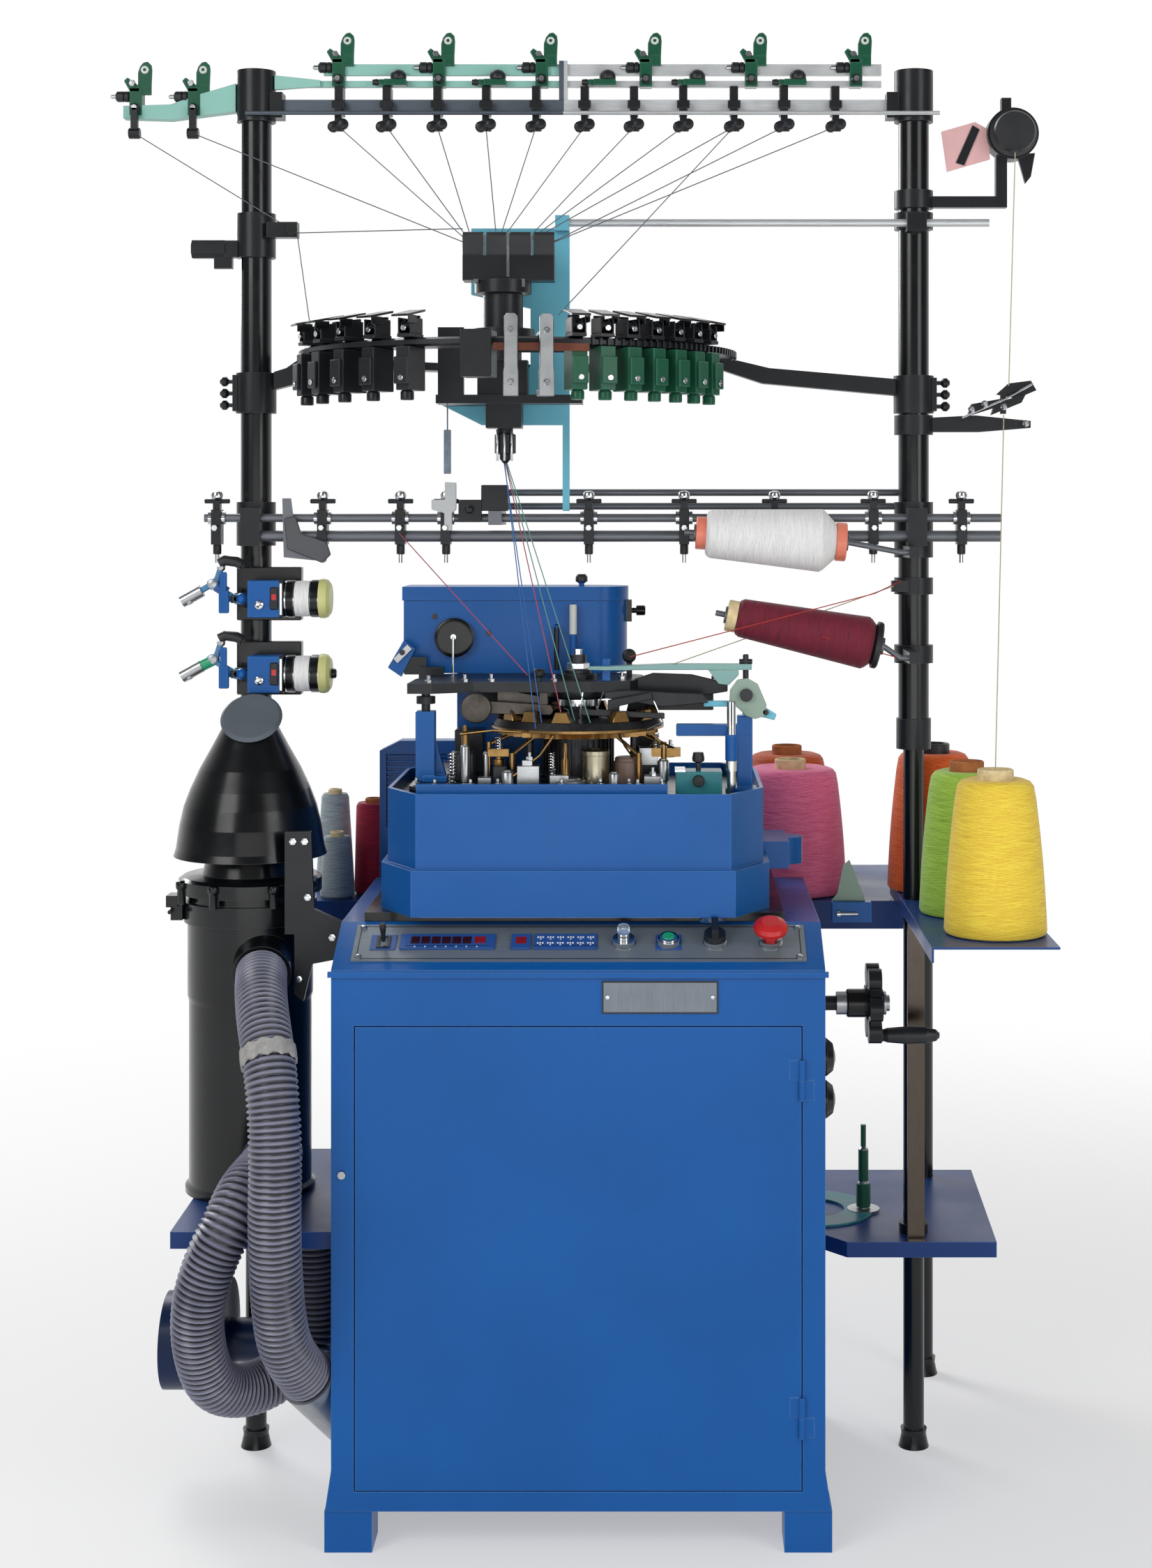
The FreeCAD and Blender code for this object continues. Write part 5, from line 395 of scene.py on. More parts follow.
# ---- black parts ----
# The deck, creel poles, canister and its bell are sprayed gloss black. The arm, ring, clamps and guides are sand
# castings under a thinner black coat, so their skin is a little rough. Knobs, levers and the belt are moulded.
def black_coat(name, code, roughness, grain, depth, coat=0.2):
    """Black paint on steel or cast iron, with a grain from the metal under it and grey edges, partly rubbed and
    partly a painted highlight.
    """
    finish, tree, shader, where = new_finish(name)
    shade = hex_colour(code)
    dusty = [c * 1.3 + 0.001 for c in shade[:3]] + [1]
    skin = varied(tree, where, 16, (shade, dusty))
    rounded = pale_edges(tree, skin, "7C8088", 0.0014, 0.99, 0.8, 0.35)
    rough_between(tree, shader, where, 22, roughness - 0.05, roughness + 0.1)
    shader.inputs["Specular IOR Level"].default_value = 0.25
    shader.inputs["Coat Weight"].default_value = coat
    shader.inputs["Coat Roughness"].default_value = 0.2
    sand = add(tree, "ShaderNodeTexNoise", {"Vector": where, "Scale": grain, "Detail": 3})
    raised(tree, shader, sand.outputs["Fac"], depth, normal=rounded)
    return finish


def moulded_plastic(name, code, roughness=0.42, grain=900, depth=0.00004):
    """ABS or PVC from a spark-eroded mould: an even colour with a fine dull grain and soft highlights."""
    finish, tree, shader, where = new_finish(name)
    shade = hex_colour(code)
    tree.links.new(varied(tree, where, 14, (darker(shade, 0.86), shade)), shader.inputs["Base Color"])
    rough_between(tree, shader, where, 30, roughness - 0.06, roughness + 0.08)
    speck = add(tree, "ShaderNodeTexNoise", {"Vector": where, "Scale": grain, "Detail": 2})
    raised(tree, shader, speck.outputs["Fac"], depth)
    return finish


gloss_black = black_coat("gloss_black_paint", "07090C", 0.24, 60, 0.00002, 0.3)
pole_black = black_coat("black_pole_paint", "090C0F", 0.2, 140, 0.00003, 0.35)
cast_black = black_coat("black_sand_casting", "17191D", 0.38, 420, 0.00012)
dress(gloss_black, "canister_bell", "deck_plates")
dress(pole_black, "creel_poles", "canister_body", "canister_lid")
dress(cast_black, "dial_arm", "pole_clamps", "mid_guides", "carrier_ring", "distribution_head", "handwheel",
      "head_blocks")
black_plastic = moulded_plastic("black_moulded_abs", "1E2023")
dress(black_plastic, "toggle_lever", "selector_knob", "crank_handle", "feeder_drum_right", "drive_belt")


# ---- coloured parts ----
# Guide brackets in dark green enamel, the left rails in mint, the bracket plate in light blue and the trays in a
# darker blue. Switch caps and key films are moulded, and the yarn feed fingers turned brass.
green_enamel = enamel("dark_green_enamel", "1F5A42", "5E9A80", edge_share=0.5)
mint_enamel = enamel("mint_enamel", "94C9BE", "C4E4DC", 0.36, edge_share=0.5)
sky_enamel = enamel("light_blue_enamel", "6FBFD6", "A6DCEA", 0.36, edge_share=0.5)
tray_enamel = enamel("dark_blue_enamel", "1E3F7C", "5B82C4", 0.34)
dress(green_enamel, "top_guides", "ring_units")
dress(mint_enamel, "teal_rails")
dress(sky_enamel, "ring_bracket")
dress(tray_enamel, "creel_trays")
red_cap = moulded_plastic("red_nylon_cap", "C81E22", 0.3)
green_cap = moulded_plastic("green_nylon_cap", "1F9A6C", 0.3)
dress(red_cap, "stop_button")
dress(green_cap, "start_button")
key_film = moulded_plastic("blue_key_film", "28549C", 0.4)
dress(key_film, "keypad_panels")
brass = bright_metal("turned_brass", "8A6C42", 0.26)
dress(brass, "brass_fingers")
dress(steel, "head_levers")


# ---- yarn cones ----
# Polyester yarn wound crosswise on paper cones, which taper to a rounded shoulder. The thread crosses itself at
# a flat angle, so the side shows fine rings.
YARN_STEPS = 48
WINDING = 2.2        # millimetres between drawn threads; real ones lie at 0.8 and would not show
CROSSING = 0.11      # radians by which the threads lean to each side
UP, FORWARD, BACK, RIGHT, LEFT = (0, 0, 1), (0, -1, 0), (0, 1, 0), (1, 0, 0), (-1, 0, 0)


def turned(solid, profile, base, axis=UP, steps=YARN_STEPS, hollow=False):
    """Adds a turned shape to a mesh in the making: (radius, height) pairs about an axis, closed at both ends, or
    a ring where it is hollow. Its wind map runs around the shape and along the profile, in millimetres."""
    wind = solid.loops.layers.uv.get("wind") or solid.loops.layers.uv.new("wind")
    spin = Vector((0, 0, 1)).rotation_difference(Vector(axis)).to_matrix()
    widest = max(r for r, h in profile)
    rings, lengths, length = [], [], 0
    for i, (r, h) in enumerate(profile):
        if i:
            length += math.dist(profile[i - 1], (r, h))
        lengths.append(length)
        count = steps if r > 0 else 1
        ring = []
        for k in range(count):
            turn = 2 * math.pi * k / steps
            ring.append(solid.verts.new(Vector(base) + spin @ Vector((r * math.cos(turn), r * math.sin(turn), h))))
        rings.append(ring)
    lengths.append(length + math.dist(profile[-1], profile[0]))
    for i in range(len(rings) - (not hollow)):
        low, high = rings[i], rings[(i + 1) % len(rings)]
        for k in range(steps):
            n = (k + 1) % steps
            corners = [low[k % len(low)], low[n % len(low)], high[n % len(high)], high[k % len(high)]]
            marks = [(k, i), (k + 1, i), (k + 1, i + 1), (k, i + 1)]
            kept = [j for j in range(4) if corners[j] not in corners[:j]]
            if len(kept) < 3:
                continue
            face = solid.faces.new([corners[j] for j in kept])
            face.smooth = True
            for loop, j in zip(face.loops, kept):
                loop[wind].uv = (marks[j][0] / steps * 2 * math.pi * widest, lengths[marks[j][1]])
    for ring, outward in ((rings[0], -1), (rings[-1], 1)):
        if len(ring) > 1 and not hollow:
            solid.faces.new(ring[::outward])


def settle(piece, body, stands_for, sharp):
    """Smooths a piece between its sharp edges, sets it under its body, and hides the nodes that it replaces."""
    piece.data.shade_smooth()
    piece.data.set_sharp_from_angle(angle=math.radians(sharp))
    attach(piece, body)
    if stands_for:
        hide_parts(*stands_for)


def make_piece(name, solid, finish, body="frame", stands_for=(), sharp=35):
    """Turns shapes drawn in millimetres into a piece in metres, with its finish and body."""
    for vert in solid.verts:
        vert.co = at(*vert.co)
    bmesh.ops.recalc_face_normals(solid, faces=solid.faces)
    mesh = bpy.data.meshes.new(name)
    solid.to_mesh(mesh)
    solid.free()
    mesh.materials.append(finish)
    settle(show(name, mesh), body, stands_for, sharp)


def wound_yarn(name, code, shadowed_code):
    """Spun polyester, wound crosswise: soft sheen, and fine threads that cross at 6 degrees."""
    finish, tree, shader, where = new_finish(name)
    wind = add(tree, "ShaderNodeUVMap", uv_map="wind").outputs["UV"]
    heights = []
    for slope in (-CROSSING, CROSSING):
        lean = add(tree, "ShaderNodeMapping", {"Vector": wind, "Rotation": (0, 0, slope)}).outputs["Vector"]
        cloud = add(tree, "ShaderNodeMapping", {"Vector": lean, "Scale": (0.012, 1 / WINDING, 1)}).outputs["Vector"]
        heights.append(add(tree, "ShaderNodeTexNoise", {"Vector": cloud, "Scale": 1.6, "Detail": 2}).outputs["Fac"])
    both = add(tree, "ShaderNodeMath", {0: heights[0], 1: heights[1]}, operation="MAXIMUM").outputs[0]
    share = add(tree, "ShaderNodeMapRange", {"Value": both, "From Min": 0.42, "From Max": 0.66})
    # painted shade: the threads lying under the crossing ones take the darker colour
    colour = blended(tree, share.outputs["Result"], hex_colour(shadowed_code), hex_colour(code))
    tree.links.new(colour, shader.inputs["Base Color"])
    shader.inputs["Roughness"].default_value = 0.75
    shader.inputs["Sheen Weight"].default_value = 0.25
    shader.inputs["Sheen Roughness"].default_value = 0.4
    raised(tree, shader, both, 0.0009)
    return finish


def cone_side(base_r, top_r, height):
    """The outline of a full cone: a soft heel, a straight side, a rounded shoulder and a slightly hollow top."""
    rows = 14
    outline = [(base_r - 7, 0), (base_r - 2, 2), (base_r, 6)]
    for i in range(1, rows):
        share = i / rows
        swell = 2.2 * math.sin(math.pi * share)
        outline.append((base_r + (top_r - base_r) * share + swell, 6 + (height - 20) * share))
    outline += [(top_r - 1.5, height - 10), (top_r - 6, height - 4), (top_r - 14, height - 1), (24, height - 3),
                (18, height - 3)]
    return outline


YARN_COLOURS = {     # yarn, and its shadowed threads
    "yellow": ("F9DF4A", "E4B835"), "green": ("A9CF4E", "7FA834"), "orange": ("F06A22", "C8480F"),
    "rust": ("D85C24", "A84012"), "pink": ("FA86AE", "E05A8C"), "crimson": ("B5123F", "84082A"),
    "grey": ("A9B6BC", "83929A"), "white": ("F2F1F0", "D8D8DA"), "maroon": ("7D0F2E", "560820"),
}
yarn = {name: wound_yarn(name + "_polyester_yarn", *codes) for name, codes in YARN_COLOURS.items()}
CONES = (            # name, yarn, slot, node, place, base radius, top radius, height
    ("cone_yellow", "yellow", "yarn_yellow", "cone_yellow", (550, -230, 790), 68, 52, 206),
    ("cone_green", "green", "yarn_green", "cone_green", (533, -70, 790), 66, 51, 200),
    ("cone_orange", "orange", "yarn_orange", "cones_orange", (511, 140, 790), 68, 53, 204),
    ("cone_rust", "rust", "yarn_orange", "cones_orange", (310, 446, 765), 84, 60, 196),
    ("cone_pink", "pink", "yarn_pink", "cone_pink", (306, 272, 765), 86, 72, 192),
    ("cone_crimson", "crimson", "yarn_red", "cones_red", (-333, 254, 765), 30, 27, 140),
    ("cone_grey", "grey", "yarn_grey", "cones_grey", (-397, 286, 765), 30, 21, 150),
    ("cone_slate", "grey", "yarn_grey", "cones_grey", (-384, 214, 765), 26, 21, 94),
)
for name, colour, slot, node, place, base_r, top_r, height in CONES:
    solid = bmesh.new()
    outline = cone_side(base_r, top_r, height) if top_r > 30 else [
        (base_r - 4, 0), (base_r, 4), (base_r * 0.5 + top_r * 0.5, height * 0.5), (top_r, height - 6),
        (top_r - 3, height - 1), (12, height - 2)]
    turned(solid, outline, place)
    make_piece("visual_" + name, solid, yarn[colour], stands_for=(node,))
for name, ((x0, z0), (x1, z1)), wide, narrow, colour, slot, node in (
        ("cone_white", ((352, 1307), (170, 1318.5)), 44, 34, "white", "yarn_white", "cone_white"),
        ("cone_maroon", ((402, 1163.5), (213, 1201.5)), 37, 27, "maroon", "yarn_red", "cones_red")):
    long = math.dist((x0, z0), (x1, z1))
    shoulder = 20 if colour == "white" else 8
    outline = [(wide - shoulder, 0), (wide - 3, shoulder - 3), (wide, shoulder + 2)]
    outline += [(wide + (narrow - wide) * k / 8, shoulder + (long - shoulder - 8) * k / 8) for k in range(1, 8)]
    outline += [(narrow, long - 7), (narrow - 3, long - 2), (narrow - 7, long), (18, long)]
    solid = bmesh.new()
    turned(solid, outline, (x0, -55, z0), (x1 - x0, 0, z1 - z0))
    make_piece("visual_" + name, solid, yarn[colour], stands_for=(node,))


# ---- paper tubes ----
# Each cone is wound on a tube that stands out at its ends: spiral paper board, brown or pale, in most upright
# ones, and black plastic in the orange one. The white cone has a salmon tube, and the maroon one a cream end
# and a black cap.
def board(name, code):
    """Paper board or woven tape: matt and slightly mottled, with a fibrous surface."""
    finish, tree, shader, where = new_finish(name)
    shade = hex_colour(code)
    tree.links.new(varied(tree, where, 90, (darker(shade, 0.75), shade)), shader.inputs["Base Color"])
    shader.inputs["Roughness"].default_value = 0.85
    fibre = add(tree, "ShaderNodeTexNoise", {"Vector": where, "Scale": 700, "Detail": 3})
    raised(tree, shader, fibre.outputs["Fac"], 0.0001)
    return finish


brown_board = board("brown_paper_board", "B06A3C")
pale_board = board("pale_paper_board", "E9D3A4")
salmon_plastic = moulded_plastic("salmon_moulded_tube", "E9836A", 0.35)
TUBE_WALL = 4


def closed(*numbers):
    """The profile of a solid turned shape, radius and height by turns, from the axis out and back to it."""
    points = list(zip(numbers[::2], numbers[1::2]))
    return [(0, 0), *points, (0, numbers[-1])]


def tube_end(solid, base, axis, radius, length):
    """A short open tube with a rounded mouth."""
    turned(solid, [(radius - TUBE_WALL, 0), (radius, 0), (radius, length - 1.5), (radius - 1.5, length),
                   (radius - TUBE_WALL + 1, length), (radius - TUBE_WALL, length - 1.5), (radius - TUBE_WALL, 1)],
           base, axis, 32)


upright, pale, dark = bmesh.new(), bmesh.new(), bmesh.new()
for name, colour, slot, node, (x, y, z), base_r, top_r, height in CONES:
    tubes = {"yellow": pale, "grey": pale, "pink": pale, "orange": dark}.get(colour, upright)
    tube_end(tubes, (x, y, z + height - 4), UP, min(24, top_r * 0.5), 16 if top_r > 30 else 10)
make_piece("visual_board_tubes", upright, brown_board, stands_for=("cone_tubes",))
make_piece("visual_pale_tubes", pale, pale_board, stands_for=("cone_tubes",))
make_piece("visual_dark_tube", dark, black_plastic, stands_for=("cone_tubes",))
salmon = bmesh.new()
turned(salmon, closed(26, 0, 27, 1, 27, 14), (366, -55, 1306.1), (-1, 0, 0.063), 40)
turned(salmon, closed(23, 0, 23, 13, 22, 14), (170, -55, 1318.5), (-1, 0, 0.063), 40)
make_piece("visual_salmon_tube", salmon, salmon_plastic, stands_for=("cone_tubes",))
cream = bmesh.new()
turned(cream, closed(22, 0, 22, 13, 21, 14), (213, -55, 1201.5), (-1, 0, 0.2), 40)
make_piece("visual_cream_tube", cream, pale_board, stands_for=("cone_tubes",))
cap = bmesh.new()
turned(cap, closed(31, 0, 33, 2, 33, 8, 24, 12), (413.5, -55, 1161.2), (-1, 0, 0.2), 40)
make_piece("visual_cone_cap", cap, black_plastic, stands_for=("cone_tubes",))


# ---- carrier ring units ----
# Yarn brakes clamped round the ring. To the right, black pressed housings stand on the ring and green castings
# hang below it; to the left both are black. Two bright clamps, a cast box and a copper strip sit at the front,
# and small teeth stand round the ring's right and rear.
RING_CENTRE = (-100, 50, 1567)
RING_RADIUS = 313
RIGHT_ANGLES = [18 + 7 * i for i in range(7)]
LEFT_ANGLES = [-24 - 10 * i for i in range(5)]
SILVER_ANGLES = (2, 10)
BOX_ANGLE = -6


def block(solid, low, high):
    """Adds a box between two corners."""
    made = bmesh.ops.create_cube(solid, size=1)
    for vert in made["verts"]:
        vert.co = [l + (h - l) * (c + 0.5) for l, h, c in zip(low, high, vert.co)]


def prism(solid, front, back):
    """Adds a closed shape between two faces with the same number of corners."""
    front, back = ([solid.verts.new(corner) for corner in face] for face in (front, back))
    solid.faces.new(front)
    solid.faces.new(back[::-1])
    for i in range(len(front)):
        n = (i + 1) % len(front)
        solid.faces.new((front[i], back[i], back[n], front[n]))


def plate(solid, outline, y, thick):
    """Adds a flat plate: an outline of (x, z) points, from y back through its thickness."""
    prism(solid, *([(x, depth, z) for x, z in outline] for depth in (y, y + thick)))


def wire(solid, points, radius, sides=8):
    """Adds a round wire that runs straight between its points."""
    places = [Vector(p) for p in points]
    rings = []
    side = None
    for i, place in enumerate(places):
        before = places[i] - places[i - 1] if i else places[1] - places[0]
        after = places[i + 1] - place if i + 1 < len(places) else before
        way = (before.normalized() + after.normalized()).normalized()
        side = side or way.orthogonal()
        side = (side - way * side.dot(way)).normalized()
        across = way.cross(side)
        rings.append([solid.verts.new(place + side * radius * math.cos(2 * math.pi * k / sides)
                                      + across * radius * math.sin(2 * math.pi * k / sides))
                      for k in range(sides)])
    for low, high in zip(rings, rings[1:]):
        for k in range(sides):
            n = (k + 1) % sides
            solid.faces.new((low[k], low[n], high[n], high[k])).smooth = True
    solid.faces.new(rings[0][::-1])
    solid.faces.new(rings[-1])


def ease(solid, width, angle=40):
    """Rounds the sharp edges of shapes in the making, width in millimetres."""
    solid.normal_update()
    sharp = [e for e in solid.edges if len(e.link_faces) == 2 and e.calc_face_angle(0) > math.radians(angle)]
    bmesh.ops.bevel(solid, geom=sharp, offset=width, offset_type="OFFSET", segments=1, profile=0.5,
                    affect="EDGES", clamp_overlap=True)


copy_tree, size = new_growth("copies at points", {"Part": "Object", "Material": "Material"})
shape = add(copy_tree, "GeometryNodeObjectInfo", {"Object": size["Part"]}, transform_space="ORIGINAL")
turn = add(copy_tree, "GeometryNodeInputNamedAttribute", {"Name": "turn"}, data_type="FLOAT_VECTOR")
turn = add(copy_tree, "FunctionNodeEulerToRotation", {"Euler": turn.outputs["Attribute"]})
copies = add(copy_tree, "GeometryNodeInstanceOnPoints", {"Points": size["Geometry"], "Rotation": turn.outputs[0],
                                                         "Instance": shape.outputs["Geometry"]})
end_growth(copy_tree, copies.outputs[0], size["Material"])


def spread(name, solid, places, finish, body="frame", stands_for=(), sharp=35):
    """Copies one shape, drawn in millimetres about its own origin, to places of (x, y, z, degrees about Z)
    or (x, y, z, (turn about X, Y, Z)), and makes them one piece."""
    bmesh.ops.recalc_face_normals(solid, faces=solid.faces)
    for vert in solid.verts:
        vert.co = vert.co / 1000
    mesh = bpy.data.meshes.new(name + "_part")
    solid.to_mesh(mesh)
    solid.free()
    part = show(name + "_part", mesh)
    points = bpy.data.meshes.new(name + "_points")
    points.from_pydata([at(*place[:3]) for place in places], [], [])
    turns = points.attributes.new("turn", "FLOAT_VECTOR", "POINT")
    for i, place in enumerate(places):
        turn = place[3] if isinstance(place[3], tuple) else (0, 0, place[3])
        turns.data[i].vector = [math.radians(a) for a in turn]
    piece = grow(name, points, copy_tree, {"Part": part, "Material": finish})
    bpy.data.objects.remove(part)
    settle(piece, body, stands_for, sharp)


inner, outer = RING_RADIUS - 24, RING_RADIUS + 14
round_ring = [(*RING_CENTRE, angle) for angle in RIGHT_ANGLES]
left_ring = [(*RING_CENTRE, angle) for angle in LEFT_ANGLES]

housing = bmesh.new()
block(housing, (-10, -outer + 2, 12), (10, -inner, 17))
for x in (-10, 8):
    block(housing, (x, -outer + 4, 17), (x + 2, -inner - 2, 38))
block(housing, (-8, -inner - 8, 17), (8, -inner - 4, 42))
turned(housing, closed(8, 0, 8, 2, 4, 3, 4, 11, 8, 12, 8, 14), (-7, -outer + 14, 28),
       RIGHT, 12)
ease(housing, 0.7)
spread("visual_brake_housings", housing, round_ring + left_ring, cast_black,
       stands_for=("ring_units",))

lid = bmesh.new()
block(lid, (-13, -outer - 8, 40), (13, -inner, 43))
for vert in lid.verts:
    vert.co.z += (vert.co.y + outer) * 0.2       # the plate slopes down to the front
block(lid, (11, -outer - 6, 30), (12.5, -outer + 16, 41))
ease(lid, 0.5)
spread("visual_brake_plates", lid, round_ring + left_ring, gloss_black)

hanger = bmesh.new()
block(hanger, (-10.5, -outer, -58), (10.5, -inner + 4, 0))
block(hanger, (-10.5, -outer - 6, -50), (10.5, -outer, -14))
turned(hanger, closed(9, 0, 9, 11, 7, 13), (0, -outer + 12, -71), UP, 14)
ease(hanger, 1)
spread("visual_green_brakes", hanger.copy(), round_ring, green_enamel, stands_for=("ring_units",))
spread("visual_left_brakes", hanger, left_ring, cast_black, stands_for=("ring_units",))

screw = bmesh.new()
turned(screw, [(0, -2), (4.2, -2), (4.2, 1), (3.4, 2), (1.6, 2), (1.6, 1), (0, 1)], (0, 0, 0), FORWARD, 12)


def on_ring(angle, reach, up):
    """A place at an angle from the front of the carrier ring, so far from its middle and above it."""
    turn = math.radians(angle)
    x, y, z = RING_CENTRE
    return x + reach * math.sin(turn), y - reach * math.cos(turn), z + up


ring_screws = []
for angle in RIGHT_ANGLES + LEFT_ANGLES:
    ring_screws += [(*on_ring(angle, outer + 6, -42), angle), (*on_ring(angle, outer - 2, 24), angle)]
for angle in SILVER_ANGLES:
    ring_screws += [(*on_ring(angle, outer + 12, up), angle) for up in (-50, 18)]
spread("visual_ring_screws", screw, ring_screws, chrome)

bright = bmesh.new()
plate(bright, [(-10, -68), (10, -68), (10, -36), (9, -30), (9, 36), (5, 40), (-5, 40), (-9, 36), (-9, -30),
               (-10, -36)], -outer - 10, 6)
block(bright, (-8, -outer - 4, -66), (8, -inner, -58))
block(bright, (-8, -outer - 4, 13), (8, -inner, 18))
ease(bright, 0.8)
spread("visual_bright_clamps", bright, [(*RING_CENTRE, a) for a in SILVER_ANGLES], steel,
       stands_for=("ring_units",))
box = bmesh.new()
block(box, (-21, -outer - 6, -42), (21, -inner, 20))
ease(box, 1.5)
spread("visual_grey_box", box, [(*RING_CENTRE, BOX_ANGLE)], cast_black, stands_for=("ring_units",))

copper = bright_metal("copper_strip", "6B4438", 0.45)
strip = bmesh.new()
for angle in range(-2, 20, 2):
    corners = [strip.verts.new(on_ring(a, reach, up)) for reach, up in
               ((outer + 1, -8), (outer + 4, -8), (outer + 4, 2), (outer + 1, 2)) for a in (angle, angle + 2)]
    for i in range(4):
        j = (i + 1) % 4
        strip.faces.new((corners[2 * i], corners[2 * i + 1], corners[2 * j + 1], corners[2 * j]))
bmesh.ops.remove_doubles(strip, verts=strip.verts, dist=0.01)
bmesh.ops.holes_fill(strip, edges=strip.edges)
make_piece("visual_copper_strip", strip, copper)
teeth = bmesh.new()
block(teeth, (-1.6, -RING_RADIUS - 3, 2), (1.6, -RING_RADIUS + 3, 11))
spread("visual_ring_teeth", teeth, [(*RING_CENTRE, 22 + 2 * i) for i in range(58)], cast_black)


# ---- top guides ----
# Eleven black castings clamp on the silver bar, each with a stem to the rail and three discs. Green brackets with
# a ceramic eyelet in their ear, a knurled knob and a chrome screw stand on the rails, domed brakes between them,
# and two hooks hang from the left arm.
BAR_LOW = 1926
RAIL_LOW = 1962
BLACK_GUIDE_X = (-357, -288, -215, -145, -73, -3, 68, 139, 212, 284, 358)
GREEN_X = (-358, -213, -65, 85, 237, 388)
DOME_X = (-275, -132, 26, 155, 300)
ARM_X = (-650, -566)

guides = bmesh.new()
for low, high in (((-6, -14, -5), (6, 14, 36)), ((-5, -21, -22), (5, -7, 4)), ((-9, -22, 3), (9, -13, 14))):
    block(guides, low, high)
for x, z in ((-7, -24), (7, -20)):
    turned(guides, closed(6.5, 0, 8, 2, 8, 8, 6.5, 10), (x, -14, z), FORWARD, 14)
turned(guides, closed(8, 0, 8, 16), (-8, -14, -22), RIGHT, 14)
ease(guides, 0.8)
spread("visual_bar_guides", guides, [(x, 50, BAR_LOW, 0) for x in BLACK_GUIDE_X], cast_black,
       stands_for=("top_guides",))

bracket = bmesh.new()
block(bracket, (-9, -11, 0), (9, 11, 40))
block(bracket, (3, -9, 30), (22, -3, 46))
ear = [(3, 44), (3, 62), (6, 71), (11, 77), (17, 78), (22, 73), (23, 66), (22, 44)]
plate(bracket, ear, -9, 6)
plate(bracket, [(-8, 34), (-17, 50), (-12, 55), (6, 42), (6, 34)], -11, 5)
ease(bracket, 0.9)
brackets = [(x, 50, RAIL_LOW, 0) for x in GREEN_X] + [(x, 50, BAR_LOW - 6, 0) for x in ARM_X]
spread("visual_green_brackets", bracket, brackets, green_enamel, stands_for=("top_guides",))

eyelet = bmesh.new()
turned(eyelet, [(2.4, 0), (5.2, 0), (6, 1.5), (6, 7.5), (5.2, 9), (2.4, 9), (2.4, 0.5)], (13, -1.5, 66),
       FORWARD, 16)
ceramic = moulded_plastic("white_glazed_ceramic", "D9DEDA", 0.16, 200, 0.00001)
spread("visual_ear_eyelets", eyelet, brackets, ceramic)

knob = bmesh.new()
turned(knob, closed(5, 0, 8, 2, 8, 7, 6.5, 8, 8, 9, 8, 18, 6, 20), (-9, -5, 28), LEFT, 14)
turned(knob, closed(7, 0, 7, 5, 5, 8), (0, -11, 10), FORWARD, 12)
spread("visual_bracket_knobs", knob, brackets, black_plastic)
ends = bmesh.new()
turned(ends, closed(3.5, 0, 3.5, 7, 2.5, 8), (-29, -5, 28), LEFT, 12)
turned(ends, closed(5, 0, 5, 4, 4, 5), (-4, -11, 46), FORWARD, 6)
turned(ends, closed(4, 0, 4, 3), (0, -19, 10), FORWARD, 10)
spread("visual_bracket_screws", ends, brackets, chrome)

dome = bmesh.new()
block(dome, (-16, -22, 0), (16, -4, 9))
plate(dome, [(-16, 0), (-24, 4), (-24, 9), (-16, 9)], -18, 8)
ease(dome, 0.8)
domes = [(x, 50, RAIL_LOW, 0) for x in DOME_X]
spread("visual_dome_brakes", dome, domes, green_enamel, stands_for=("top_guides",))
crown = bmesh.new()
turned(crown, closed(11, 0, 12, 3, 11, 8, 8, 12, 3, 14), (4, -14, 9), UP, 18)
turned(crown, closed(4, 0, 5, 3, 4, 9), (-24, -14, 5), LEFT, 10)
spread("visual_dome_caps", crown, domes, black_plastic)
hooks = bmesh.new()
block(hooks, (-5, -22, -38), (5, -12, 4))
turned(hooks, closed(8, 0, 8, 16), (-8, -17, -33), RIGHT, 14)
ease(hooks, 0.8)
spread("visual_arm_hooks", hooks, [(x, 50, BAR_LOW, 0) for x in ARM_X], cast_black,
       stands_for=("top_guides",))


# ---- knitting head ----
# A chrome dial hangs from the black arm over the needle cylinder and its cam ring. Blackened castings, brass cams,
# solenoid cans, wires and springs crowd round them, each screwed to the platform or to the arm.
AXIS = (-9, -60)
PLATFORM = 980
ARM_TOP = 1115
FEED_LOW = 1131                 # underside of the feed lever

dark_steel = brushed("blackened_steel", "4A4B4E", (1, 1, 1), 0.42, 120)
grey_iron = brushed("ground_cast_iron", "5F5A55", (1, 1, 1), 0.45, 160)
blued_teal = enamel("pale_teal_enamel", "86AFAB", "C4DAD6", 0.32, edge_share=0.5)
quadrant_green = enamel("grey_green_enamel", "93A99C", "C9D6CD", 0.4, edge_share=0.5)
dress(dark_steel, "cam_ring", "dial", "needle_cylinder")

feed = bmesh.new()
outline = [(6, -112), (30, -122), (120, -114), (232, -112), (232, -92), (120, -84), (30, -100)]
prism(feed, [(x, y, FEED_LOW) for x, y in outline],
      [(x, y, FEED_LOW + (8 if x > 100 else 5)) for x, y in outline])
plate(feed, [(172, 1131), (214, 1131), (214, 1124), (200, 1110), (186, 1112)], -112, 4)
ease(feed, 0.8)
make_piece("visual_feed_lever", feed, blued_teal, stands_for=("head_levers",))

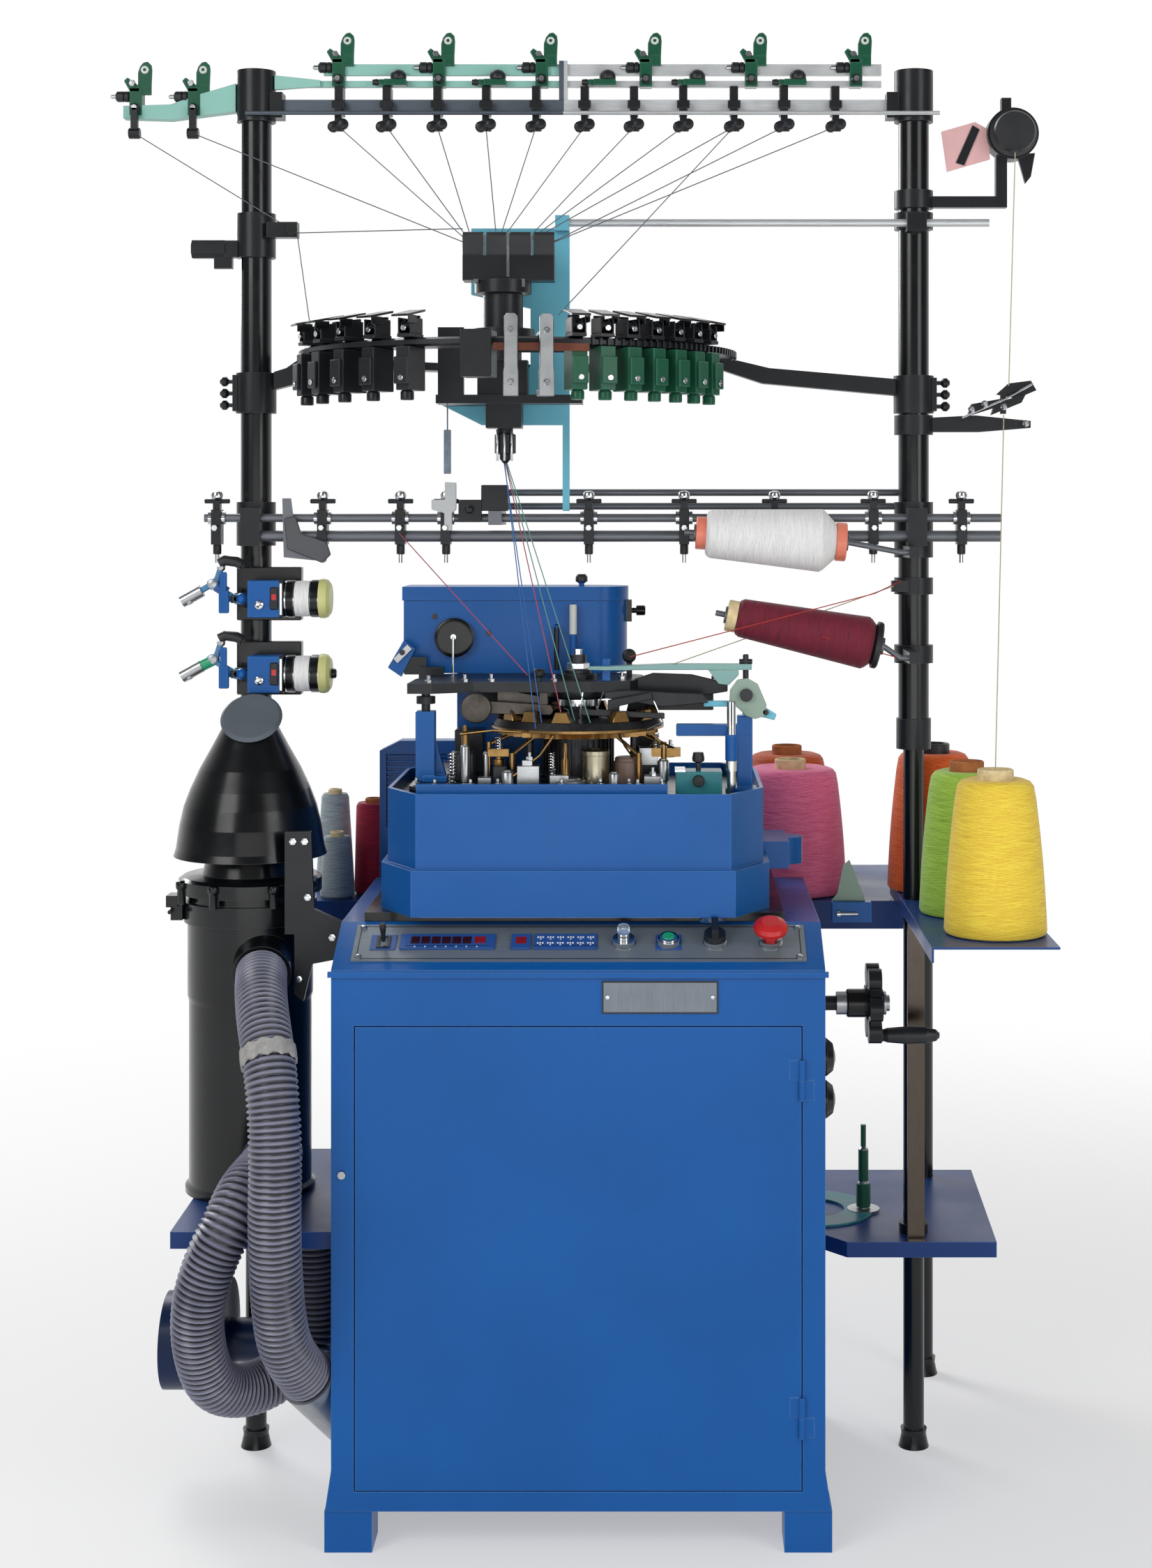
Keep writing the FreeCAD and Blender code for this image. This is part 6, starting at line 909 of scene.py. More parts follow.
quadrant = bmesh.new()
pivot = (222, 1090)
sector = [(-21, -2), (-20, 14), (-10, 28), (4, 30), (18, 22), (24, 8), (30, -6), (28, -22), (14, -26), (2, -22),
          (-8, -12)]
plate(quadrant, [(pivot[0] + dx, pivot[1] + dz) for dx, dz in sector], -118, 6)
ease(quadrant, 1)
make_piece("visual_quadrant", quadrant, quadrant_green, stands_for=("head_levers",))
beak = bmesh.new()
plate(beak, [(238, 1086), (250, 1080), (266, 1070), (263, 1062), (240, 1068)], -114, 6)
block(beak, (219, -112, 1068), (229, -106, 1090))
block(beak, (166, -106, 1080), (206, -98, 1088))
ease(beak, 1)
make_piece("visual_quadrant_beak", beak, sky_enamel, stands_for=("head_levers",))

wheel = bmesh.new()
turned(wheel, closed(5, 0, 6, 2, 19, 3, 21, 4, 21, 11, 19, 12), (-146, -120, 1080), FORWARD, 40)
plate(wheel, [(-140, 1072), (-44, 1070), (-40, 1076), (-44, 1084), (-140, 1090)], -124, 6)
plate(wheel, [(-118, 1101), (-92, 1101), (-64, 1096), (-44, 1082), (-42, 1070), (-58, 1070), (-80, 1084),
              (-118, 1086)], -112, 6)
block(wheel, (-60, -124, 1084), (-48, -118, 1101))
ease(wheel, 0.7)
make_piece("visual_disc_wheel", wheel, grey_iron, stands_for=("head_levers",))

castings = bmesh.new()
for low, high in (((61, -30, 1069), (181, 30, 1101)), ((89, -62, 1101), (196, 20, 1109)),
                  ((-149, -5, 1069), (-71, 45, 1101)), ((-120, -165, 980), (-103, -140, 1004)),
                  ((-182, -128, 980), (-150, -92, 1018)), ((78, -113, 980), (103, -77, 1000)),
                  ((-185, -20, 980), (-145, 25, 1040)), ((74, -20, 980), (98, 40, 1040))):
    block(castings, low, high)
plate(castings, [(28, 1101), (60, 1103), (165, 1098), (172, 1086), (110, 1080), (60, 1088), (30, 1092)], -112, 8)
plate(castings, [(58, 1112), (96, 1124), (150, 1122), (200, 1110), (200, 1098), (150, 1090), (60, 1094)], -68, 6)
plate(castings, [(-6, 1079), (112, 1073), (112, 1065), (-6, 1070)], -128, 6)
plate(castings, [(34, 1090), (93, 1101), (96, 1092), (50, 1082), (50, 1066), (34, 1066)], -122, 8)
turned(castings, [(26, 0), (44, 0), (46, 3), (46, 12), (26, 12)], (*AXIS, 1089), UP, 40)
turned(castings, closed(7, 0, 9, 3, 9, 10, 7, 12), (-61, -116, 1121), UP, 16)
turned(castings, closed(4, 0, 4, 8), (-61, -116, 1114), UP, 10)
turned(castings, closed(9, 0, 10, 2, 10, 8, 8, 10), (62, -14, 1145), FORWARD, 18)
block(castings, (58, -14, 1108), (66, -8, 1148))
ease(castings, 1)
make_piece("visual_head_castings", castings, cast_black, stands_for=("head_blocks",))

cans = bmesh.new()
turned(cans, closed(18.5, 0, 18.5, 38, 19.5, 38.5, 19.5, 44, 17, 46, 13, 46, 12, 44),
       (18, -150, PLATFORM), UP, 32)
khaki_can = brushed("nickel_plated_can", "B0AA94", (90, 90, 1), 0.26)
make_piece("visual_khaki_can", cans, khaki_can, stands_for=("head_blocks",))
cans = bmesh.new()
turned(cans, closed(19.5, 0, 19.5, 27, 18, 29, 18, 32, 16, 34), (62, -132, PLATFORM),
       UP, 32)
brown_can = moulded_plastic("brown_lacquered_can", "6E5A50", 0.35)
make_piece("visual_brown_can", cans, brown_can, stands_for=("head_blocks",))

machined = bmesh.new()
for low, high in (((-87, -178, 980), (-57, -152, 1006)), ((-43, -182, 980), (-17, -158, 994)),
                  ((84, -176, 980), (108, -150, 992)), ((-140, -176, 980), (-122, -158, 990)),
                  ((77, -113, 1000), (103, -84, 1024)), ((-80, -180, 1006), (-66, -166, 1014))):
    block(machined, low, high)
for place, radius, height in (((-17, -168, 980), 22, 9), ((-100, -170, 980), 9, 20), ((-160, -140, 980), 6, 52),
                              ((110, -120, 980), 8, 30), ((44, -174, 980), 7, 18), ((-132, -120, 980), 5, 40)):
    turned(machined, closed(radius, 0, radius, height - 3, radius * 0.7, height - 2, radius * 0.7, height), place,
           UP, 20)
ease(machined, 0.6)
make_piece("visual_head_blocks", machined, steel, stands_for=("head_blocks",))

cam = bmesh.new()
plate(cam, [(-14, 0), (14, 0), (8, 15), (-8, 15)], -111, 14)
ease(cam, 0.8)
CAM_ANGLES = (-35, -10, 34, 62, 96, 130, 165, 200, 235, 270, 302)
spread("visual_brass_cams", cam, [(*AXIS, 1062, turn) for turn in CAM_ANGLES], brass)
rim = bmesh.new()
turned(rim, [(117.6, 0), (120, 0), (120, 3.5), (117.6, 3.5)], (*AXIS, 1049), UP, 72, hollow=True)
for place, radius, height in (((-22, -172, 980), 5, 56), ((-160, -140, 1032), 5, 26), ((-114, -140, 1004), 8, 12),
                              ((116, -96, 1010), 11, 10), ((100, -110, 1024), 7, 8)):
    turned(rim, closed(radius, 0, radius, height * 0.6, radius * 0.6, height * 0.66, radius * 0.6, height * 0.9,
                       radius * 0.4, height), place, UP, 18)
block(rim, (-128, -150, 1016), (-100, -138, 1026))
block(rim, (94, -116, 1012), (134, -100, 1024))
wire(rim, [(-166, -150, 1046), (-120, -158, 1052), (-82, -166, 1050)], 1.6)
wire(rim, [(-92, -176, 992), (-56, -176, 1020), (-38, -172, 1046)], 1.8)
wire(rim, [(132, -108, 1020), (106, -130, 1034), (92, -128, 1047)], 1.6)
wire(rim, [(70, -140, 1012), (58, -150, 1030), (50, -160, 1048)], 1.4)
make_piece("visual_brass_fittings", rim, brass)

ringed = bmesh.new()
turned(ringed, [(24, 0), (28.5, 0), (29, 1), (29, 10), (28.5, 11), (24, 11)], (*AXIS, 1078), UP, 40, hollow=True)
turned(ringed, closed(15, 0, 16, 1, 16, 8, 12, 10, 12, 16, 6, 18, 6, 28),
       (*AXIS, 1129), UP, 6)
make_piece("visual_dial_nut", ringed, chrome, body="dial", sharp=20)
needle = bmesh.new()
wire(needle, [(0, -46, 0), (0, -46, 10), (0, -48.5, 12.5), (0, -49.5, 10)], 0.5, 5)
spread("visual_needle_hooks", needle, [(*AXIS, 1044, i * 5) for i in range(72)], chrome,
       body="needle_cylinder")

springs = bmesh.new()
for x, y, z, radius, height, turns in ((-114, -140, 1016, 4, 26, 7), (-40, -176, 994, 4, 30, 8),
                                       (100, -120, 1024, 4, 20, 6), (-178, -140, 980, 5, 40, 9)):
    sides = 10 * turns
    wire(springs, [(x + radius * math.cos(math.pi * k / 5), y + radius * math.sin(math.pi * k / 5),
                    z + height * k / sides) for k in range(sides + 1)], 0.9, 5)
for start, bend, end in (((28, -116, 1101), (20, -128, 1080), (26, -120, 1050)),
                         ((0, -124, 1101), (-4, -130, 1070), (4, -126, 1050)),
                         ((-44, -112, 1084), (-20, -128, 1078), (-14, -116, 1052)),
                         ((96, -112, 1092), (110, -124, 1060), (86, -130, 1050))):
    wire(springs, [start, bend, end], 1.1, 6)
wire(springs, [(-193, 44, 1168), (-193, 44, 1116)], 1.8)
turned(springs, closed(4, 0, 4, 4), (-193, 51, 1168), FORWARD, 14)
make_piece("visual_head_springs", springs, chrome)

bolt = bmesh.new()
turned(bolt, [(0, -1), (5, -1), (5, 4), (4.4, 4.6), (0, 4.6)], (0, 0, 0), UP, 6)
turned(bolt, [(0, 4.6), (2.5, 4.6), (2.5, 10), (2, 10.6), (0, 10.6)], (0, 0, 0), UP, 10)
spread("visual_head_bolts", bolt, [(x, y, z, 20) for x, y, z in (
    (-210, -138, ARM_TOP), (-162, -118, ARM_TOP), (-126, -112, ARM_TOP), (-40, -114, ARM_TOP), (52, -66, ARM_TOP),
    (-222, -180, PLATFORM), (-196, -196, PLATFORM), (-148, -196, PLATFORM), (-112, -190, PLATFORM),
    (64, -190, PLATFORM), (76, -196, PLATFORM), (108, -190, PLATFORM), (-70, -173, 1014), (96, -163, 992),
    (120, -108, 1024), (150, -30, 1109), (180, -50, 1109), (-26, -196, PLATFORM), (26, -192, PLATFORM))],
       chrome, sharp=20)

bearing = bmesh.new()
left, right = -215, 222
for low, high in (((left - 13, -138, 980), (left + 13, -112, 1076)),
                  ((left - 3, -141, 979.8), (left + 30, -105, 988)),
                  ((right - 10, -112, 958), (right + 11, -90, 1068)),
                  ((right - 94, -111.4, 1040), (right + 10.4, -90.6, 1056)),
                  ((right - 26, -125, 957.8), (right + 18, -85, 970))):
    block(bearing, low, high)
plate(bearing, [(left + 13, 980), (left + 13, 1035), (left + 30, 980)], -125, 12)
turned(bearing, closed(8.5, 0, 8.5, 36), (203, -140, 1009), UP, 24)
wire(bearing, [(-20, 50, 1116), (-20, 50, 1172)], 4.5, 12)
block(bearing, (26, -108, 1115), (37, -100, 1146))
ease(bearing, 1.2)
make_piece("visual_head_posts", bearing, blue_enamel, stands_for=("head_posts",))
rods = bmesh.new()
turned(rods, closed(6, 0, 6, 130, 5, 132), (203, -140, 958), UP, 24)
turned(rods, closed(7.5, 0, 7.5, 14), (203, -140, 995), UP, 24)
block(rods, (126, -160, 996), (140, -110, 998))
make_piece("visual_guide_rod", rods, chrome, stands_for=("head_posts",))
pad = bmesh.new()
block(pad, (127, -160, 958), (190, -110, 996))
ease(pad, 1.5)
teal_enamel = enamel("deep_teal_enamel", "2E7C86", "8CC0C6", 0.32, edge_share=0.6)
make_piece("visual_teal_pad", pad, teal_enamel, stands_for=("head_posts",))
knobs = bmesh.new()
turned(knobs, closed(3.5, 0, 3.5, 10, 8, 12, 8.5, 16, 7, 24), (158, -135, 996), UP, 20)
turned(knobs, closed(4, 0, 4, 83, 3, 84), (224, -101, 1068), UP, 14)
turned(knobs, closed(3.5, 0, 3.5, 18), (215, -101, 1142), RIGHT, 10)
turned(knobs, closed(8, 0, 9, 2, 9, 6), (224, -118, 1097), FORWARD, 20)
turned(knobs, closed(4, 0, 4, 4), (251, -114, 1073), FORWARD, 10)
turned(knobs, closed(7, 0, 8, 2, 8, 8, 7, 10), (158, -158, 984), FORWARD, 16)
make_piece("visual_head_knobs", knobs, black_plastic, stands_for=("head_posts",))


# ---- gearbox trim ----
# On the box's front sit a black sight glass, a dark bent handle and a white-sleeved rod; on its right end a black
# bracket with a knurled knob, and at its lower left a bright clip on a blue bracket. The lid's knob is black.
trim = bmesh.new()
turned(trim, [(0, 0), (22, 0), (23, 1), (28.5, 1), (28.5, 3), (27, 4), (22, 4), (0, 3)], (-192, 53, 1167),
       FORWARD, 48)
wire(trim, [(-44, 49.6, 1120), (-44, 49.6, 1180), (-44, 60, 1183)], 3.6, 12)
block(trim, (54, 98, 1188), (64, 122, 1220))
turned(trim, closed(4, 0, 4, 6, 7.5, 7, 7.5, 18, 6, 20), (64, 110, 1204), RIGHT, 18)
turned(trim, closed(4, 0, 4, 3), (-221, 61, 1197), FORWARD, 14)
turned(trim, closed(4, 0, 4, 2), (-143, 61, 1173), FORWARD, 14)
turned(trim, closed(4, 0, 4, 4), (-264, 24, 1147), FORWARD, 12)
make_piece("visual_gearbox_trim", trim, gloss_black)
trim = bmesh.new()
turned(trim, closed(8.4, 0, 8.8, 1, 8.8, 7, 6, 11), (-9, 82, 1247), UP, 24)
make_piece("visual_lid_knob", trim, black_plastic, body="gearbox_lid")
trim = bmesh.new()
turned(trim, closed(5.5, 0, 5.5, 42, 4.5, 43), (-20, 50, 1172), UP, 18)
make_piece("visual_white_sleeve", trim, ceramic)
trim = bmesh.new()
plate(trim, [(-285, 1125), (-262, 1165), (-246, 1152), (-266, 1112)], 27, 3)
ease(trim, 0.5)
make_piece("visual_clip_bracket", trim, blue_enamel)
trim = bmesh.new()
plate(trim, [(-277, 1138), (-257, 1159), (-250, 1152), (-271, 1131)], 24, 3)
ease(trim, 0.4)
make_piece("visual_clip_plate", trim, steel)


# ---- console ----
# A brushed steel fascia screwed to the slope with an engraved line round it. On it lie printed key films, a toggle
# and four controls in threaded chrome collars, with a folded blue film behind the selector. Below it is a data
# plate with its border and rivets.
SLOPE_RUN, SLOPE_RISE = 0.9119, 0.4104        # how far back and how far up the console goes in 1 mm
SLOPE = (0, -SLOPE_RISE, SLOPE_RUN)           # the way that it faces
KEY_PITCH = 13.6


def console(x, up, out):
    """A place on the console, in millimetres up its slope and out of it."""
    return x, -300 + SLOPE_RUN * up - SLOPE_RISE * out, 755 + SLOPE_RISE * up + SLOPE_RUN * out


def label(solid, x0, x1, low, high, out, thick):
    """Adds a flat block on the console's slope."""
    corners = ((x0, low), (x1, low), (x1, high), (x0, high))
    prism(solid, *([console(x, up, height) for x, up in corners] for height in (out, out + thick)))


fascia_steel = brushed("brushed_fascia_steel", "7F8A94", (1, 90, 90), 0.42)
fascia_steel.node_tree.nodes["Principled BSDF"].inputs["Metallic"].default_value = 0.3      # under a clear lacquer
dress(fascia_steel, "fascia_plate")
films = bmesh.new()
for x0, x1 in ((-236, -111), (-90, -64), (-60, 23)):
    label(films, x0, x1, 42, 75, 2, 3)
for x0, x1, low, high in ((-275, -263, 42, 75), (-253, -241, 42, 75), (-263, -253, 42, 47), (-263, -253, 69, 75)):
    label(films, x0, x1, low, high, 2, 1.2)
label(films, 100, 134, 41, 76, 2, 1)
ease(films, 0.5)
make_piece("visual_key_films", films, key_film, stands_for=("keypad_panels",))
lines = bmesh.new()
for x0, x1, low, high in ((-291, 291, 22, 23.4), (-291, 291, 94.6, 96), (-291, -289.6, 22, 96),
                          (289.6, 291, 22, 96)):
    label(lines, x0, x1, low, high, 2, 0.25)
for x0, x1 in ((-229, -118), (-62, 25)):
    label(lines, x0, x1, 47, 47.8, 5, 0.2)
for low, high in (((31, -302.4, 699), (181, -301.9, 701)), ((31, -302.4, 739), (181, -301.9, 741)),
                  ((31, -302.4, 701), (33, -301.9, 739)), ((179, -302.4, 701), (181, -301.9, 739))):
    block(lines, low, high)
for x0, x1, low, high in ((-267, -263, 45, 71), (-253, -249, 45, 71), (-263, -253, 45, 47), (-263, -253, 69, 71)):
    label(lines, x0, x1, low, high, 3.2, 1.4)
make_piece("visual_console_lines", lines, black_plastic)
lens = moulded_plastic("dark_red_key_lens", "35101A", 0.25, 300, 0.00001)
keys = bmesh.new()
for i in range(6):
    label(keys, -222 + KEY_PITCH * i, -210.4 + KEY_PITCH * i, 52, 68, 5, 0.6)
ease(keys, 0.3)
make_piece("visual_dark_keys", keys, lens)
keys = bmesh.new()
label(keys, -138, -124, 53, 68, 5, 0.8)
label(keys, -84, -70, 52, 67, 5, 0.8)
ease(keys, 0.3)
red_lens = moulded_plastic("red_key_lens", "8E1822", 0.25, 300, 0.00001)
make_piece("visual_red_keys", keys, red_lens)
marks = bmesh.new()
for i in range(7):
    label(marks, -217 + KEY_PITCH * i, -215 + KEY_PITCH * i, 44.4, 46.6, 5, 0.2)
for row in (52, 65):
    for group in range(6):
        for mark in range(3):
            x = -56 + 13.2 * group + 3.3 * mark
            label(marks, x, x + 2.2, row, row + 3.4, 5, 0.2)
        label(marks, -52.5 + 13.2 * group, -50.5 + 13.2 * group, row - 3.6, row - 1.8, 5, 0.2)
white_print = moulded_plastic("white_screen_print", "E8ECF2", 0.5, 300, 0.00001)
make_piece("visual_key_marks", marks, white_print)
collars = bmesh.new()
for x in (58, 117, 178, 251):
    turned(collars, [(9.4, 0), (16, 0), (16, 1.5), (14.2, 2.2), (15.4, 3), (14.2, 3.8), (15.4, 4.6), (14.2, 5.4),
                     (14.6, 7.3), (9.4, 7.3)], console(x, 58, 2), SLOPE, 32, hollow=True)
for x in (-288, 288):
    for up in (26, 92):
        turned(collars, [(0, 0), (4.6, 0), (4.4, 2), (3, 3), (0, 3.2)], console(x, up, 2), SLOPE, 16)
for x in (38, 174):
    turned(collars, [(0, 0), (3.4, 0), (2.6, 1.6), (0, 2)], (x, -302, 720), FORWARD, 14)
block(collars, (-215, -198, 805), (158, -196, 810))
make_piece("visual_control_collars", collars, chrome)
neck = bmesh.new()
turned(neck, [(9, 6.3), (11, 6.6), (11, 8), (10, 9), (11, 10), (9, 10)], console(251, 58, 9.4), SLOPE, 32,
       hollow=True)
make_piece("visual_stop_neck", neck, chrome, body="stop_button")
ring = bmesh.new()
turned(ring, [(9, 0), (11.5, 0.4), (11.5, 3.4), (9, 3.6)], console(117, 58, 9.4), SLOPE, 32, hollow=True)
make_piece("visual_start_ring", ring, chrome)
acrylic, tree, shader, where = new_finish("clear_acrylic_cap")
tree.links.new(varied(tree, where, 200, (hex_colour("DCE6EE"), hex_colour("C8D8E6"))), shader.inputs["Base Color"])
shader.inputs["Transmission Weight"].default_value = 0.85
shader.inputs["Roughness"].default_value = 0.08
cap = bmesh.new()
turned(cap, [(0, 0), (8.3, 0), (8.6, 5), (7.4, 9), (4, 10.4), (0, 10.6)], console(58, 58, 19.2), SLOPE, 28)
make_piece("visual_clear_cap", cap, acrylic, body="push_button")
film = bmesh.new()
plate(film, [(156, 799), (164, 806), (178, 808), (190, 803), (203, 805), (203, 796), (196, 790), (186, 788),
             (177, 796), (160, 793)], -199, 3)
for vert in film.verts:
    vert.co.y -= 5 * math.sin((vert.co.x - 156) / 9)        # folded in waves of 57 mm
ease(film, 0.5)
blue_film = moulded_plastic("folded_blue_film", "4C7DB4", 0.15, 60, 0.0004)
make_piece("visual_blue_film", film, blue_film)
name_plate = bmesh.new()
block(name_plate, (33, -302.2, 701), (179, -301.8, 739))
satin_plate = brushed("satin_data_plate", "7F878F", (90, 1, 1), 0.36)
make_piece("visual_data_plate", name_plate, satin_plate)


# ---- yarn distribution head ----
# Four black pads on a column, each pair over a rounded box, with bright strips between them. Below the base plate
# are a block and a nozzle with three bright rods, and a paper sleeve hangs from the plate's left end.
strips = bmesh.new()
for x, low, high, wide in ((-139.5, 1706, 1736, 3), (-106.5, 1676, 1738, 4.5), (-73.5, 1706, 1736, 3),
                           (-151, 1668, 1674, 7), (-124, 1668, 1674, 7), (-86, 1662, 1674, 7)):
    block(strips, (x - wide / 2, -68.5, low), (x + wide / 2, -60, high))
for x in (-122, -112, -102):
    turned(strips, closed(1.8, 0, 1.8, 44), (x, -56, 1420), UP, 8)
ease(strips, 0.5)
make_piece("visual_head_strips", strips, chrome)
sleeve = bmesh.new()
block(sleeve, (-198, -46, 1402), (-188, -42, 1464))
block(sleeve, (-194, -45, 1460), (-192, -43, 1502))
ease(sleeve, 0.8)
slate_paper = board("slate_paper_sleeve", "7C8C9C")
make_piece("visual_paper_sleeve", sleeve, slate_paper)


# ---- middle rods ----
# Black clamps with chrome collars and ball-headed wing screws carry the thread guides on the ground steel rods.
# A pale pressed plate, a grey block and a dark paddle are clamped on the rods beside the left pole.
GUIDE_X = (-527, -376, -265, -200, 4, 140, 269, 410, 536)
clamp = bmesh.new()
block(clamp, (-7, -12, -38), (7, 12, 12))
block(clamp, (-5, -8, 12), (5, 8, 24))
turned(clamp, closed(3.4, 0, 3.4, 36), (-18, 0, 24), RIGHT, 10)
turned(clamp, closed(5.5, 0, 6, 2, 6, 14), (0, 0, -52), UP, 14)
ease(clamp, 0.8)
guide_places = [(x, 12, 1340, 0) for x in GUIDE_X]
spread("visual_rod_clamps", clamp, guide_places, cast_black, stands_for=("mid_guides",))
bright = bmesh.new()
for x in (-12, 7):
    turned(bright, [(6.2, 0), (9.5, 0), (9.5, 5), (6.2, 5)], (x, 0, 0), RIGHT, 18, hollow=True)
turned(bright, closed(5, 0, 8, 3, 8.6, 7, 7, 11, 3, 13), (0, -2, 26), UP, 16)
turned(bright, closed(5, 0, 5, 9, 4, 10), (0, -12, -14), FORWARD, 6)
turned(bright, closed(3, 0, 3, 12), (0, 0, -64), UP, 10)
spread("visual_rod_collars", bright, guide_places, chrome)
paddle = bmesh.new()
plate(paddle, [(-428, 1340), (-412, 1342), (-404, 1318), (-368, 1306), (-362, 1288), (-374, 1276), (-424, 1296)],
      -10, 7)
ease(paddle, 1.2)
paddle_plastic = moulded_plastic("dark_grey_moulded_paddle", "4A4C50", 0.35)
make_piece("visual_grey_paddle", paddle, paddle_plastic)
paddle = bmesh.new()
plate(paddle, [(-219, 1352), (-219, 1366), (-200, 1366), (-200, 1391), (-184, 1390), (-184, 1352), (-190, 1347),
               (-190, 1322), (-201, 1322), (-201, 1347)], -8, 8)
ease(paddle, 0.8)
pale_paint = enamel("pale_grey_enamel", "C3C6C8", "E8EAEC", 0.4, edge_share=0.4)
make_piece("visual_pale_plate", paddle, pale_paint)
paddle = bmesh.new()
block(paddle, (-181, -6, 1334), (-148, 4, 1366))
turned(paddle, closed(6, 0, 6, 8, 4, 10), (-165, -6, 1352), FORWARD, 16)
block(paddle, (-149, -2, 1350), (-111, 21, 1387))
ease(paddle, 1)
make_piece("visual_rod_block", paddle, cast_black)


# ---- feeders ----
# Two elastic feeders: a blue box on a black motor housing, and a drum with white yarn on it, black flanges and a
# pale plastic cap. Their tension arms have steel ball joints, a black roller and a sleeve at the tip. To the
# right a pink flag hangs from the rail, and bright screws hold the sensors.
dress(cast_black, "feeder_frames")
boxes = bmesh.new()
housings = bmesh.new()
panels = bmesh.new()
lamps = bmesh.new()
for z in (1226, 1120):
    block(boxes, (-474, -46, z - 26), (-428, 4, z + 26))
    turned(boxes, closed(5, 0, 8, 3, 8.4, 7, 7, 12, 3, 15), (-484, -24, z), FORWARD, 18)
    block(housings, (-498, 5, z - 32), (-406, 26, z + 44))
    block(housings, (-500, -34, z - 6), (-474, -26, z + 6))
    block(housings, (-430, -46.5, z - 26), (-423, 4, z + 26))
    block(panels, (-428, -48, z - 22), (-425, -20, z + 22))
    turned(panels, [(0, 0), (5.5, 0), (6, 1), (6, 3), (4, 4), (0, 3)], (-457, -46, z - 8), FORWARD, 18)
    block(housings, (-442, -47.8, z - 15), (-430, -45, z + 17))
    block(lamps, (-439.5, -48.6, z - 1), (-433, -47.4, z + 7))
for solid in (boxes, housings):
    ease(solid, 1.6)
make_piece("visual_feeder_boxes", boxes, blue_enamel)
make_piece("visual_feeder_housings", housings, gloss_black)
make_piece("visual_feeder_panels", panels, chrome)
make_piece("visual_feeder_lamps", lamps, red_cap)
link_enamel = enamel("steel_blue_enamel", "4E86B4", "A8CCE6", 0.3)
dress(link_enamel, "tension_arm_upper", "tension_arm_lower")
cap_plastic = moulded_plastic("pale_green_moulded_cap", "CFD08A", 0.34)
for z, end in ((1226, "upper"), (1120, "lower")):
    drum = bmesh.new()
    turned(drum, [(21.6, 13), (25, 13.6), (25.4, 24), (25, 34.4), (21.6, 35)], (-422.7, -20, z), RIGHT, 40,
           hollow=True)
    make_piece("visual_feeder_yarn_" + end, drum, yarn["white"], body="feeder_drum_" + end)
    drum = bmesh.new()
    for near, far in ((2, 12), (36, 47)):
        turned(drum, [(21.6, near), (26.6, near), (26.8, (near + far) / 2), (26.6, far), (21.6, far)],
               (-422.7, -20, z), RIGHT, 40, hollow=True)
    if end == "lower":
        turned(drum, closed(7, 0, 7, 5, 5, 7), (-359, -20, z), RIGHT, 16)
    make_piece("visual_feeder_flanges_" + end, drum, gloss_black, body="feeder_drum_" + end)
    drum = bmesh.new()
    turned(drum, [(0, 0), (27.6, 0), (28, 6), (26.6, 11), (21, 15.4), (0, 16)], (-375, -20, z), RIGHT, 40)
    make_piece("visual_feeder_cap_" + end, drum, cap_plastic, body="feeder_drum_" + end)
    arm = bmesh.new()
    for x, height, radius in ((-525, 21, 9), (-560, -1, 8), (-514, 44, 6)):
        turned(arm, [(0, 0), (radius * 0.7, 1), (radius, radius * 0.6), (radius, radius),
                     (radius * 0.7, radius * 1.8), (0, radius * 2)], (x, -29 + radius, z + height), FORWARD, 16)
    wire(arm, [(-569, -29, z - 4), (-541, -29, z + 11.5)], 8.8, 16)
    make_piece("visual_arm_joints_" + end, arm, steel, body="tension_arm_" + end)
    arm = bmesh.new()
    block(arm, (-515, -42, z - 20), (-501, -35, z + 12))
    block(arm, (-513, -42, z + 12), (-504, -35, z + 38))
    block(arm, (-505, -35, z - 5), (-500, -31, z + 5))
    ease(arm, 1.4)
    make_piece("visual_arm_link_" + end, arm, blue_enamel, body="tension_arm_" + end)
    arm = bmesh.new()
    wire(arm, [(-516, -29, z + 50), (-508, -29, z + 54), (-492, -29, z + 52), (-484, -29, z + 48)], 7.5, 14)
    make_piece("visual_arm_roller_" + end, arm, black_plastic, body="tension_arm_" + end)
    arm = bmesh.new()
    wire(arm, [(-541, -29, z + 11.5), (-524, -29, z + 20)] if end == "lower" else
         [(-520, -29, z + 18), (-506, -29, z + 9)], 8, 16)
    make_piece("visual_arm_sleeve_" + end, arm, green_cap if end == "lower" else key_film,
               body="tension_arm_" + end)
flag = bmesh.new()
plate(flag, [(511, 1897), (560, 1911), (581, 1899), (581, 1857), (519, 1839)], 42, 2)
ease(flag, 0.5)
make_piece("visual_pink_flag", flag, moulded_plastic("pale_pink_sheet", "E7B6B6", 0.4))
feeder_trim = bmesh.new()
for x, y, z in ((613, 26, 1893), (553, 34, 1496), (572, 34, 1504), (600, 38, 1500), (632, 40, 1476)):
    turned(feeder_trim, closed(5, 0, 5, 4, 3, 6, 3, 12), (x, y, z), FORWARD, 14)
wire(feeder_trim, [(540, 34, 1484), (600, 30, 1510), (640, 30, 1532)], 1.5)
make_piece("visual_right_trim", feeder_trim, chrome)


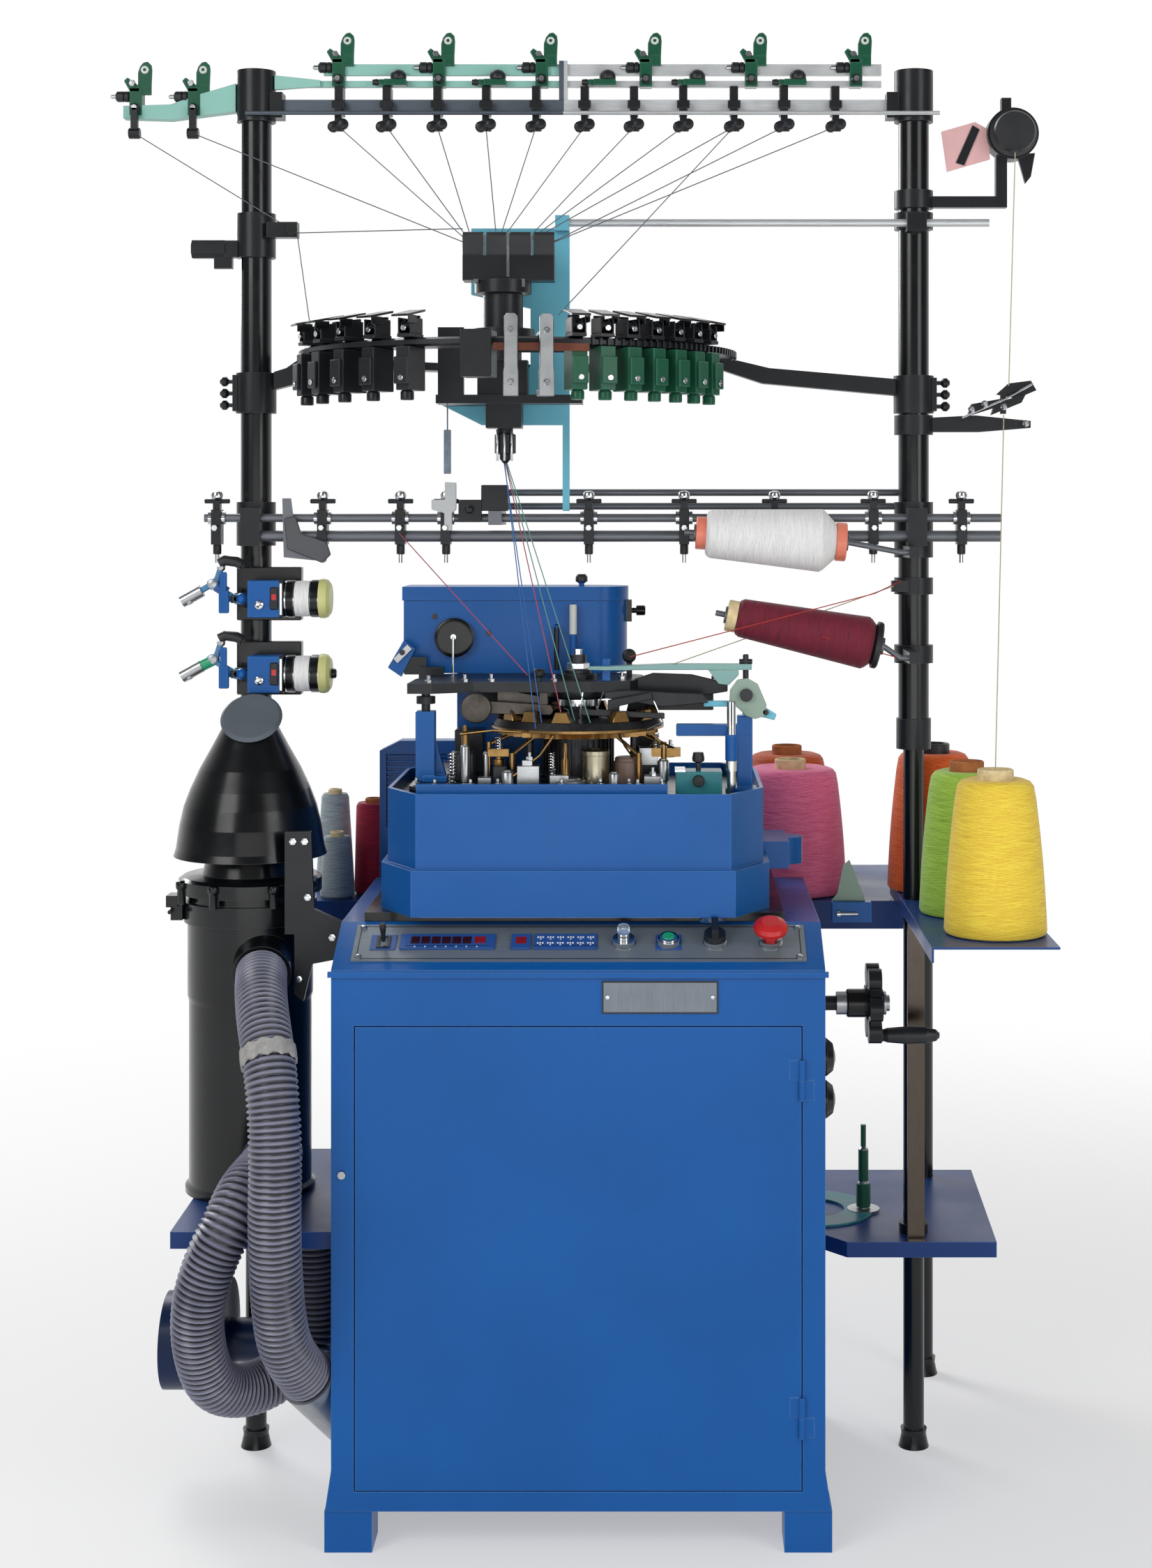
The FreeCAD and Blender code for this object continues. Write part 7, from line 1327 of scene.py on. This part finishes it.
# ---- canister and hose trim ----
# The lid carries over-centre latches, the clamp band a bolt, the bracket bright nuts, and the bell a slate rubber
# flap. Torn cloth tape is wound round the upper hose.
flap = bmesh.new()
turned(flap, [(0, 0), (40.5, 0), (42.6, 3), (38.5, 7.6), (0, 7.8)], (-458, -100, 1062), (0, -0.72, 0.69), 40)
grey_rubber = moulded_plastic("slate_rubber_flap", "59626A", 0.5)
make_piece("visual_rubber_flap", flap, grey_rubber)
latches = bmesh.new()
for turn in (-150, -110, -62, -25):
    a = math.radians(turn)
    x, y = -463 + 99 * math.cos(a), -80 + 99 * math.sin(a)
    turned(latches, closed(6, 0, 6, 20, 8, 22, 8, 30, 5, 32), (x, y, 812), UP, 12)
block(latches, (-572, -122, 806), (-556, -92, 822))
turned(latches, closed(3, 0, 3, 34), (-566, -126, 800), BACK, 10)
ease(latches, 0.6)
make_piece("visual_canister_latches", latches, pole_black)
nuts = bmesh.new()
for x, y, z in ((-388, -182, 905), (-372, -182, 905), (-335, -182, 776), (-368, -182, 830), (-380, -182, 720)):
    turned(nuts, closed(5.5, 0, 5, 3, 2.5, 3.4, 2.5, 6), (x, y, z), FORWARD, 6)
make_piece("visual_bracket_bolts", nuts, chrome)
tape = bmesh.new()
walk = hose_paths["hose_to_cabinet"]
spot = min(range(1, len(walk) - 1), key=lambda i: abs(walk[i][2] - 0.648))
middle = Vector(walk[spot]) * 1000 - Vector((0, 60, 0))
way = (Vector(walk[spot + 1]) - Vector(walk[spot - 1])).normalized()
turned(tape, [(33.5, -12), (36.2, -11), (36.6, 0), (36.2, 9), (33.5, 10)], middle, way, 36, hollow=True)
for i, vert in enumerate(tape.verts):
    vert.co += way * 2.2 * math.sin(i * 1.9)
grey_tape = board("torn_cloth_tape", "A9A8A6")
make_piece("visual_hose_tape", tape, grey_tape)


# ---- handwheel ----
# The cast wheel is pressed on a black boss with a bright ring before it, and its hub ends in a bright ring and nut.
# All of it turns with the wheel.
HUB = (-60, 662)                # y and z of the shaft
hub = bmesh.new()
turned(hub, closed(15, 0, 16, 1, 16, 4, 11, 5, 11, 9), (417, *HUB), RIGHT, 28)
turned(hub, [(9.5, 0), (15.8, 0), (15.8, 14), (9.5, 14)], (352, *HUB), RIGHT, 28, hollow=True)
make_piece("visual_hub_ring", hub, steel, body="handwheel")
boss = bmesh.new()
turned(boss, [(9.5, 0), (18, 0), (19.6, 2), (19.6, 25), (9.5, 25)], (366, *HUB), RIGHT, 32, hollow=True)
make_piece("visual_wheel_boss", boss, gloss_black, body="handwheel")


# ---- wall covers ----
# Two spun steel domes, sprayed gloss black, pressed over the two round covers on the cabinet's right wall.
domes = bmesh.new()
for z in (624, 568):
    turned(domes, closed(25, 0, 25, 6.5, 18, 15, 6.5, 18), (320.2, -220, z), RIGHT, 32)
make_piece("visual_wall_covers", domes, gloss_black)


# ---- flat bar, spring post and crescent ----
# A burnished flat steel bar is folded under and screwed to the right leg. On the lower tray a green tube carries a
# wound spring, and a cut plate in teal enamel lies round its foot.
BAR_SIDES = (458.7, 483.3)      # 0.3 mm outside those of the solid
TRAY_TOP = 309.3
SPRING_PITCH = 3.1
POST = (408, 150)
CRESCENT_MIDDLE = (335, 155)
bar = bmesh.new()
left, right = BAR_SIDES
block(bar, (left, 7.5, TRAY_TOP), (right, 11.3, 786.7))
block(bar, (left, -0.4, TRAY_TOP), (right, 8, 313.4))
ease(bar, 0.3)
burnished = brushed("burnished_steel_bar", "5E564E", (90, 90, 1), 0.24)
make_piece("visual_post_bar", bar, burnished)
post = bmesh.new()
for i in range(11):
    turned(post, [(9.05, 0), (10.6, 1), (10.8, 2.4), (10.6, 3.6), (9.05, 4.4)], (*POST, 315 + SPRING_PITCH * i), UP,
           18, hollow=True)
turned(post, [(7.05, 0), (7.6, 0), (7.6, 46), (7.05, 46)], (*POST, 354), UP, 18, hollow=True)
turned(post, [(3.05, 0), (4, 0), (4, 32), (3.05, 32)], (*POST, 405), UP, 14, hollow=True)
make_piece("visual_spring_post", post, green_enamel)


def arc(middle, radius, angles):
    """Points on a circle, at angles in degrees."""
    return [(middle[0] + radius * math.cos(math.radians(a)), middle[1] + radius * math.sin(math.radians(a)))
            for a in angles]


crescent = bmesh.new()
edge = arc(CRESCENT_MIDDLE, 88, range(-110, 111, 10)) + arc(CRESCENT_MIDDLE, 45, range(134, -135, -12))
prism(crescent, *([(x, y, z) for x, y in edge] for z in (309.2, 312.4)))
make_piece("visual_teal_crescent", crescent, teal_enamel)


# ---- bed front ----
# A folded steel apron with one bead across it, in the cabinet's enamel, screwed along the bed's front edge.
apron = bmesh.new()
block(apron, (-220, -209, 959), (116, -204.8, 985))
block(apron, (-214, -212, 968), (110, -209, 972))
ease(apron, 1)
make_piece("visual_bed_front", apron, blue_enamel)


# ---- shelf clamp ----
# A milled block in blue enamel on the rear shelf, with a bent sheet tab in pale green and a chrome clamp screw.
clamp = bmesh.new()
block(clamp, (351, 10, 762), (408, 30, 791))
ease(clamp, 1)
make_piece("visual_shelf_clamp", clamp, blue_enamel)
tab = bmesh.new()
plate(tab, [(351, 791), (400, 791), (377, 850), (368, 842), (360, 802)], 22, 3)
ease(tab, 0.8)
make_piece("visual_teal_tab", tab, quadrant_green)
screw = bmesh.new()
turned(screw, closed(4.5, 0, 4.5, 5, 2.4, 5.4, 2.4, 30), (358, 7, 775), RIGHT, 14)
make_piece("visual_clamp_screw", screw, chrome)


# ---- yarn strands ----
# Spun polyester, pulled straight: from the top guides to the pads, from the nozzle to the needles, and from the
# cones and feeders on the right to the sensors above them.
def thread(name, code):
    """Twisted yarn: a soft matt thread with its twist as a fine ripple."""
    finish, tree, shader, where = new_finish(name)
    shade = hex_colour(code)
    ply = add(tree, "ShaderNodeTexWave", {"Vector": where, "Scale": 260, "Distortion": 2})
    tree.links.new(blended(tree, ply.outputs["Fac"], darker(shade, 0.7), shade), shader.inputs["Base Color"])
    shader.inputs["Roughness"].default_value = 0.8
    raised(tree, shader, ply.outputs["Fac"], 0.0002)
    return finish


HOOK = (-414, 18, 1748)         # where strands turn at the left pole
pads = [(-155 + 33 * i, -60, 1720) for i in range(4)]
runs = {"slate": [((x, 36, 1903), pads[i * 4 // 11]) for i, x in enumerate(BLACK_GUIDE_X)]
        + [((ARM_X[0], 33, 1893), HOOK), ((ARM_X[1], 33, 1893), pads[0]), (HOOK, (-396, 30, 1608)),
           (HOOK, (-172, -40, 1747)), ((212, 36, 1903), (-30, -200, 1612))],
        "blue": [((-113.8, -40, 1419), (-54, -158, 1058)), ((-113, -40, 1418), (-62, -164, 1050))],
        "rose": [((-112, -40, 1419), (-24, -166, 1058)), ((-265, -4, 1318), (-76, -116, 1124))],
        "sea": [((-110.2, -40, 1419), (13, -164, 1058)), ((-111, -40, 1418), (-9, -150, 1060))],
        "cream": [((440, 24, 1242), (121, -96, 1137)), ((600, 34, 1488), (550, -230, 1006)),
                  ((606, 26, 1530), (613, 12, 1862))],
        "scarlet": [((64, -80, 1147), (402, -104, 1236)), ((402, -104, 1236), (452, 26, 1250)),
                    ((440, -56, 1144), (330, -92, 1176))]}
for name, code in (("slate", "70757E"), ("blue", "3D6FB5"), ("rose", "B5566E"), ("sea", "6FA398"),
                   ("cream", "C9C2A4"), ("scarlet", "C0392F")):
    solid = bmesh.new()
    for start, end in runs[name]:
        wire(solid, [start, end], 0.75, 6)
    make_piece("visual_%s_strands" % name, solid, thread(name + "_polyester_thread", code),
               stands_for=("yarn_strands",))
